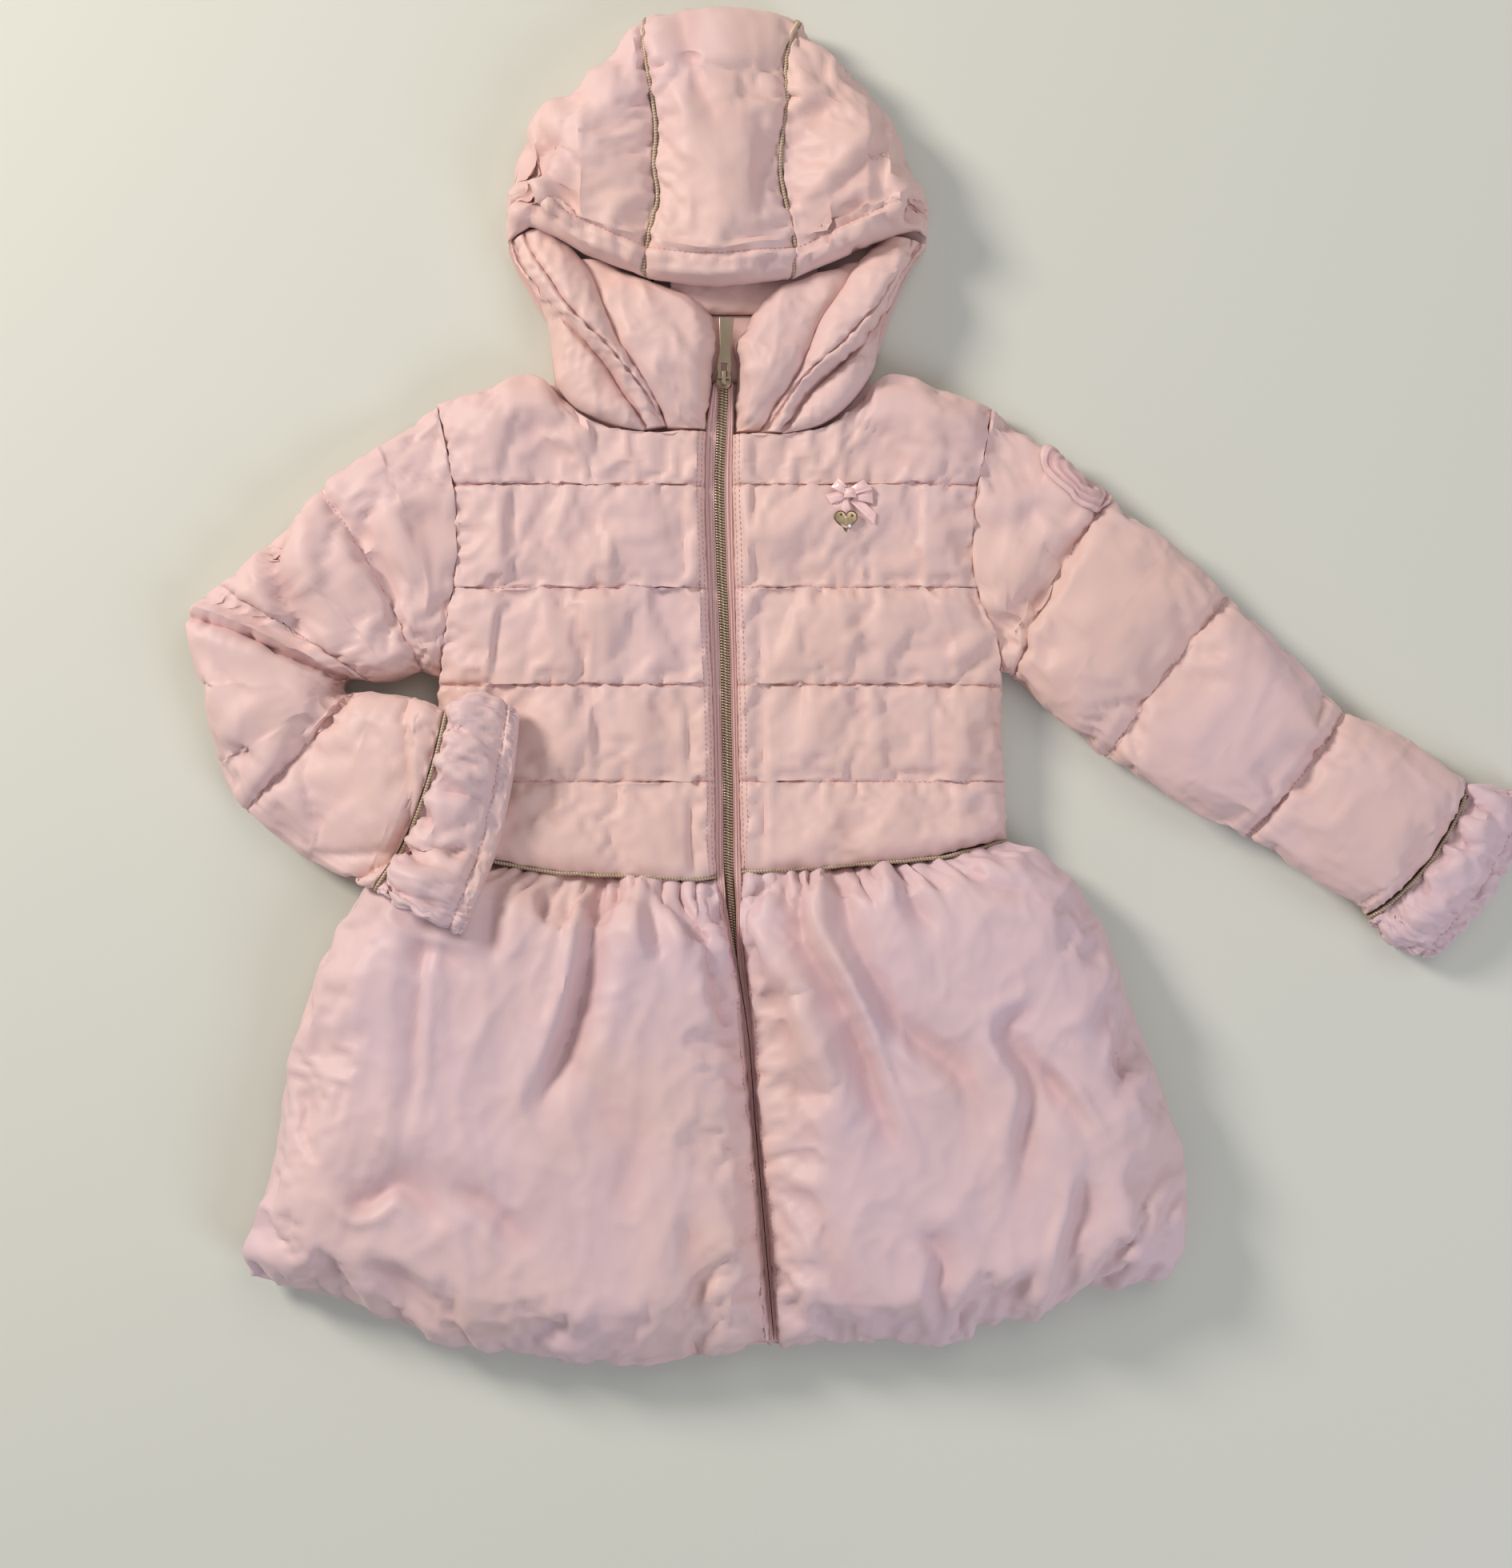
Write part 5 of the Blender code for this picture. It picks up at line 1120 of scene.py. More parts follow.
class Maker:
    """Turns points and faces into finished pieces that ride on the coat."""

    @staticmethod
    def piece(
        name: str,
        points: Array,
        faces: Sequence,
        finish: Finish,
        nodes: Sequence[str] = (),
        body: str = COAT_BODY,
        shade: Optional[Array] = None,
        sharp: float = 60.0,
    ) -> bpy.types.Object:
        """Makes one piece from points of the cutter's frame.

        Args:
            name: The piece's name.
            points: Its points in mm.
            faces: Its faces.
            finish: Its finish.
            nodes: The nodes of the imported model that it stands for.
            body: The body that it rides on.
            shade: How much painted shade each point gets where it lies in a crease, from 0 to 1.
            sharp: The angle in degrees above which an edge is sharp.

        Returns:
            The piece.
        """
        places = placed(points)
        faces = [tuple(int(i) for i in face) for face in faces]
        volume = 0.0
        for corners in {len(face) for face in faces}:
            group = np.array([face for face in faces if len(face) == corners])
            for k in range(1, corners - 1):
                a, b, c = places[group[:, 0]], places[group[:, k]], places[group[:, k + 1]]
                volume += float(np.einsum("ij,ij->", a, np.cross(b, c)))
        if volume < 0:
            faces = [face[::-1] for face in faces]
        mesh = bpy.data.meshes.new(name)
        mesh.from_pydata(places.tolist(), [], faces)
        mesh.shade_smooth()
        mesh.set_sharp_from_angle(angle=math.radians(sharp))
        # The crease attribute carries painted shade to the finishes that read it.
        if shade is not None:
            layer = mesh.attributes.new("crease", "FLOAT", "POINT")
            layer.data.foreach_set("value", np.asarray(shade, np.float32).ravel())
        mesh.materials.append(finish.material())
        made = bpy.data.objects.new(name, mesh)
        bpy.context.scene.collection.objects.link(made)
        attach(made, body)
        if nodes:
            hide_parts(*nodes)
        return made

    @staticmethod
    def narrow_sheet(made: bpy.types.Object, width: float, length: float, held: Held) -> None:
        """Takes a strip of tape or ribbon and does nothing with it.

        Args:
            made: The strip; not used.
            width: Its cut width in metres; not used.
            length: Its cut length in metres; not used.
            held: How it lies; not used.
        """

    @staticmethod
    def cloth(
        name: str,
        cloth: Cloth,
        finish: Finish,
        nodes: Sequence[str] = (),
        lips: tuple[float, float, float, float] = (0, 0, 0, 0),
    ) -> bpy.types.Object:
        """Makes a padded panel: two layers of cloth joined by a rounded rim.

        Args:
            name: The piece's name.
            cloth: Its grids.
            finish: Its finish.
            nodes: The nodes that it stands for.
            lips: How far the rim swells at the first row, last column, last row and first column, in mm.

        Returns:
            The piece.
        """
        rows, columns = cloth.outer.shape[:2]
        count = rows * columns
        index = np.arange(count).reshape(rows, columns)
        spans = index if not cloth.around else np.concatenate([index, index[:, :1]], axis=1)
        a, b, c, d = spans[:-1, :-1], spans[:-1, 1:], spans[1:, 1:], spans[1:, :-1]
        outer_faces = np.stack([a, b, c, d], axis=-1).reshape(-1, 4)
        faces = [outer_faces, outer_faces[:, ::-1] + count]
        points = [cloth.outer.reshape(-1, 3), cloth.inner.reshape(-1, 3)]
        total = 2 * count
        if cloth.around:
            loops = [(index[0], 0, True), (index[-1], 2, False)]
        else:
            ring = np.concatenate([index[0, :-1], index[:-1, -1], index[-1, :0:-1], index[:0:-1, 0]])
            loops = [(ring, None, True)]
        inward = np.zeros((count, 3))
        inward_grid = inward.reshape(rows, columns, 3)
        swell = np.zeros((rows, columns))
        for k, (line, back) in enumerate(
            ((np.s_[0, :], np.s_[1, :]), (np.s_[:, -1], np.s_[:, -2]), (np.s_[-1, :], np.s_[-2, :]), (np.s_[:, 0], np.s_[:, 1]))
        ):
            if cloth.around and k in (1, 3):
                continue
            out = cloth.outer[line] - cloth.outer[back]
            out[..., 2] = 0
            out /= np.maximum(np.linalg.norm(out, axis=-1), 1e-9)[..., None]
            inward_grid[line] += out * lips[k]
            swell[line] = np.maximum(swell[line], lips[k])
        for ring, side, forward in loops:
            size = len(ring)
            top, low = cloth.outer.reshape(-1, 3)[ring], cloth.inner.reshape(-1, 3)[ring]
            previous = ring
            for turn in (50, 15, -15, -50):
                angle = math.radians(turn)
                middle, half = (top + low) / 2, (top - low) / 2
                points.append(middle + half * math.sin(angle) + inward[ring] * math.cos(angle))
                here = total + np.arange(size)
                total += size
                strip = np.stack([previous, here, np.roll(here, -1), np.roll(previous, -1)], axis=-1)
                faces.append(strip if forward else strip[:, ::-1])
                previous = here
            here = ring + count
            strip = np.stack([previous, here, np.roll(here, -1), np.roll(previous, -1)], axis=-1)
            faces.append(strip if forward else strip[:, ::-1])
        points = np.concatenate(points)
        shade = np.zeros(len(points))
        # Painted shade: outer points pressed more than 1 mm into a valley get up to 45% of the shade tone.
        if cloth.shade is not None:
            depth = np.clip(-np.broadcast_to(cloth.shade, (rows, columns)) - 1.0, 0, 6)
            shade[:count] = (0.45 * (1 - np.exp(-depth / 3.5))).ravel()
        return Maker.piece(name, points, np.concatenate(faces), finish, nodes, shade=shade)

    @staticmethod
    def tube(
        name: str,
        path: Array,
        radius: Callable[[Array, Array], Array],
        finish: Finish,
        nodes: Sequence[str] = (),
        closed: bool = False,
        around: int = 10,
        hollow: Optional[Callable[[Array, Array], Array]] = None,
    ) -> bpy.types.Object:
        """Makes a cord along a path whose radius changes along and around it.

        Args:
            name: The piece's name.
            path: The path's points in mm, close together.
            radius: The radius at each place along the path and turn around it.
            finish: Its finish.
            nodes: The nodes that it stands for.
            closed: Whether the path joins up.
            around: How many points go round.
            hollow: How much painted shade the cord has at each place and turn.

        Returns:
            The piece.
        """
        if closed:
            ahead = np.roll(path, -1, axis=0) - np.roll(path, 1, axis=0)
        else:
            ahead = np.gradient(path, axis=0)
        ahead /= np.linalg.norm(ahead, axis=1)[:, None]
        beside = np.cross(ahead, [0, 0, 1.0])
        beside /= np.maximum(np.linalg.norm(beside, axis=1), 1e-6)[:, None]
        above = np.cross(beside, ahead)
        turns = 2 * math.pi * np.arange(around) / around
        run = path_lengths(path)[:, None]
        reach = radius(run, turns[None])[..., None]
        ring = np.cos(turns)[None, :, None] * beside[:, None] + np.sin(turns)[None, :, None] * above[:, None]
        points = (path[:, None] + reach * ring).reshape(-1, 3)
        index = np.arange(len(points)).reshape(len(path), around)
        if closed:
            index = np.concatenate([index, index[:1]])
        wide = np.concatenate([index, index[:, :1]], axis=1)
        faces = np.stack([wide[:-1, :-1], wide[:-1, 1:], wide[1:, 1:], wide[1:, :-1]], axis=-1).reshape(-1, 4).tolist()
        if not closed:
            faces += [index[0, ::-1].tolist(), index[-1].tolist()]
        shade = None if hollow is None else np.broadcast_to(hollow(run, turns[None]), (len(path), around))
        return Maker.piece(name, points, faces, finish, nodes, shade=shade, sharp=80)

    @staticmethod
    def stitches(
        name: str, lines: Sequence[tuple[Array, Array]], pitch: float = 3.1, length: float = 2.3, width: float = 0.26
    ) -> bpy.types.Object:
        """Sews rows of stitches along lines on the cloth.

        Args:
            name: The piece's name.
            lines: The points and outward directions of each line.
            pitch: The distance from stitch to stitch in mm.
            length: The length of the thread that shows.
            width: The thread's radius.

        Returns:
            The piece that holds all these stitches.
        """
        points, faces, total = [], [], 0
        stations = ((0.0, 0.35, -0.25), (0.2, 1.0, 0.16), (0.8, 1.0, 0.16), (1.0, 0.35, -0.25))
        sides = 5
        turns = 2 * math.pi * np.arange(sides) / sides
        for path, normals in lines:
            run = path_lengths(path)
            starts = np.arange(0.4, run[-1] - length, pitch)
            if not len(starts):
                continue
            for share, thick, lift in stations:
                at = starts + share * length
                spot = np.stack([np.interp(at, run, path[:, k]) for k in range(3)], axis=-1)
                out = np.stack([np.interp(at, run, normals[:, k]) for k in range(3)], axis=-1)
                out /= np.linalg.norm(out, axis=1)[:, None]
                ahead = np.stack([np.interp(at + 0.3, run, path[:, k]) for k in range(3)], axis=-1) - spot
                ahead /= np.maximum(np.linalg.norm(ahead, axis=1), 1e-6)[:, None]
                beside = np.cross(ahead, out)
                beside /= np.maximum(np.linalg.norm(beside, axis=1), 1e-6)[:, None]
                centre = spot + out * lift
                ring = np.cos(turns)[None, :, None] * beside[:, None] + np.sin(turns)[None, :, None] * out[:, None]
                points.append(centre[:, None] + width * thick * ring)
            count = len(starts)
            block = np.arange(4 * count * sides).reshape(4, count, sides) + total
            total += 4 * count * sides
            for k in range(3):
                near, far = block[k], block[k + 1]
                strip = np.stack([near, np.roll(near, -1, 1), np.roll(far, -1, 1), far], axis=-1)
                faces += strip.reshape(-1, 4).tolist()
            faces += block[0][:, ::-1].tolist() + block[3].tolist()
        joined = np.concatenate([p.reshape(-1, 3) for p in points])
        return Maker.piece(name, joined, faces, SEWING)


@dataclass
class Bodice:
    """The quilted bodice: two fronts and the back."""

    puff: float = BODICE_TOP
    quilt_radius: float = 15.0
    quilt_kept: float = 0.76
    stitch_rows: tuple[float, float] = (1.0, 3.7)
    noise: Noise = field(default_factory=lambda: Noise(11))
    edges: dict = field(default_factory=dict)

    def rows(self, top_edge: Line, near_edge: Line, far_edge: Line, across: Array, step: float) -> tuple[Array, list]:
        """Gives the plan points of a panel whose rows follow the quilting.

        Args:
            top_edge: The panel's top edge.
            near_edge: The edge that it starts from.
            far_edge: The edge that it ends at.
            across: The shares of its width.
            step: The distance between rows in mm.

        Returns:
            The plan points, and the rows that lie on quilting lines.
        """
        levels = [lambda x: y_at(top_edge, x)]
        levels += [lambda x, line=line: np.full_like(x, line) for line in QUILT_LINES]
        levels += [lambda x: y_at(WAIST, x) + PIPED_GAP]
        plan, marked = [], []
        for k in range(len(levels) - 1):
            shares = graded(56, step)
            shares = shares if k == len(levels) - 2 else shares[:-1]
            if k:
                marked.append(len(plan))
            for share in shares:
                near_y = far_y = 200.0
                for _ in range(4):
                    near_x, far_x = x_at(near_edge, near_y), x_at(far_edge, far_y)
                    near_y, far_y = (
                        (1 - share) * levels[k](np.array([x]))[0] + share * levels[k + 1](np.array([x]))[0]
                        for x in (near_x, far_x)
                    )
                x = near_x + (far_x - near_x) * across
                plan.append(np.stack([x, (1 - share) * levels[k](x) + share * levels[k + 1](x)], axis=-1))
        return np.array(plan), marked

    def front(self, side: Side) -> Cloth:
        """Makes one front.

        Args:
            side: Which front.

        Returns:
            Its cloth, for the piping at its waist.
        """
        front_edge, seam, neck = FRONT_EDGE[side], SIDE_SEAM[side], NECK[side]
        across = graded(150, STEP, self.stitch_rows)
        plan, marked = self.rows(neck, front_edge, seam, across, STEP)
        x, y = plan[..., 0], plan[..., 1]
        to_side, to_zip = np.abs(x_at(seam, y) - x), np.abs(x - x_at(front_edge, y))
        to_top, to_waist = y_at(neck, x) - y, y - y_at(WAIST, x)
        at_armhole = 0.66 * np.clip((y - 95) / 40, 0, 1) * np.clip((262 - y) / 30, 0, 1)
        at_top = 0.82 * np.clip((88 - np.abs(x + 8)) / 16, 0, 1)
        edges = [(to_side, 30, at_armhole), (to_zip, 9, 0.6), (to_top, 26, at_top), (to_waist, 14, 0.3)]
        edges += [(np.abs(y - line), self.quilt_radius, self.quilt_kept) for line in QUILT_LINES]
        height = stuffed(BODICE_PARTING + EDGE_WALL, self.puff, edges)
        cloth = Cloth(with_height(plan, height), with_height(plan, BODICE_PARTING + SEAM_GAP / 2))
        sewn = (to_side < 0.5) | (to_top < 0.5) | (to_waist < 0.5) | (to_zip < 4.2)
        sewn[marked] = True
        cloth.settle(sewn, 0.055, most=4.5)
        cloth.push(self.relief(side, x, y, to_side, to_zip, to_waist))
        name = "bodice_front_" + side.word
        made = Maker.cloth(name, cloth, BODICE_CLOTH, [name], lips=(0, 0.4, 0, 0.5))
        normals = cloth.normals()
        lines = [(cloth.outer[row], normals[row]) for row in marked]
        for distance in self.stitch_rows:
            column = int(np.argmin(np.abs(across - distance / 150)))
            lines.append((cloth.outer[:, column], normals[:, column]))
        Maker.stitches("stitching_bodice_" + side.word, lines)
        return cloth

    def relief(self, side: Side, x: Array, y: Array, to_side: Array, to_zip: Array, to_waist: Array) -> Array:
        """Gives the creases, puckers and grooves of a front.

        Args:
            side: Which front.
            x: The plan points' x.
            y: Their y.
            to_side: Their distance from the side seam.
            to_zip: Their distance from the zip edge.
            to_waist: Their distance from the waist.

        Returns:
            The move outward in mm.
        """
        to_line = np.min([np.abs(y - line) for line in QUILT_LINES], axis=0)
        hold = rise(np.minimum(np.minimum(to_side, to_zip), to_waist), 10)
        move = 1.2 * crease_relief(x, y, BODICE_CREASES[side]) * hold
        move += 1.0 * hold * self.noise.crumple(x, y, 40)
        move += puckers(self.noise, x, to_line, 6.5, 9, 1.0)
        move += puckers(self.noise, y + 90, to_side, 7, 9, 1.0)
        move += puckers(self.noise, y + 30, to_zip, 6, 7, 0.35)
        move += puckers(self.noise, x + 60, to_waist, 7, 10, 0.7)
        move -= 0.5 * np.exp(-((to_line / 1.2) ** 2))
        for distance in self.stitch_rows:
            move -= 0.35 * np.exp(-(((to_zip - distance) / 0.8) ** 2))
        if side is Side.LEFT:
            move *= 1 - 0.85 * np.exp(-((x - 69) ** 2 + (y - 209) ** 2) / 20**2)
        return move

    def back(self) -> None:
        """Makes the back, which lies on the floor with its quilting underneath."""
        across = graded(320, 5.0)
        plan, marked = self.rows(NECK_BACK, SIDE_SEAM[Side.RIGHT], SIDE_SEAM[Side.LEFT], across, 4.5)
        x, y = plan[..., 0], plan[..., 1]
        to_side = np.minimum(x - x_at(SIDE_SEAM[Side.RIGHT], y), x_at(SIDE_SEAM[Side.LEFT], y) - x)
        to_top, to_waist = y_at(NECK_BACK, x) - y, y - y_at(WAIST, x)
        edges = [(to_side, 16, 0), (to_top, 12, 0.1), (to_waist, 6, 0.6)]
        edges += [(np.abs(y - line), 6, 0.72) for line in QUILT_LINES]
        lift = BODICE_PARTING - EDGE_WALL - SEAM_GAP
        under = lift - stuffed(0, lift, edges)
        to_line = np.min([np.abs(y - line) for line in QUILT_LINES], axis=0)
        under += 0.25 + 0.35 * np.abs(puckers(self.noise, x, to_line, 7, 12, 1.0))
        cloth = Cloth(with_height(plan, under), with_height(plan, BODICE_PARTING - SEAM_GAP / 2))
        made = Maker.cloth("bodice_back", cloth, BODICE_CLOTH, ["bodice_back"], lips=(0.3, 0.8, 0, 0.8))
        normals = cloth.normals()
        Maker.stitches("stitching_back", [(cloth.outer[row], normals[row]) for row in marked])

    def build(self) -> None:
        """Makes the back and both fronts, and keeps the fronts' waist edges."""
        self.back()
        for side in Side:
            self.edges[side] = self.front(side).outer[-1]
            LOG.info("bodice front %s made", side.word)


@dataclass
class Skirt:
    """The bubble skirt: two gathered fronts and the back."""

    top: float = SKIRT_TOP
    wall: float = 13.0
    gathers: int = 15
    noise: Noise = field(default_factory=lambda: Noise(23))
    pleats: dict = field(default_factory=dict)

    def plan(self, near: Line, far: Line, hem: Line, down: Array, across: Array) -> Array:
        """Gives the plan points of a panel between its four edges.

        Args:
            near: The edge that it starts from, listed down from the waist.
            far: The edge that it ends at, listed the same way.
            hem: The hem.
            down: The shares of its length.
            across: The shares of its width.

        Returns:
            The plan points.
        """
        top_x = near[0][0] + (far[0][0] - near[0][0]) * across
        start = np.stack([top_x, y_at(WAIST, top_x) - PIPED_GAP], axis=-1)
        near_line = along([tuple(start[0])] + list(near[1:]), down)
        far_line = along([tuple(start[-1])] + list(far[1:]), down)
        end = along(hem, across)
        end[0], end[-1] = near_line[-1], far_line[-1]
        v, u = down[:, None, None], across[None, :, None]
        corners = (1 - u) * (1 - v) * start[0] + u * (1 - v) * start[-1] + (1 - u) * v * end[0] + u * v * end[-1]
        return (1 - u) * near_line[:, None] + u * far_line[:, None] + (1 - v) * start[None] + v * end[None] - corners

    def gathering(self, run: Array, fall: Array, seed: float, reach: float) -> Array:
        """Gives the pleats that a gathered seam throws.

        Args:
            run: The place along the seam in mm.
            fall: The distance from the seam in mm.
            seed: Moves the noise, for another seam.
            reach: How far the longest pleats reach in mm.

        Returns:
            The lift from -1 in a valley to 1 on a pleat.
        """
        turns = run / 11.0 + 0.75 * self.noise.at(run + seed, fall * 0.05, 24)
        length = reach * (0.55 + 0.45 * self.noise.at(np.round(turns) * 17.0 + seed, 0 * turns, 9))
        fade = np.exp(-np.clip(fall - 2, 0, None) / np.clip(length, 6, None))
        return (1.9 * np.abs(np.sin(math.pi * turns)) ** 0.65 - 1.25) * fade * np.clip(0.4 + fall / 6, 0, 1)

    def front(self, side: Side) -> None:
        """Makes one front of the skirt.

        Args:
            side: Which front.
        """
        down, across = graded(280, STEP), graded(235, STEP, (1.2, 4.0))
        front_edge = [spot for spot in FRONT_EDGE[side] if spot[1] < 2]
        plan = self.plan(front_edge, SKIRT_SIDE[side], HEM[side], down, across)
        width = np.linalg.norm(plan[:, -1] - plan[:, 0], axis=1)[:, None]
        length = np.linalg.norm(np.diff(plan, axis=0), axis=2).sum(axis=0)[None]
        share, fall = across[None], down[:, None]
        to_side, to_zip = (1 - share) * width, share * width
        to_waist, to_hem = fall * length, (1 - fall) * length
        edges = [(to_side, 42, 0), (to_zip, 24, 0.3), (to_waist, 62, 0.08), (to_hem, 40, 0)]
        low = SKIRT_PARTING + EDGE_WALL
        height = stuffed(low, self.top, edges)
        x, y = plan[..., 0], plan[..., 1]
        room = np.clip((height - low) / (self.top - low), 0, 1)
        move = 1.15 * crease_relief(x, y, SKIRT_CREASES[side]) * np.clip(room * 1.15 + 0.12, 0, 1)
        run = share * 158.0
        move = move + 2.9 * self.gathering(run, to_waist, 40.0 * side.value, 26) * (1 - share**10)
        hem_run = share * 260.0
        hem = self.noise.at(hem_run + 70 * side.value, to_hem * 0.16, 19)
        hem = hem + 0.5 * self.noise.at(hem_run, to_hem * 0.2, 9)
        move = move + 3.6 * hem * np.exp(-to_hem / 34) * rise(to_zip, 14) * rise(to_side, 20)
        side_fold = self.noise.at(to_side * 0.16, to_waist + 55, 21)
        move = move + 2.2 * side_fold * np.exp(-to_side / 30) * rise(to_waist, 20) * rise(to_hem, 20)
        hold = rise(np.minimum(to_zip, to_side), 16)
        move = move + 2.3 * hold * self.noise.crumple(x * 1.15, y * 0.72, 56)
        move = move + puckers(self.noise, to_waist + 0 * to_zip, to_zip, 8, 9, 0.6) - 0.4 * np.exp(-((to_zip - 1.2) ** 2))
        cloth = Cloth(with_height(plan, height), with_height(plan, SKIRT_PARTING + SEAM_GAP / 2))
        sewn = (to_side < 0.5) | (to_hem < 0.5) | (to_waist < 0.5) | (to_zip < 1.5)
        cloth.settle(sewn, 0.06, skip=2, frames=18, most=7.0)
        swell = 1.6 * np.exp(-to_hem / 5) * rise(to_zip, 20) * (1 + hem)
        cloth.push(move, SKIRT_PARTING + 1.5)
        outward = plan[-1] - plan[-4]
        outward /= np.linalg.norm(outward, axis=1)[:, None]
        cloth.outer[..., :2] += outward[None] * swell[..., None]
        under = np.maximum(SKIRT_PARTING + SEAM_GAP / 2, cloth.outer[..., 2] - self.wall)
        cloth.inner = with_height(cloth.outer[..., :2], under)
        name = "skirt_front_" + side.word
        made = Maker.cloth(name, cloth, SKIRT_CLOTH, [name], lips=(0, 1.6, 1.6, 0.6))
        normals = cloth.normals()
        column = int(np.argmin(np.abs(across - 1.2 / 235)))
        Maker.stitches("stitching_skirt_" + side.word, [(cloth.outer[:, column], normals[:, column])])

    def back(self) -> None:
        """Makes the back of the skirt, flat where it rests."""
        across, down = graded(430, 5.0), graded(280, 5.0)
        hem = list(reversed(HEM[Side.RIGHT])) + list(HEM[Side.LEFT])
        plan = self.plan(SKIRT_SIDE[Side.RIGHT], SKIRT_SIDE[Side.LEFT], hem, down, across)
        width = np.linalg.norm(plan[:, -1] - plan[:, 0], axis=1)[:, None]
        length = np.linalg.norm(np.diff(plan, axis=0), axis=2).sum(axis=0)[None]
        share, fall = across[None], down[:, None]
        to_side, to_hem = np.minimum(share, 1 - share) * width, (1 - fall) * length
        edges = [(to_side, 20, 0), (fall * length, 10, 0.72), (to_hem, 20, 0)]
        lift = SKIRT_PARTING - EDGE_WALL - SEAM_GAP
        under = lift - stuffed(0, lift, edges)
        under += 1.4 * (1 + self.gathering(share * 320.0, fall * length, 300.0, 22))
        edge = np.minimum(to_side, to_hem)
        under += 1.5 * np.exp(-edge / 16) * (1 + self.noise.at(share * 540.0, fall * 280.0, 24))
        under = np.clip(under, 0, lift + 0.8)
        cloth = Cloth(with_height(plan, under), with_height(plan, SKIRT_PARTING - SEAM_GAP / 2))
        made = Maker.cloth("skirt_back", cloth, SKIRT_CLOTH, ["skirt_back"], lips=(0, 1.6, 1.6, 1.6))

    def build(self) -> None:
        """Makes the back and both fronts."""
        self.back()
        for side in Side:
            self.front(side)
            LOG.info("skirt front %s made", side.word)


def body_under(points: Array) -> Array:
    """Gives the height of the right side of the coat, and of a ramp up to it.

    Args:
        points: Points in plan.

    Returns:
        The height under each.
    """
    x, y = points[..., 0], points[..., 1]
    waist = y_at(WAIST, x)
    side = np.where(y > 13, x_at(SIDE_SEAM[Side.RIGHT], y), x_at(SKIRT_SIDE[Side.RIGHT], y))
    inside = x - side + 15
    edge = BODICE_PARTING + EDGE_WALL + 2
    bodice = edge + (BODICE_TOP - edge + 0.8) * rise(inside, 44)
    skirt = edge + (SKIRT_TOP - edge + 4) * rise(inside, 60) * rise(waist + 10 - y, 76)
    return np.where(inside > 0, np.maximum(bodice, skirt), edge * ease(1 + inside / 60))


def bare_floor(points: Array) -> Array:
    """Gives the height of the bare floor."""
    return np.zeros(points.shape[:-1])


def flat_tube(plan: Callable, height: Array, floor: Callable, edge_wall: float, count: int) -> tuple[Array, Array]:
    """Gives the outer and inner rings of a tube that lies flat.

    Args:
        plan: Gives the points across each station at given shares.
        height: The height of each station.
        floor: Gives the height of what it lies on.
        edge_wall: The padding at the tube's two edges.
        count: How many points go round.

    Returns:
        The outer and inner grids.
    """
    turn = 2 * math.pi * np.arange(count) / count
    bulge = np.abs(np.sin(turn))[None]
    over = (np.sin(turn) >= -1e-9)[None]
    side = -np.cos(turn)
    shares = (np.sign(side) * np.abs(side) ** 0.72 + 1) / 2
    outer_plan = plan(shares)
    width = np.linalg.norm(outer_plan[:, count // 2] - outer_plan[:, 0], axis=1)[:, None]
    middle = 11.0 * np.minimum(1, height / 24)
    top = middle + (height - middle) * bulge**0.75
    bottom = middle - middle * np.minimum(1, 1.15 * bulge**0.5)
    outer = with_height(outer_plan, floor(outer_plan) + np.where(over, top, bottom))
    inset = 1 - 2 * edge_wall / width
    inner_plan = np.stack([plan(0.5 + (shares - 0.5) * row)[i] for i, row in enumerate(inset[:, 0])])
    slit = 1.2 * bulge**0.75 * np.where(over, 1, -1)
    inner = with_height(inner_plan, floor(inner_plan) + middle + slit)
    return outer, inner


def bow_out(low: Array, top: Array, depth: float) -> Callable:
    """Gives a curve that bows sideways by depth between a low and a top point."""
    line = np.asarray(top, float) - np.asarray(low, float)
    side = np.array([-line[1], line[0]]) / np.linalg.norm(line)
    return lambda shares: side * (4 * depth * shares * (1 - shares))[:, None]


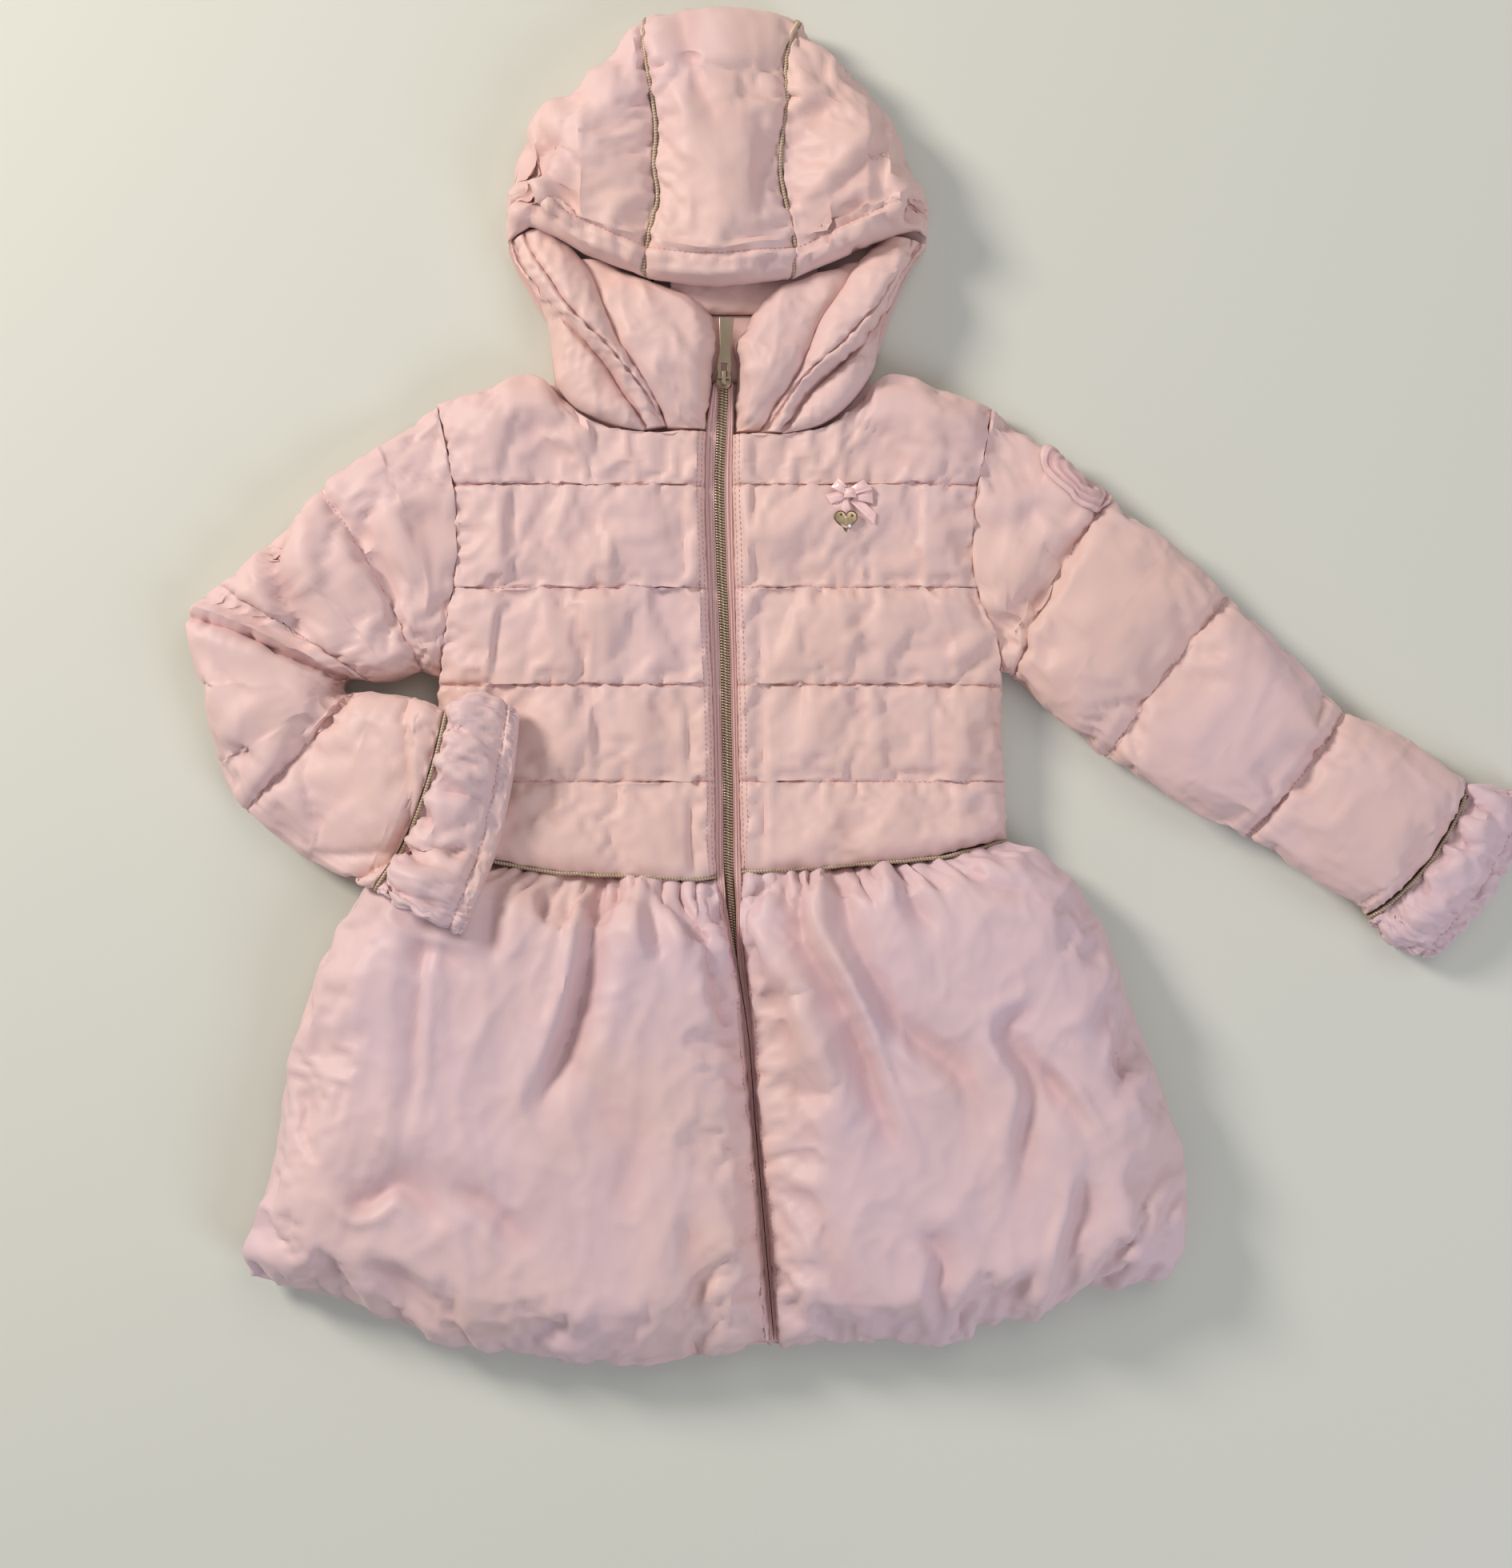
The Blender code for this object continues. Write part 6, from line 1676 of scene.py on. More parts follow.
@dataclass
class Sleeve:
    """A quilted sleeve from its armhole to the cuff seam."""

    side: Side
    lifted_from: Optional[float] = None
    around: int = 132
    noise: Noise = field(default_factory=lambda: Noise(37))
    grid: Optional[Array] = None
    stations: Optional[Array] = None

    def armhole(self, low: Array, top: Array) -> Callable:
        """Gives how far the armhole seam runs from the straight line between its ends."""
        outward = math.copysign(2 * SEAM_GAP, low[0])
        seam = SIDE_SEAM[self.side]

        def curve(shares: Array) -> Array:
            """Gives the way from the straight line at shares of it."""
            y = low[1] + (top[1] - low[1]) * shares
            straight = low + (top - low) * shares[:, None]
            return np.stack([x_at(seam, y) + outward, y], axis=-1) - straight

        return curve

    def build(self) -> None:
        """Makes the sleeve and its quilting stitches."""
        sections = np.array(SLEEVE[self.side], float)
        centres = (sections[:, 0:2] + sections[:, 2:4]) / 2
        gaps = np.linalg.norm(np.diff(centres, axis=0), axis=1)
        outer_gaps = np.linalg.norm(np.diff(sections[:, 2:4], axis=0), axis=1)
        places = [0.0]
        for k, gap in enumerate(np.maximum(gaps, 0.7 * outer_gaps)):
            places += list(k + graded(gap, STEP + 0.2)[1:])
        stations = np.array(places)
        table = smooth(np.arange(len(sections)), sections, stations)
        low, top = table[:, 0:2], table[:, 2:4]
        drawn = np.zeros(len(stations))
        for k, section in enumerate(sections):
            drawn += section[5] * np.exp(-(((stations - k) / 0.13) ** 2))
        height = (table[:, 4] - drawn)[:, None]
        start, end = self.armhole(low[0], top[0]), bow_out(low[-1], top[-1], CUFF_BULGE[self.side])
        down = (stations / stations[-1])[:, None, None]

        def plan(shares: Array) -> Array:
            """Gives the points across each station."""
            straight = low[:, None] + (top - low)[:, None] * shares[None, :, None]
            return straight + (1 - down) ** 3 * start(shares)[None] + down**3 * end(shares)[None]

        def floor(points: Array) -> Array:
            """Gives the height of what the sleeve lies on."""
            if self.lifted_from is None:
                return bare_floor(points)
            return body_under(points) * ease(stations - self.lifted_from)[:, None]

        outer, inner = flat_tube(plan, height, floor, 6.0, self.around)
        cloth = Cloth(outer, inner, around=True)
        turn = 2 * math.pi * np.arange(self.around) / self.around
        sewn = np.zeros(outer.shape[:2], bool) | (np.sin(turn) < -0.55)[None]
        sewn[[0, -1]] = True
        for k, section in enumerate(sections):
            if 0 < section[5] < 10:
                sewn[int(np.argmin(np.abs(stations - k)))] = True
        cloth.settle(sewn, 0.05, frames=16, most=5.0)
        cloth.push(self.relief(outer, stations, sections), 0.0)
        name = "sleeve_" + self.side.word
        made = Maker.cloth(name, cloth, BODICE_CLOTH, [name], lips=(0.3, 0, 0.3, 0))
        normals = cloth.normals()
        stitched = [k for k, section in enumerate(sections) if 0 < section[5] < 10]
        rows = [int(np.argmin(np.abs(stations - k))) for k in stitched]
        lines = []
        for row in rows:
            closed = np.r_[np.arange(self.around), 0]
            lines.append((cloth.outer[row][closed], normals[row][closed]))
        Maker.stitches("stitching_sleeve_" + self.side.word, lines)
        self.grid, self.stations = cloth.outer, stations

    def relief(self, outer: Array, stations: Array, sections: Array) -> Array:
        """Gives the creases, puckers and grooves of the sleeve.

        Args:
            outer: Its outer points.
            stations: The place of each row.
            sections: The sleeve's sections.

        Returns:
            The move outward in mm.
        """
        x, y, z = outer[..., 0], outer[..., 1], outer[..., 2]
        turn = 2 * math.pi * np.arange(self.around) / self.around
        top = np.clip(np.sin(turn) * 2.2 + 0.25, 0, 1)[None]
        run = path_lengths(outer.mean(axis=1))
        ring = path_lengths(outer[len(outer) // 2])[None]
        u, v = x + 0.6 * z, y + 0.4 * z
        ends = rise(np.minimum(run, run[-1] - run), 12)[:, None]
        move = crease_relief(x, y, SLEEVE_CREASES[self.side]) * top * ends
        move = move + 1.25 * ends * self.noise.crumple(u, v, 36)
        for k, section in enumerate(sections):
            if section[5] <= 0:
                continue
            away = np.abs(run - np.interp(k, stations, run))[:, None]
            move = move + puckers(self.noise, ring + 50 * k, away, 6.5, 9, 0.8)
            if section[5] < 10:
                move = move - 0.5 * np.exp(-((away / 1.2) ** 2))
        for away in (run[:, None], (run[-1] - run)[:, None]):
            move = move + puckers(self.noise, ring, away, 7, 10, 1.1) * rise(away, 5)
        under = np.clip(-np.sin(turn), 0, 1)[None]
        return move * (1 - 0.75 * under)


@dataclass
class Cuff:
    """A gathered cuff: a puffed tube drawn in by elastic before its double frill."""

    side: Side
    floor: Callable
    gathers: int = 22
    around: int = 240
    noise: Noise = field(default_factory=lambda: Noise(51))
    first_ring: Optional[Array] = None

    def build(self) -> None:
        """Makes the cuff, its elastic stitches and its inner frill."""
        sections = np.array(CUFF[self.side], float)
        stations = np.r_[np.linspace(0, 1, 8)[:-1], np.linspace(1, 2, 8)[:-1], np.linspace(2, 3, 8)[:-1], np.linspace(3, 4, 8)]
        table = smooth(np.arange(len(sections)), sections, stations)
        low, top, height = table[:, 0:2], table[:, 2:4], table[:, 4:5]
        end = bow_out(low[0], top[0], CUFF_BULGE[self.side])

        def plan(shares: Array) -> Array:
            """Gives the points across each station."""
            return low[:, None] + (top - low)[:, None] * shares[None, :, None] + end(shares)[None]

        outer, inner = flat_tube(plan, height, self.floor, 4.0, self.around)
        turn = 2 * math.pi * np.arange(self.around) / self.around
        place = stations[:, None]
        sway = 0.9 * self.noise.at(40 * turn[None], place * 6, 9) + 0.35 * self.noise.at(40 * turn[None], place * 14, 5)
        fold = np.abs(np.sin(self.gathers / 2 * turn[None] + 2.4 * sway)) ** 0.7 - 0.6
        ruffle = self.noise.at(46 * turn[None] + 60 * self.side.value, place * 1.5, 3.4)
        swell = np.interp(stations, (0, 0.2, 0.7, 1.3, 2.2, 2.8, 2.95), (0.4, 1.5, 1.0, 0.5, 1.0, 1.7, 0.6))[:, None]
        cloth = Cloth(outer, inner, around=True)
        self.first_ring = outer[0].copy()
        under = np.clip(-np.sin(turn), 0, 1)[None]
        sewn = np.zeros(outer.shape[:2], bool) | (np.sin(turn) < -0.5)[None] | (np.abs(place - 2.95) < 0.08)
        sewn[[0, -1]] = True
        cloth.settle(sewn, 0.09, frames=16, most=5.0)
        x, y, z = outer[..., 0], outer[..., 1], outer[..., 2]
        body = np.clip((2.95 - place) / 0.5, 0, 1) * rise(place, 0.4)
        move = swell * 1.5 * fold * np.clip((3.0 - place) / 0.1, 0, 1)
        move = move + 1.3 * body * self.noise.crumple(x + 0.7 * z, y + 0.7 * z, 20)
        move = move + 1.3 * crease_relief(x, y, CUFF_CREASES[self.side]) * body * np.clip(np.sin(turn) * 3, 0, 1)[None]
        move = move + 2.2 * ruffle * np.clip((place - 2.95) / 0.4, 0, 1)
        move = move - 1.8 * np.exp(-(((place - 2.95) / 0.1) ** 2))
        cloth.push(move * (1 - 0.8 * under), 0.0)
        name = "cuff_" + self.side.word
        made = Maker.cloth(name, cloth, SKIRT_CLOTH, [name], lips=(0.2, 0, 0.6, 0))
        normals = cloth.normals()
        row = int(np.argmin(np.abs(stations - 2.95)))
        closed = np.r_[np.arange(self.around), 0]
        Maker.stitches("stitching_cuff_" + self.side.word, [(cloth.outer[row][closed], normals[row][closed])])


@dataclass
class Hood:
    """The hood: a centre panel and two sides, with turned-up cheeks and a stand collar inside."""

    noise: Noise = field(default_factory=lambda: Noise(71))
    top_count: int = 74
    under_count: int = 26
    near_edges: dict = field(default_factory=dict)

    def section(self, x: float) -> tuple[Array, Array]:
        """Gives the outer and inner line of one slice of the hood.

        Args:
            x: The slice's place.

        Returns:
            The lines from the face edge over the crown to the nape, as y and z.
        """
        crown, brim, low, height = (float(np.interp(x, HOOD[:, 0], HOOD[:, k])) for k in range(1, 5))
        if NECK_BACK[2][0] < x < NECK_BACK[6][0]:
            low = float(y_at(NECK_BACK, np.array([x]))[0]) + 2 * SEAM_GAP
        hollow = float(rise(min(x - HOOD[0, 0], HOOD[-1, 0] - x), 60))
        away = min(abs(x - seam) - PIPED_GAP for seam in HOOD_SEAMS)
        seam = 1 - float(rise(max(away, 0), 8))
        span = crown - brim
        band = min(BRIM_BAND, 0.4 * span) / span
        shares = np.unique(np.r_[np.linspace(0, band, 9), np.linspace(band, 0.8, self.top_count - 22), 1 - 0.2 * np.linspace(1, 0, 15) ** 1.8])
        to_crown, to_face = (1 - shares) * span, shares * span
        level = stuffed(14, height - 5 * seam, [(to_crown, 46, 0), (to_face, 16, 0.72)])
        level -= 2.2 * np.exp(-(((to_face - band * span) / 2.2) ** 2)) * np.clip(span / 40, 0, 1)
        dip = 1.6 * seam
        bend = smooth([0, 1, 2, 3], [(crown, 14), (crown - 0.6, 9), (crown - 4, 4), (crown - 12, dip)], np.linspace(0, 3, 10)[1:])
        flat_y = np.linspace(crown - 12, low, self.under_count + 1)[1:]
        outer = np.concatenate([np.column_stack([brim + shares * span, level]), bend, np.column_stack([flat_y, np.full(self.under_count, dip)])])
        outer[-1, 1] = 1.6
        depth = min(HOOD_WALL, 0.32 * (crown - low))
        roof = HOOD_WALL + 0.3 + (0.5 + (HOOD_HOLLOW - 0.5) * hollow) * np.clip((1 - shares) * 1.6, 0, 1)
        back = crown - depth - np.linspace(0.1, 0.9, 9)
        inner = np.concatenate(
            [
                np.column_stack([brim + shares * (span - depth), np.minimum(roof, level - 4)]),
                np.column_stack([back, HOOD_WALL + 0.1 - 0.04 * np.arange(1, 10)]),
                np.column_stack([np.linspace(crown - depth - 1, low, self.under_count + 1)[1:], np.full(self.under_count, HOOD_WALL - 0.3)]),
            ]
        )
        return outer, inner

    def panel(self, name: str, low_x: float, high_x: float) -> Cloth:
        """Makes one panel of the hood between two seams.

        Args:
            name: The panel's name.
            low_x: Its lower x.
            high_x: Its higher x.

        Returns:
            Its cloth, for the piping.
        """
        places = low_x + (high_x - low_x) * graded(high_x - low_x, STEP)
        pairs = [self.section(float(x)) for x in places]
        outer = np.array([np.column_stack([np.full(len(pair[0]), x), pair[0]]) for x, pair in zip(places, pairs)])
        inner = np.array([np.column_stack([np.full(len(pair[1]), x), pair[1]]) for x, pair in zip(places, pairs)])
        cloth = Cloth(outer, inner)
        x, y, z = outer[..., 0], outer[..., 1], outer[..., 2]
        top = np.clip((z - 9) / 12, 0, 1)
        to_seam = np.min([np.abs(x - seam) for seam in HOOD_SEAMS], axis=0)
        brim = outer[:, :1, 1]
        to_band = np.abs(y - brim - BRIM_BAND)
        hold = rise(to_seam, 9) * rise(y - brim, 8)
        move = 1.3 * crease_relief(x, y, HOOD_CREASES) * top * hold
        move = move + 1.3 * hold * top * self.noise.crumple(x * 0.9, y * 0.9, 50)
        in_band = np.clip((BRIM_BAND + 2 - (y - brim)) / 4, 0, 1) * rise(y - brim, 4) * top
        move = move + 1.7 * in_band * self.noise.at(x, (y - brim) * 0.3, 7)
        move = move + puckers(self.noise, y, to_seam, 7, 11, 1.5) * rise(to_seam, 3) * np.clip(z / 10, 0, 1)
        move = move + puckers(self.noise, x + 20, to_band, 6, 9, 0.9) * top
        sewn = (z < 9) | (y - brim < 1.0) | (to_band < 1.2)
        sewn[[0, -1]] = True
        cloth.settle(sewn, 0.05, frames=16, most=5.0)
        cloth.push(move, 0.0)
        cloth.outer[..., 0] += self.sway(cloth.outer) * top
        made = Maker.cloth(name, cloth, BODICE_CLOTH, [name], lips=(0.0, 0.3, 0.0, 1.8))
        self.stitch(name, cloth, outer)
        return cloth

    def sway(self, points: Array) -> Array:
        """Gives how far the seams wander sideways near each point."""
        moved = np.zeros(points.shape[:-1])
        for seam, line in SEAM_SWAY.items():
            spots = np.asarray(line, float)
            near = np.exp(-(((points[..., 0] - seam) / 20) ** 2))
            moved = moved + near * smooth(spots[:, 0], spots[:, 1], np.clip(points[..., 1], spots[0, 0], spots[-1, 0]))
        return moved

    def stitch(self, name: str, cloth: Cloth, plain: Array) -> None:
        """Sews the row of stitches along the brim band of a panel.

        Args:
            name: The panel's name.
            cloth: Its finished cloth.
            plain: Its outer points before their creases.
        """
        normals = cloth.normals()
        path, out = [], []
        for i in range(len(plain)):
            j = int(np.argmin(np.abs(plain[i, :40, 1] - plain[i, 0, 1] - BRIM_BAND)))
            path.append(cloth.outer[i, j])
            out.append(normals[i, j])
        Maker.stitches("stitching_" + name, [(np.array(path), np.array(out))])

    def cheek(self, side: Side) -> None:
        """Makes the turned-up side of the hood: its outer panel, the rolled face edge and the strip inside it.

        Args:
            side: Which side.
        """
        table = CHEEK[side]
        count = len(table)
        lines = np.array([seen(row[:4]) for row in table]).reshape(count, 8)
        at = (count - 1) * graded(150, 1.5)
        lines = smooth(np.arange(count), lines, at).reshape(-1, 4, 2)
        edge, top = smooth(np.arange(count), np.array([row[4:] for row in table], float), at).T
        shares = np.concatenate([np.linspace(0, 1, 16)[:-1], np.linspace(1, 2, 13)[:-1], np.linspace(2, 3, 13)])
        strip = np.clip(shares.astype(int), 0, 2)
        part = (shares - strip)[None]
        plan = lines[:, strip] * (1 - part[..., None]) + lines[:, strip + 1] * part[..., None]
        widths = np.linalg.norm(np.diff(lines, axis=1), axis=2)
        levels = np.stack([edge, np.maximum(edge, top - 13), top - 4, np.maximum(18, top - 12)], axis=1)
        base = levels[:, strip] * (1 - part) + levels[:, strip + 1] * part
        bulge = np.minimum(widths * (0.42, 0.5, 0.4), (9.0, 8.0, 6.0))
        height = base + bulge[:, strip] * np.clip(4 * part * (1 - part), 0, 1) ** 0.62
        run = path_lengths(lines[:, 2])[:, None]
        ends = rise(np.minimum(run, run[-1] - run), 8)
        cloth = Cloth(with_height(plan, height), with_height(plan, CHEEK_FLOOR))
        width = widths[:, strip]
        to_crevice = np.abs(shares[None] - 1) * np.where(shares[None] < 1, widths[:, :1], widths[:, 1:2])
        to_seam = np.abs(shares[None] - 2) * np.where(shares[None] < 2, widths[:, 1:2], widths[:, 2:3])
        hold = rise(np.minimum(part, 1 - part) * width, 4) * ends
        move = 1.5 * hold * self.noise.crumple(plan[..., 0] * 1.4, plan[..., 1] * 0.7, 22)
        move = move + puckers(self.noise, run + 60 * side.value, to_seam, 8, 6, 1.5) * ends
        move = move + puckers(self.noise, run + 200, to_crevice, 9, 6, 1.2) * ends
        move = move - (1.4 * np.exp(-((to_crevice / 1.1) ** 2)) + 0.9 * np.exp(-((to_seam / 0.9) ** 2))) * ends
        cloth.push(move, CHEEK_FLOOR + 1)
        name = "hood_cheek_" + side.word
        made = Maker.cloth(name, cloth, BODICE_CLOTH, [name], lips=(0.4, 0.8, 0.4, 0.2))

    def collar(self, side: Side) -> None:
        """Makes one end of the padded stand collar beside the zip.

        Args:
            side: Which end.
        """
        out = side.value
        face = [(float(x) + out * 1.6, float(y)) for x, y in (seen([row[3]])[0] for row in CHEEK[side])]
        table = np.array(COLLAR[side], float)
        rows = smooth(np.arange(len(table)), table, (len(table) - 1) * graded(100, 1.7))
        shares = graded(60, 1.6)
        face_x = x_at(face, rows[:, 0])
        x = rows[:, 1:2] + (face_x[:, None] - rows[:, 1:2]) * shares[None]
        y = np.repeat(rows[:, 0:1], len(shares), axis=1)
        width = np.abs(face_x - rows[:, 1])[:, None]
        to_zip, to_face = shares[None] * width, (1 - shares)[None] * width
        edges = [(to_zip, 13, 0.12), (to_face, 13, 0.45)]
        z = stuffed(17.5, rows[:, 2:3], edges)
        under = CHEEK_FLOOR + 3.4 * np.clip((rows[:, 0:1] - 276) / 4, 0, 1) + 0 * x
        cloth = Cloth(np.stack([x, y, z], axis=-1), np.stack([x, y, under], axis=-1))
        to_foot = y - rows[0, 0]
        to_top = rows[-1, 0] - y
        hold = rise(np.minimum(np.minimum(to_zip, to_face), np.minimum(to_foot, to_top)), 10)
        fan = np.arctan2(y - 240, (x - rows[0, 1]) * out + 12) * 60
        move = 2.6 * hold * self.noise.crumple(x * 0.8 + y * 0.5, y * 0.6 - x * 0.3, 36)
        fold = self.noise.at(fan + 20 * out, to_foot * 0.25, 10)
        move = move + 2.4 * fold * np.exp(-to_foot / 24) * rise(to_foot, 6) * rise(to_zip, 5)
        move = move + puckers(self.noise, y, to_zip, 7, 8, 1.0)
        cloth.push(move * rise(to_top, 8), under + 1)
        name = "collar_" + side.word
        made = Maker.cloth(name, cloth, BODICE_CLOTH, [name], lips=(0.3, 0.3, 0.6, 1.0))

    def inner_band(self) -> None:
        """Makes the strip of lining that shows between the brim and the back of the collar."""
        across, up = graded(84, 2.0), graded(30, 1.8)
        x, y = -32 + 84 * across, 321.4 + 26 * up
        plan = np.stack(np.meshgrid(x, y), axis=-1)
        low = (up * 26)[:, None]
        height = 17.2 + 3.0 * rise(low, 7) + 0 * plan[..., 0]
        cloth = Cloth(with_height(plan, height), with_height(plan, 15.9))
        ripple = self.noise.at(plan[..., 0], low * 0.2, 8) * np.exp(-low / 14)
        cloth.push(1.3 * ripple * rise(low, 2) + 0.8 * self.noise.crumple(plan[..., 0], plan[..., 1], 16) * rise(low, 5))
        made = Maker.cloth("hood_inner_band", cloth, INNER_CLOTH, lips=(0.3, 0.3, 0.6, 0.3))

    def collar_back(self) -> None:
        """Makes the back of the stand collar, lying on the inside of the hood."""
        across, up = graded(92, 2.5), graded(38, 2.5)
        x = BACK_COLLAR_X[0] + (BACK_COLLAR_X[1] - BACK_COLLAR_X[0]) * across
        y = BACK_COLLAR_Y[0] + (BACK_COLLAR_Y[1] - BACK_COLLAR_Y[0]) * up
        plan = np.stack(np.meshgrid(x, y), axis=-1)
        to_edge = np.minimum((up * 38)[:, None], ((1 - up) * 38)[:, None])
        height = 14.0 + 1.6 * rise(to_edge, 5)
        cloth = Cloth(with_height(plan, height), with_height(plan, HOOD_WALL + 0.1))
        cloth.push(0.5 * self.noise.crumple(plan[..., 0], plan[..., 1], 20) * rise(to_edge, 5))
        made = Maker.cloth("collar_back", cloth, INNER_CLOTH, ["collar_back"], lips=(0.3, 0.3, 0.6, 0.3))

    def build(self) -> None:
        """Makes every piece of the hood and keeps the panels that carry piping."""
        right, left = HOOD_SEAMS
        self.near_edges["side_right"] = self.panel("hood_side_right", float(HOOD[0, 0]), right - PIPED_GAP)
        self.near_edges["centre"] = self.panel("hood_centre", right + PIPED_GAP, left - PIPED_GAP)
        self.near_edges["side_left"] = self.panel("hood_side_left", left + PIPED_GAP, float(HOOD[-1, 0]))
        for side in Side:
            self.cheek(side)
            self.collar(side)
        self.collar_back()
        self.inner_band()
        LOG.info("hood made")


@dataclass
class Piping:
    """The ribbed gold cord in the hood, waist and cuff seams."""

    radius: float = PIPING_RADIUS
    pitch: float = 1.7

    def lay(self, name: str, path: Array, closed: bool = False) -> None:
        """Lays the cord along a path.

        Args:
            name: The node that it stands for, and its own name.
            path: The path's points in mm.
            closed: Whether the path joins up.
        """
        if closed:
            path = np.concatenate([path, path[:1]])
        run = path_lengths(path)
        count = int(run[-1] / 0.42)
        at = np.linspace(0, run[-1], count + 1)
        fine = np.stack([np.interp(at, run, path[:, k]) for k in range(3)], axis=-1)
        kernel = np.ones(7) / 7
        for k in range(3):
            padded = np.pad(fine[:, k], 3, mode="wrap" if closed else "edge")
            fine[:, k] = np.convolve(padded, kernel, mode="valid")
        if closed:
            fine = fine[:-1]
        Maker.tube(
            name,
            fine,
            lambda s, t: self.radius * (1 + 0.13 * np.cos(2 * math.pi * s / self.pitch + t)),
            PIPING,
            [name],
            closed=closed,
            around=9,
            # Painted shade in the grooves, where the cord is thinnest.
            hollow=lambda s, t: np.clip(0.2 - 0.7 * np.cos(2 * math.pi * s / self.pitch + t), 0, 1),
        )

    def hood(self, name: str, seam: float, near: Array, far: Array) -> None:
        """Lays the cord in a seam of the hood.

        Args:
            name: The piping's name.
            seam: The seam's x.
            near: The edge line of the panel on one side.
            far: The edge line of the panel on the other side.
        """
        line = (near + far) / 2
        line[:, 2] += np.clip((line[:, 2] - 6) / 10, 0, 1) * 1.1
        line[:, 2] = np.maximum(line[:, 2], self.radius + SEAM_GAP)
        self.lay(name, line[:-1])

    def waist(self, side: Side, edge: Array) -> None:
        """Lays the cord along one front's waist seam.

        Args:
            side: Which front.
            edge: The lower edge of the bodice front.
        """
        order = np.argsort(edge[:, 0])
        x = np.linspace(edge[order[0], 0], edge[order[-1], 0], 160)
        z = np.interp(x, edge[order, 0], edge[order, 2])
        wobble = Noise(5).at(x, 0 * x, 13)
        self.lay("piping_waist_" + side.word, np.column_stack([x, y_at(WAIST, x) + 0.7 * wobble, z + 1.3]))

    def cuff(self, side: Side, sleeve_ring: Array, cuff_ring: Array) -> None:
        """Lays the cord round a cuff seam.

        Args:
            side: Which cuff.
            sleeve_ring: The last ring of the sleeve.
            cuff_ring: The first ring of the cuff.
        """
        toward = sleeve_ring.mean(axis=0) - cuff_ring.mean(axis=0)
        toward[2] = 0
        ring = cuff_ring + toward / np.linalg.norm(toward) * PIPED_GAP
        lowest = cuff_ring[:, 2].min() + self.radius + SEAM_GAP
        over = np.arange(len(ring)) <= len(ring) // 2
        ring[:, 2] = np.where(over, ring[:, 2] + 1.2, np.maximum(ring[:, 2], lowest))
        self.lay("piping_cuff_" + side.word, ring, closed=True)


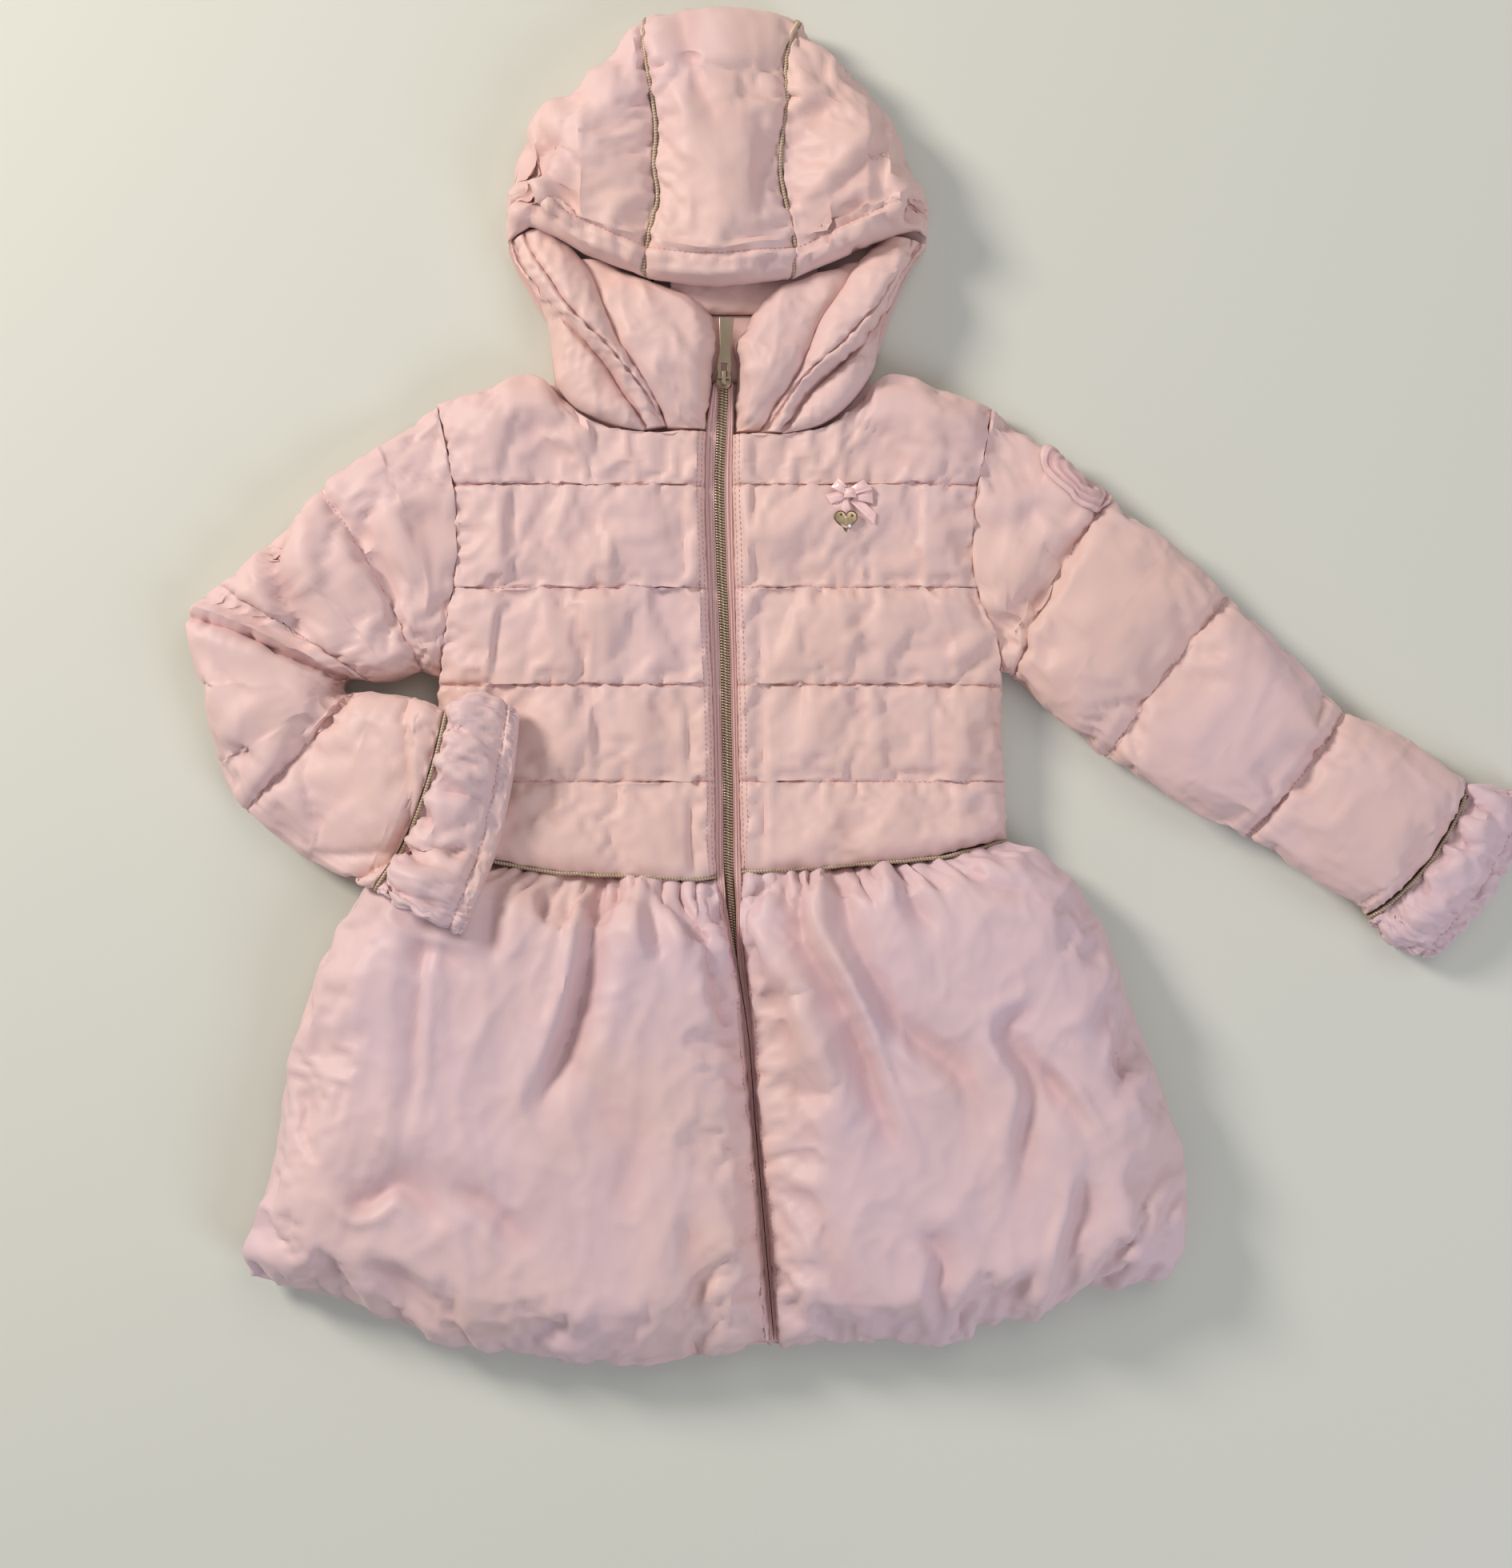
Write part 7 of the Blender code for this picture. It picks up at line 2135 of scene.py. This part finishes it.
@dataclass
class Zip:
    """The zip: two tapes, two halves of the coil, a slider and its pull tab."""

    tooth_pitch: float = 1.6
    stations: Array = field(default_factory=lambda: np.arange(281.0, -270.0, -2.5))

    def edges(self, side: Side, y: Array) -> tuple[Array, Array, Array]:
        """Gives a front's inner edge, the zip's middle, and how far the tape folds over it.

        Args:
            side: Which front.
            y: Where they are read.

        Returns:
            The edge, the middle and the folding from 0 to 1.
        """
        edge = x_at(FRONT_EDGE[side], y) - side.value * 2 * SEAM_GAP
        return edge, x_at(ZIP_LINE, y), np.clip((-y - 18) / 32, 0, 1)

    def tape(self, side: Side) -> None:
        """Makes one side of the tape.

        Args:
            side: Which side.
        """
        y = self.stations
        edge, centre, folded = self.edges(side, y)
        way = side.value
        inside = centre + way * (COIL_WIDTH / 2 + SEAM_GAP) * (1 - folded) + way * 0.4 * folded
        level = TAPE_Z + np.clip((4 - y) / 12, 0, 1) * (COIL_HEIGHT + 1.0)
        shares = np.linspace(0, 1, 13)
        x = inside[:, None] + (edge - inside)[:, None] * shares[None]
        ribs = 0.35 * np.cos(2 * math.pi * 2.5 * shares)[None] + 0.5 * rise(1 - shares, 0.5)[None]
        plan = np.stack([x, np.repeat(y[:, None], 13, axis=1)], axis=-1)
        top = level[:, None] + TAPE_THICKNESS + ribs * np.clip(np.abs(edge - inside)[:, None] / 4, 0.2, 1)
        cloth = Cloth(with_height(plan, top), with_height(plan, level[:, None]))
        name = "zip_tape_" + side.word
        made = Maker.cloth(name, cloth, ZIP_TAPE, [name], lips=(0.2, 0.1, 0.2, 0.2))
        width = float(np.abs(edge - inside).mean()) * MM
        Maker.narrow_sheet(made, width, 0.551, Held.LAID)

    def coil(self, side: Side) -> None:
        """Makes one half of the coil, tooth by tooth.

        Args:
            side: Which half.
        """
        way = side.value
        places = np.arange(279.5, -268.0, -self.tooth_pitch) + (0.25 if way > 0 else -0.25) * self.tooth_pitch
        edge, centre, folded = self.edges(side, places)
        reach = np.minimum(COIL_WIDTH / 2, np.abs(edge - centre) - 2 * SEAM_GAP)
        base = TAPE_Z - folded * 0.6
        stations = ((1.0, 0.35, 0.45), (0.86, 0.62, 0.62), (0.45, 0.66, 0.62), (0.1, 0.72, 0.66), (-0.12, 0.5, 0.5))
        sides = 6
        turns = 2 * math.pi * np.arange(sides) / sides
        points = []
        for share, lift, thick in stations:
            x = centre + way * reach * share
            y = places + way * 0.35 * (0.5 - share)
            z = base + COIL_HEIGHT * lift
            ring_y = y[:, None] + thick * np.cos(turns)[None]
            ring_z = z[:, None] + 0.8 * thick * np.sin(turns)[None] + 0.15
            points.append(np.stack([np.repeat(x[:, None], sides, axis=1), ring_y, ring_z], axis=-1))
        count = len(places)
        block = np.arange(len(stations) * count * sides).reshape(len(stations), count, sides)
        faces = []
        for k in range(len(stations) - 1):
            near, far = block[k], block[k + 1]
            faces += np.stack([near, np.roll(near, -1, 1), np.roll(far, -1, 1), far], axis=-1).reshape(-1, 4).tolist()
        faces += block[0][:, ::-1].tolist() + block[-1].tolist()
        name = "zip_coil_" + side.word
        Maker.piece(name, np.concatenate([p.reshape(-1, 3) for p in points]), faces, BRASS, [name])

    @staticmethod
    def lean(points: Array) -> Array:
        """Turns points about the slider by the tab's lean and moves them to their place."""
        points = np.asarray(points, float)
        cosine, sine = math.cos(TAB_LEAN), math.sin(TAB_LEAN)
        x = SLIDER[0] + points[:, 0] * cosine + points[:, 1] * sine
        y = SLIDER[1] - points[:, 0] * sine + points[:, 1] * cosine
        return np.column_stack([x, y, points[:, 2]])

    @staticmethod
    def bevelled(made: bpy.types.Object, width: float) -> None:
        """Rounds a metal piece's edges."""
        rounding = made.modifiers.new("rounded_edges", "BEVEL")
        rounding.width = width * MM
        rounding.segments = 3
        rounding.limit_method = "ANGLE"
        rounding.angle_limit = math.radians(35)

    def slider(self) -> None:
        """Makes the slider's wedge body and its arched bridge as one piece."""
        half = [(2.2, -5.8), (3.6, -4.9), (4.5, -3.4), (4.6, 0.6), (3.9, 3.4), (3.0, 4.5), (1.6, 4.7)]
        outline = half + [(-x, y) for x, y in reversed(half)]
        count = len(outline)
        levels = ((SLIDER_BASE, 1.0), (SLIDER_BASE + 3.2, 1.0), (HINGE_Z - 1.4, 0.86))
        points = [(x * s, y * s, z) for z, s in levels for x, y in outline]
        faces = [tuple(reversed(range(count))), tuple(2 * count + i for i in range(count))]
        for level in range(2):
            for i in range(count):
                j = (i + 1) % count
                faces.append((level * count + i, level * count + j, (level + 1) * count + j, (level + 1) * count + i))
        start = len(points)
        profile = [(-4.6, 0), (-4.6, 3.0), (-4.2, 4.2), (-3.2, 4.8), (3.2, 4.8), (4.0, 4.2), (4.4, 3.0), (4.4, 0)]
        profile += [(3.0, 0), (2.8, 3.3), (-3.0, 3.3), (-3.1, 0)]
        bridge = len(profile)
        points += [(x, y, HINGE_Z - 1.9 + z) for x in (-1.1, 1.1) for y, z in profile]
        faces += [tuple(start + i for i in range(bridge)), tuple(start + bridge + i for i in reversed(range(bridge)))]
        for i in range(bridge):
            j = (i + 1) % bridge
            faces.append((start + j, start + i, start + bridge + i, start + bridge + j))
        made = Maker.piece("slider", self.lean(points), faces, BRASS, ["slider"], sharp=30)
        self.bevelled(made, 0.35)

    def tab(self) -> None:
        """Makes the long pull tab, waisted, with a slot for the slider's bridge."""
        half = [(3.4, -0.75), (3.6, 4.0), (3.7, 8.0), (3.3, 12.0), (3.15, 16.0), (3.3, 21.0), (3.8, 27.0)]
        half += [(4.3, TAB_LENGTH - 1), (3.9, TAB_LENGTH)]
        outline = half + [(-x, y) for x, y in reversed(half)]
        slot = [(1.65, 0.75), (1.65, 8.6), (-1.65, 8.6), (-1.65, 0.75)]
        rim, total = len(outline), len(outline) + 4
        points = [(x, y, HINGE_Z + z) for z in (-0.75, 0.75) for x, y in outline + slot]
        last = rim - 1
        plate = [(0, 1, 2, rim + 1, rim), (2, last - 2, rim + 2, rim + 1), (last - 2, last - 1, last, rim + 3, rim + 2)]
        plate += [(last, 0, rim, rim + 3), tuple(range(2, last - 1))]
        faces = [tuple(reversed(face)) for face in plate] + [tuple(total + i for i in face) for face in plate]
        faces += [(i, (i + 1) % rim, total + (i + 1) % rim, total + i) for i in range(rim)]
        faces += [(rim + (i + 1) % 4, rim + i, total + rim + i, total + rim + (i + 1) % 4) for i in range(4)]
        made = Maker.piece("pull_tab", self.lean(points), faces, BRASS, ["pull_tab"], TAB_BODY, sharp=30)
        self.bevelled(made, 0.45)

    def build(self) -> None:
        """Makes every piece of the zip."""
        for side in Side:
            self.tape(side)
            self.coil(side)
        self.slider()
        self.tab()
        LOG.info("zip made")


@dataclass
class Bow:
    """The satin bow on the wearer's left front, with its heart charm."""

    ground: float = BODICE_TOP + 0.4

    def patch(self, name: str, corners: Line, low: float, bulge: float, nodes: Sequence[str] = ()) -> None:
        """Makes one loop or tail as a puffed piece of ribbon between four corners.

        Args:
            name: The piece's name.
            corners: Two corners at its start and two at its end, in the photograph's pixels.
            low: Its height over the cloth at the start.
            bulge: How far its middle rises.
            nodes: The nodes that it stands for.
        """
        a, b, c, d = seen(corners)
        u = np.linspace(0, 1, 19)[:, None, None]
        v = np.linspace(0, 1, 11)[None, :, None]
        plan = (a * (1 - v) + b * v) * (1 - u) + (d * (1 - v) + c * v) * u
        length = float(np.linalg.norm((c + d - a - b) / 2))
        width = float(max(np.linalg.norm(b - a), np.linalg.norm(c - d)))
        u, v = u[..., 0], v[..., 0]
        folds = 0.28 * np.cos(3 * math.pi * v + 1.0) * (1 - u) + 0.1 * np.cos(5 * math.pi * v)
        z = self.ground + low + bulge * np.sin(math.pi * np.clip(u * 0.92 + 0.04, 0, 1)) + folds
        z = z + 0.3 * bulge * (1 - (2 * v - 1) ** 2) * np.sin(math.pi * u)
        cloth = Cloth(with_height(plan, z + 0.4), with_height(plan, z))
        made = Maker.cloth(name, cloth, RIBBON, nodes, lips=(0.1, 0.12, 0.1, 0.12))
        Maker.narrow_sheet(made, width * MM, length * MM * 1.1, Held.FOLDED)

    def build(self) -> None:
        """Makes the tails, the loops and the knot over them, and the charm."""
        self.patch("bow_tail_right", ((1055, 625), (1060, 634), (1027, 652), (1026, 641)), 0.5, 0.5, ["bow_tail_right"])
        self.patch("bow_tail_middle", ((1048, 628), (1058, 625), (1064, 645), (1053, 648)), 0.7, 0.6, ["bow_tail_middle"])
        self.patch("bow_tail_left", ((1062, 630), (1069, 622), (1094, 644), (1092, 658)), 0.5, 0.6, ["bow_tail_left"])
        self.patch("bow_loop_low_right", ((1055, 616), (1055, 626), (1038, 633), (1031, 622)), 1.4, 1.2, ["bow_loops_lower"])
        self.patch("bow_loop_low_left", ((1068, 616), (1066, 627), (1090, 632), (1089, 618)), 1.4, 1.2)
        self.patch("bow_loop_high_right", ((1059, 613), (1056, 622), (1038, 612), (1047, 601)), 2.2, 1.7, ["bow_loops_upper"])
        self.patch("bow_loop_high_left", ((1064, 622), (1062, 613), (1078, 603), (1089, 615)), 2.2, 1.7)
        self.patch("bow_knot", ((1055, 614), (1054, 625), (1069, 625), (1068, 614)), 3.1, 1.3)
        self.charm()
        LOG.info("bow and charm made")

    @staticmethod
    def heart(share: float, count: int = 96) -> Array:
        """Gives the heart's outline, drawn in to a share of its size."""
        turns = np.linspace(0, 2 * math.pi, count, endpoint=False)
        across = 16 * np.sin(turns) ** 3
        up = 13 * np.cos(turns) - 5 * np.cos(2 * turns) - 2 * np.cos(3 * turns) - np.cos(4 * turns) + 2.5
        size = share * HEART_WIDTH / 32
        return np.column_stack([HEART[0] + size * across, HEART[1] + size * up])

    def charm(self) -> None:
        """Makes the bare heart-shaped plate with its rim, its sewing holes and one clear stone."""
        low = self.ground + 1.6
        rings = ((0.03, 1.3), (0.3, 1.3), (0.6, 1.25), (0.8, 1.15), (0.88, 1.1), (0.97, 1.0), (1.0, 0.7), (1.0, 0.2), (0.96, 0.0))
        points = np.concatenate([np.column_stack([self.heart(share), np.full(96, low + z)]) for share, z in rings])
        index = np.arange(len(points)).reshape(len(rings), 96)
        wide = np.concatenate([index, index[:, :1]], axis=1)
        faces = np.stack([wide[:-1, :-1], wide[1:, :-1], wide[1:, 1:], wide[:-1, 1:]], axis=-1).reshape(-1, 4).tolist()
        faces += [index[0].tolist(), index[-1, ::-1].tolist()]
        Maker.piece("charm_plate", points, faces, CHARM_GOLD, ["heart_charm"])
        rim = np.column_stack([self.heart(0.96), np.full(96, low + 1.0)])
        Maker.tube("charm_rim", rim, lambda s, t: 0.42 + 0 * s * t, CHARM_DARK, closed=True, around=8)
        for k, place in enumerate(((1050.5, 646), (1064, 647.5), (1055.5, 664))):
            self.dot("charm_hole_%d" % (k + 1), place, low + 1.22, 0.85, 0.1, CHARM_DARK)
        self.dot("charm_stone_seat", (1061, 660.5), low + 1.2, 1.35, 0.25, CHARM_DARK)
        self.dot("charm_stone", (1061, 660.5), low + 1.4, 1.05, 0.6, CLEAR_STONE)

    def dot(self, name: str, place: tuple[float, float], low: float, radius: float, tall: float, finish: Finish) -> None:
        """Makes a small round dome.

        Args:
            name: The piece's name.
            place: Its middle in the photograph's pixels.
            low: The height of its foot.
            radius: Its radius in mm.
            tall: How far it rises.
            finish: Its finish.
        """
        middle = seen([place])[0]
        turns = np.linspace(0, 2 * math.pi, 20, endpoint=False)
        rings = ((1.0, -0.15), (1.0, 0.35), (0.85, 0.8), (0.45, 1.0))
        points = [
            (middle[0] + radius * share * math.cos(t), middle[1] + radius * share * math.sin(t), low + tall * z)
            for share, z in rings
            for t in turns
        ]
        index = np.arange(80).reshape(4, 20)
        wide = np.concatenate([index, index[:, :1]], axis=1)
        faces = np.stack([wide[:-1, :-1], wide[:-1, 1:], wide[1:, 1:], wide[1:, :-1]], axis=-1).reshape(-1, 4).tolist()
        faces += [index[0, ::-1].tolist(), index[-1].tolist()]
        Maker.piece(name, np.array(points), faces, finish, sharp=40)


@dataclass
class Badge:
    """The round moulded badge on the upper edge of the left sleeve, with plain rings."""

    radius: float = BADGE_RADIUS
    place: tuple[float, float] = BADGE_PLACE

    def build(self, sleeve: Sleeve) -> None:
        """Makes the badge from the sleeve's points, moved out.

        Args:
            sleeve: The sleeve that carries it.
        """
        grid, stations = sleeve.grid, sleeve.stations
        centres = grid.mean(axis=1)
        run = path_lengths(centres)
        middle_run = float(np.interp(self.place[0], np.interp(np.arange(17), np.arange(17), np.arange(17)), np.arange(17)))
        middle_run = float(np.interp(self.coarse_station(), stations, run))
        ring_share = self.place[1] / 16
        turns = np.linspace(0, 2 * math.pi, 72, endpoint=False)

        def spot(a: float, b: float) -> Array:
            """Gives the sleeve's point at an offset along and round it."""
            row = np.interp(middle_run + a, run, np.arange(len(grid)))
            low = min(int(row), len(grid) - 2)
            ring = grid[low] * (1 - row % 1) + grid[low + 1] * (row % 1)
            ring = np.concatenate([ring, ring[:1]])
            lengths = path_lengths(ring)
            at = np.interp(ring_share * (len(ring) - 1), range(len(ring)), lengths) + b
            return np.array([np.interp(at, lengths, ring[:, k]) for k in range(3)])

        profile = ((0.04, 3.5), (0.16, 3.5), (0.22, 2.6), (0.36, 2.6), (0.40, 3.1), (0.46, 3.1), (0.50, 2.5), (0.58, 2.5),
                   (0.62, 3.0), (0.68, 3.0), (0.72, 2.4), (0.80, 2.4), (0.84, 3.3), (0.95, 3.3), (1.0, 2.4))
        outer, inner = [], []
        for share, height in profile:
            for turn in turns:
                a, b = self.radius * share * math.cos(turn), self.radius * share * math.sin(turn)
                place = spot(a, b)
                out = np.cross(spot(a + 3, b) - spot(a - 3, b), spot(a, b + 4) - spot(a, b - 4))
                out /= np.linalg.norm(out)
                outer.append(place + height * out)
                inner.append(place + 0.6 * out)
        rings, around = len(profile), len(turns)
        points = np.array(outer + inner)
        count = rings * around
        faces = [tuple(range(around)), tuple(count + i for i in reversed(range(around)))]
        for i in range(rings - 1):
            for j in range(around):
                a, b = i * around + j, i * around + (j + 1) % around
                faces.append((a, a + around, b + around, b))
                faces.append((count + a, count + b, count + b + around, count + a + around))
        last = (rings - 1) * around
        for j in range(around):
            a, b = last + j, last + (j + 1) % around
            faces.append((a, count + a, count + b, b))
        Maker.piece("sleeve_badge", points, faces, RUBBER, ["sleeve_badge"], sharp=40)
        LOG.info("badge made")

    def coarse_station(self) -> float:
        """Gives the badge's station on the sleeve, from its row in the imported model."""
        rows = (0, 0.3, 1, 1.84, 2, 2.16, 3)
        return float(np.interp(self.place[0], range(len(rows)), rows))


@dataclass
class Studio:
    """The plain floor, the soft lights and the camera straight above."""

    camera_height: float = 1.5
    view_width: float = 0.8694
    centre: tuple[float, float] = (-0.0613, -0.0591)

    def floor(self) -> None:
        """Lays the pale floor."""
        size = 4.0
        mesh = bpy.data.meshes.new("floor")
        mesh.from_pydata([(-size, -size, 0), (size, -size, 0), (size, size, 0), (-size, size, 0)], [], [(0, 1, 2, 3)])
        mesh.transform(Matrix.Translation((0, 0, -0.0006)))
        mesh.materials.append(FLOOR.material())
        made = bpy.data.objects.new("floor", mesh)
        bpy.context.scene.collection.objects.link(made)

    def light(self, name: str, place: tuple, target: tuple, size: float, power: float, colour: tuple) -> None:
        """Hangs one soft light.

        Args:
            name: Its name.
            place: Where it hangs, in metres.
            target: What it points at.
            size: Its width in metres.
            power: Its power in watts.
            colour: Its colour.
        """
        lamp = bpy.data.lights.new(name, "AREA")
        lamp.shape, lamp.size, lamp.energy, lamp.color = "DISK", size, power, colour
        made = bpy.data.objects.new(name, lamp)
        made.location = place
        made.rotation_euler = (Vector(target) - Vector(place)).to_track_quat("-Z", "Y").to_euler()
        bpy.context.scene.collection.objects.link(made)

    def build(self) -> None:
        """Sets the floor, lights, world and camera."""
        self.floor()
        self.light("key_light", (-1.9, 1.2, 1.35), (0, 0, 0), 0.7, 52, (1.0, 0.94, 0.86))
        self.light("window_light", (1.7, -1.5, 1.6), (0, 0, 0), 1.4, 24, (0.80, 0.85, 1.0))
        self.light("ceiling_light", (0.7, 1.3, 2.2), (0.1, 0, 0), 1.6, 10, (1.0, 0.95, 0.88))
        world = bpy.data.worlds.new("soft_room")
        world.use_nodes = True
        world.node_tree.nodes["Background"].inputs["Color"].default_value = (0.96, 0.96, 1.0, 1.0)
        world.node_tree.nodes["Background"].inputs["Strength"].default_value = 0.33
        bpy.context.scene.world = world
        camera = bpy.data.cameras.new("camera")
        camera.sensor_fit = "HORIZONTAL"
        camera.sensor_width = 36.0
        camera.lens = 36.0 * (self.camera_height - 0.02) / self.view_width
        made = bpy.data.objects.new("camera", camera)
        made.location = (*self.centre, self.camera_height)
        bpy.context.scene.collection.objects.link(made)
        bpy.context.scene.camera = made
        bpy.context.scene.view_settings.view_transform = "Standard"


def main() -> None:
    """Builds every part of the coat, then the studio."""
    logging.basicConfig(level=logging.INFO, format="%(name)s: %(message)s")
    bodice = Bodice()
    bodice.build()
    Skirt().build()
    left, right = Sleeve(Side.LEFT), Sleeve(Side.RIGHT, lifted_from=6.0)
    cuffs = {Side.LEFT: Cuff(Side.LEFT, bare_floor), Side.RIGHT: Cuff(Side.RIGHT, body_under)}
    for sleeve in (left, right):
        sleeve.build()
        cuffs[sleeve.side].build()
        LOG.info("sleeve and cuff %s made", sleeve.side.word)
    hood = Hood()
    hood.build()
    piping = Piping()
    panels = hood.near_edges
    piping.hood("piping_hood_right", HOOD_SEAMS[0], panels["side_right"].outer[-1], panels["centre"].outer[0])
    piping.hood("piping_hood_left", HOOD_SEAMS[1], panels["centre"].outer[-1], panels["side_left"].outer[0])
    for side in Side:
        piping.waist(side, bodice.edges[side])
    for sleeve in (left, right):
        piping.cuff(sleeve.side, sleeve.grid[-1], cuffs[sleeve.side].first_ring)
    Zip().build()
    Bow().build()
    Badge().build(left)
    Studio().build()


if __name__ == "__main__":
    main()
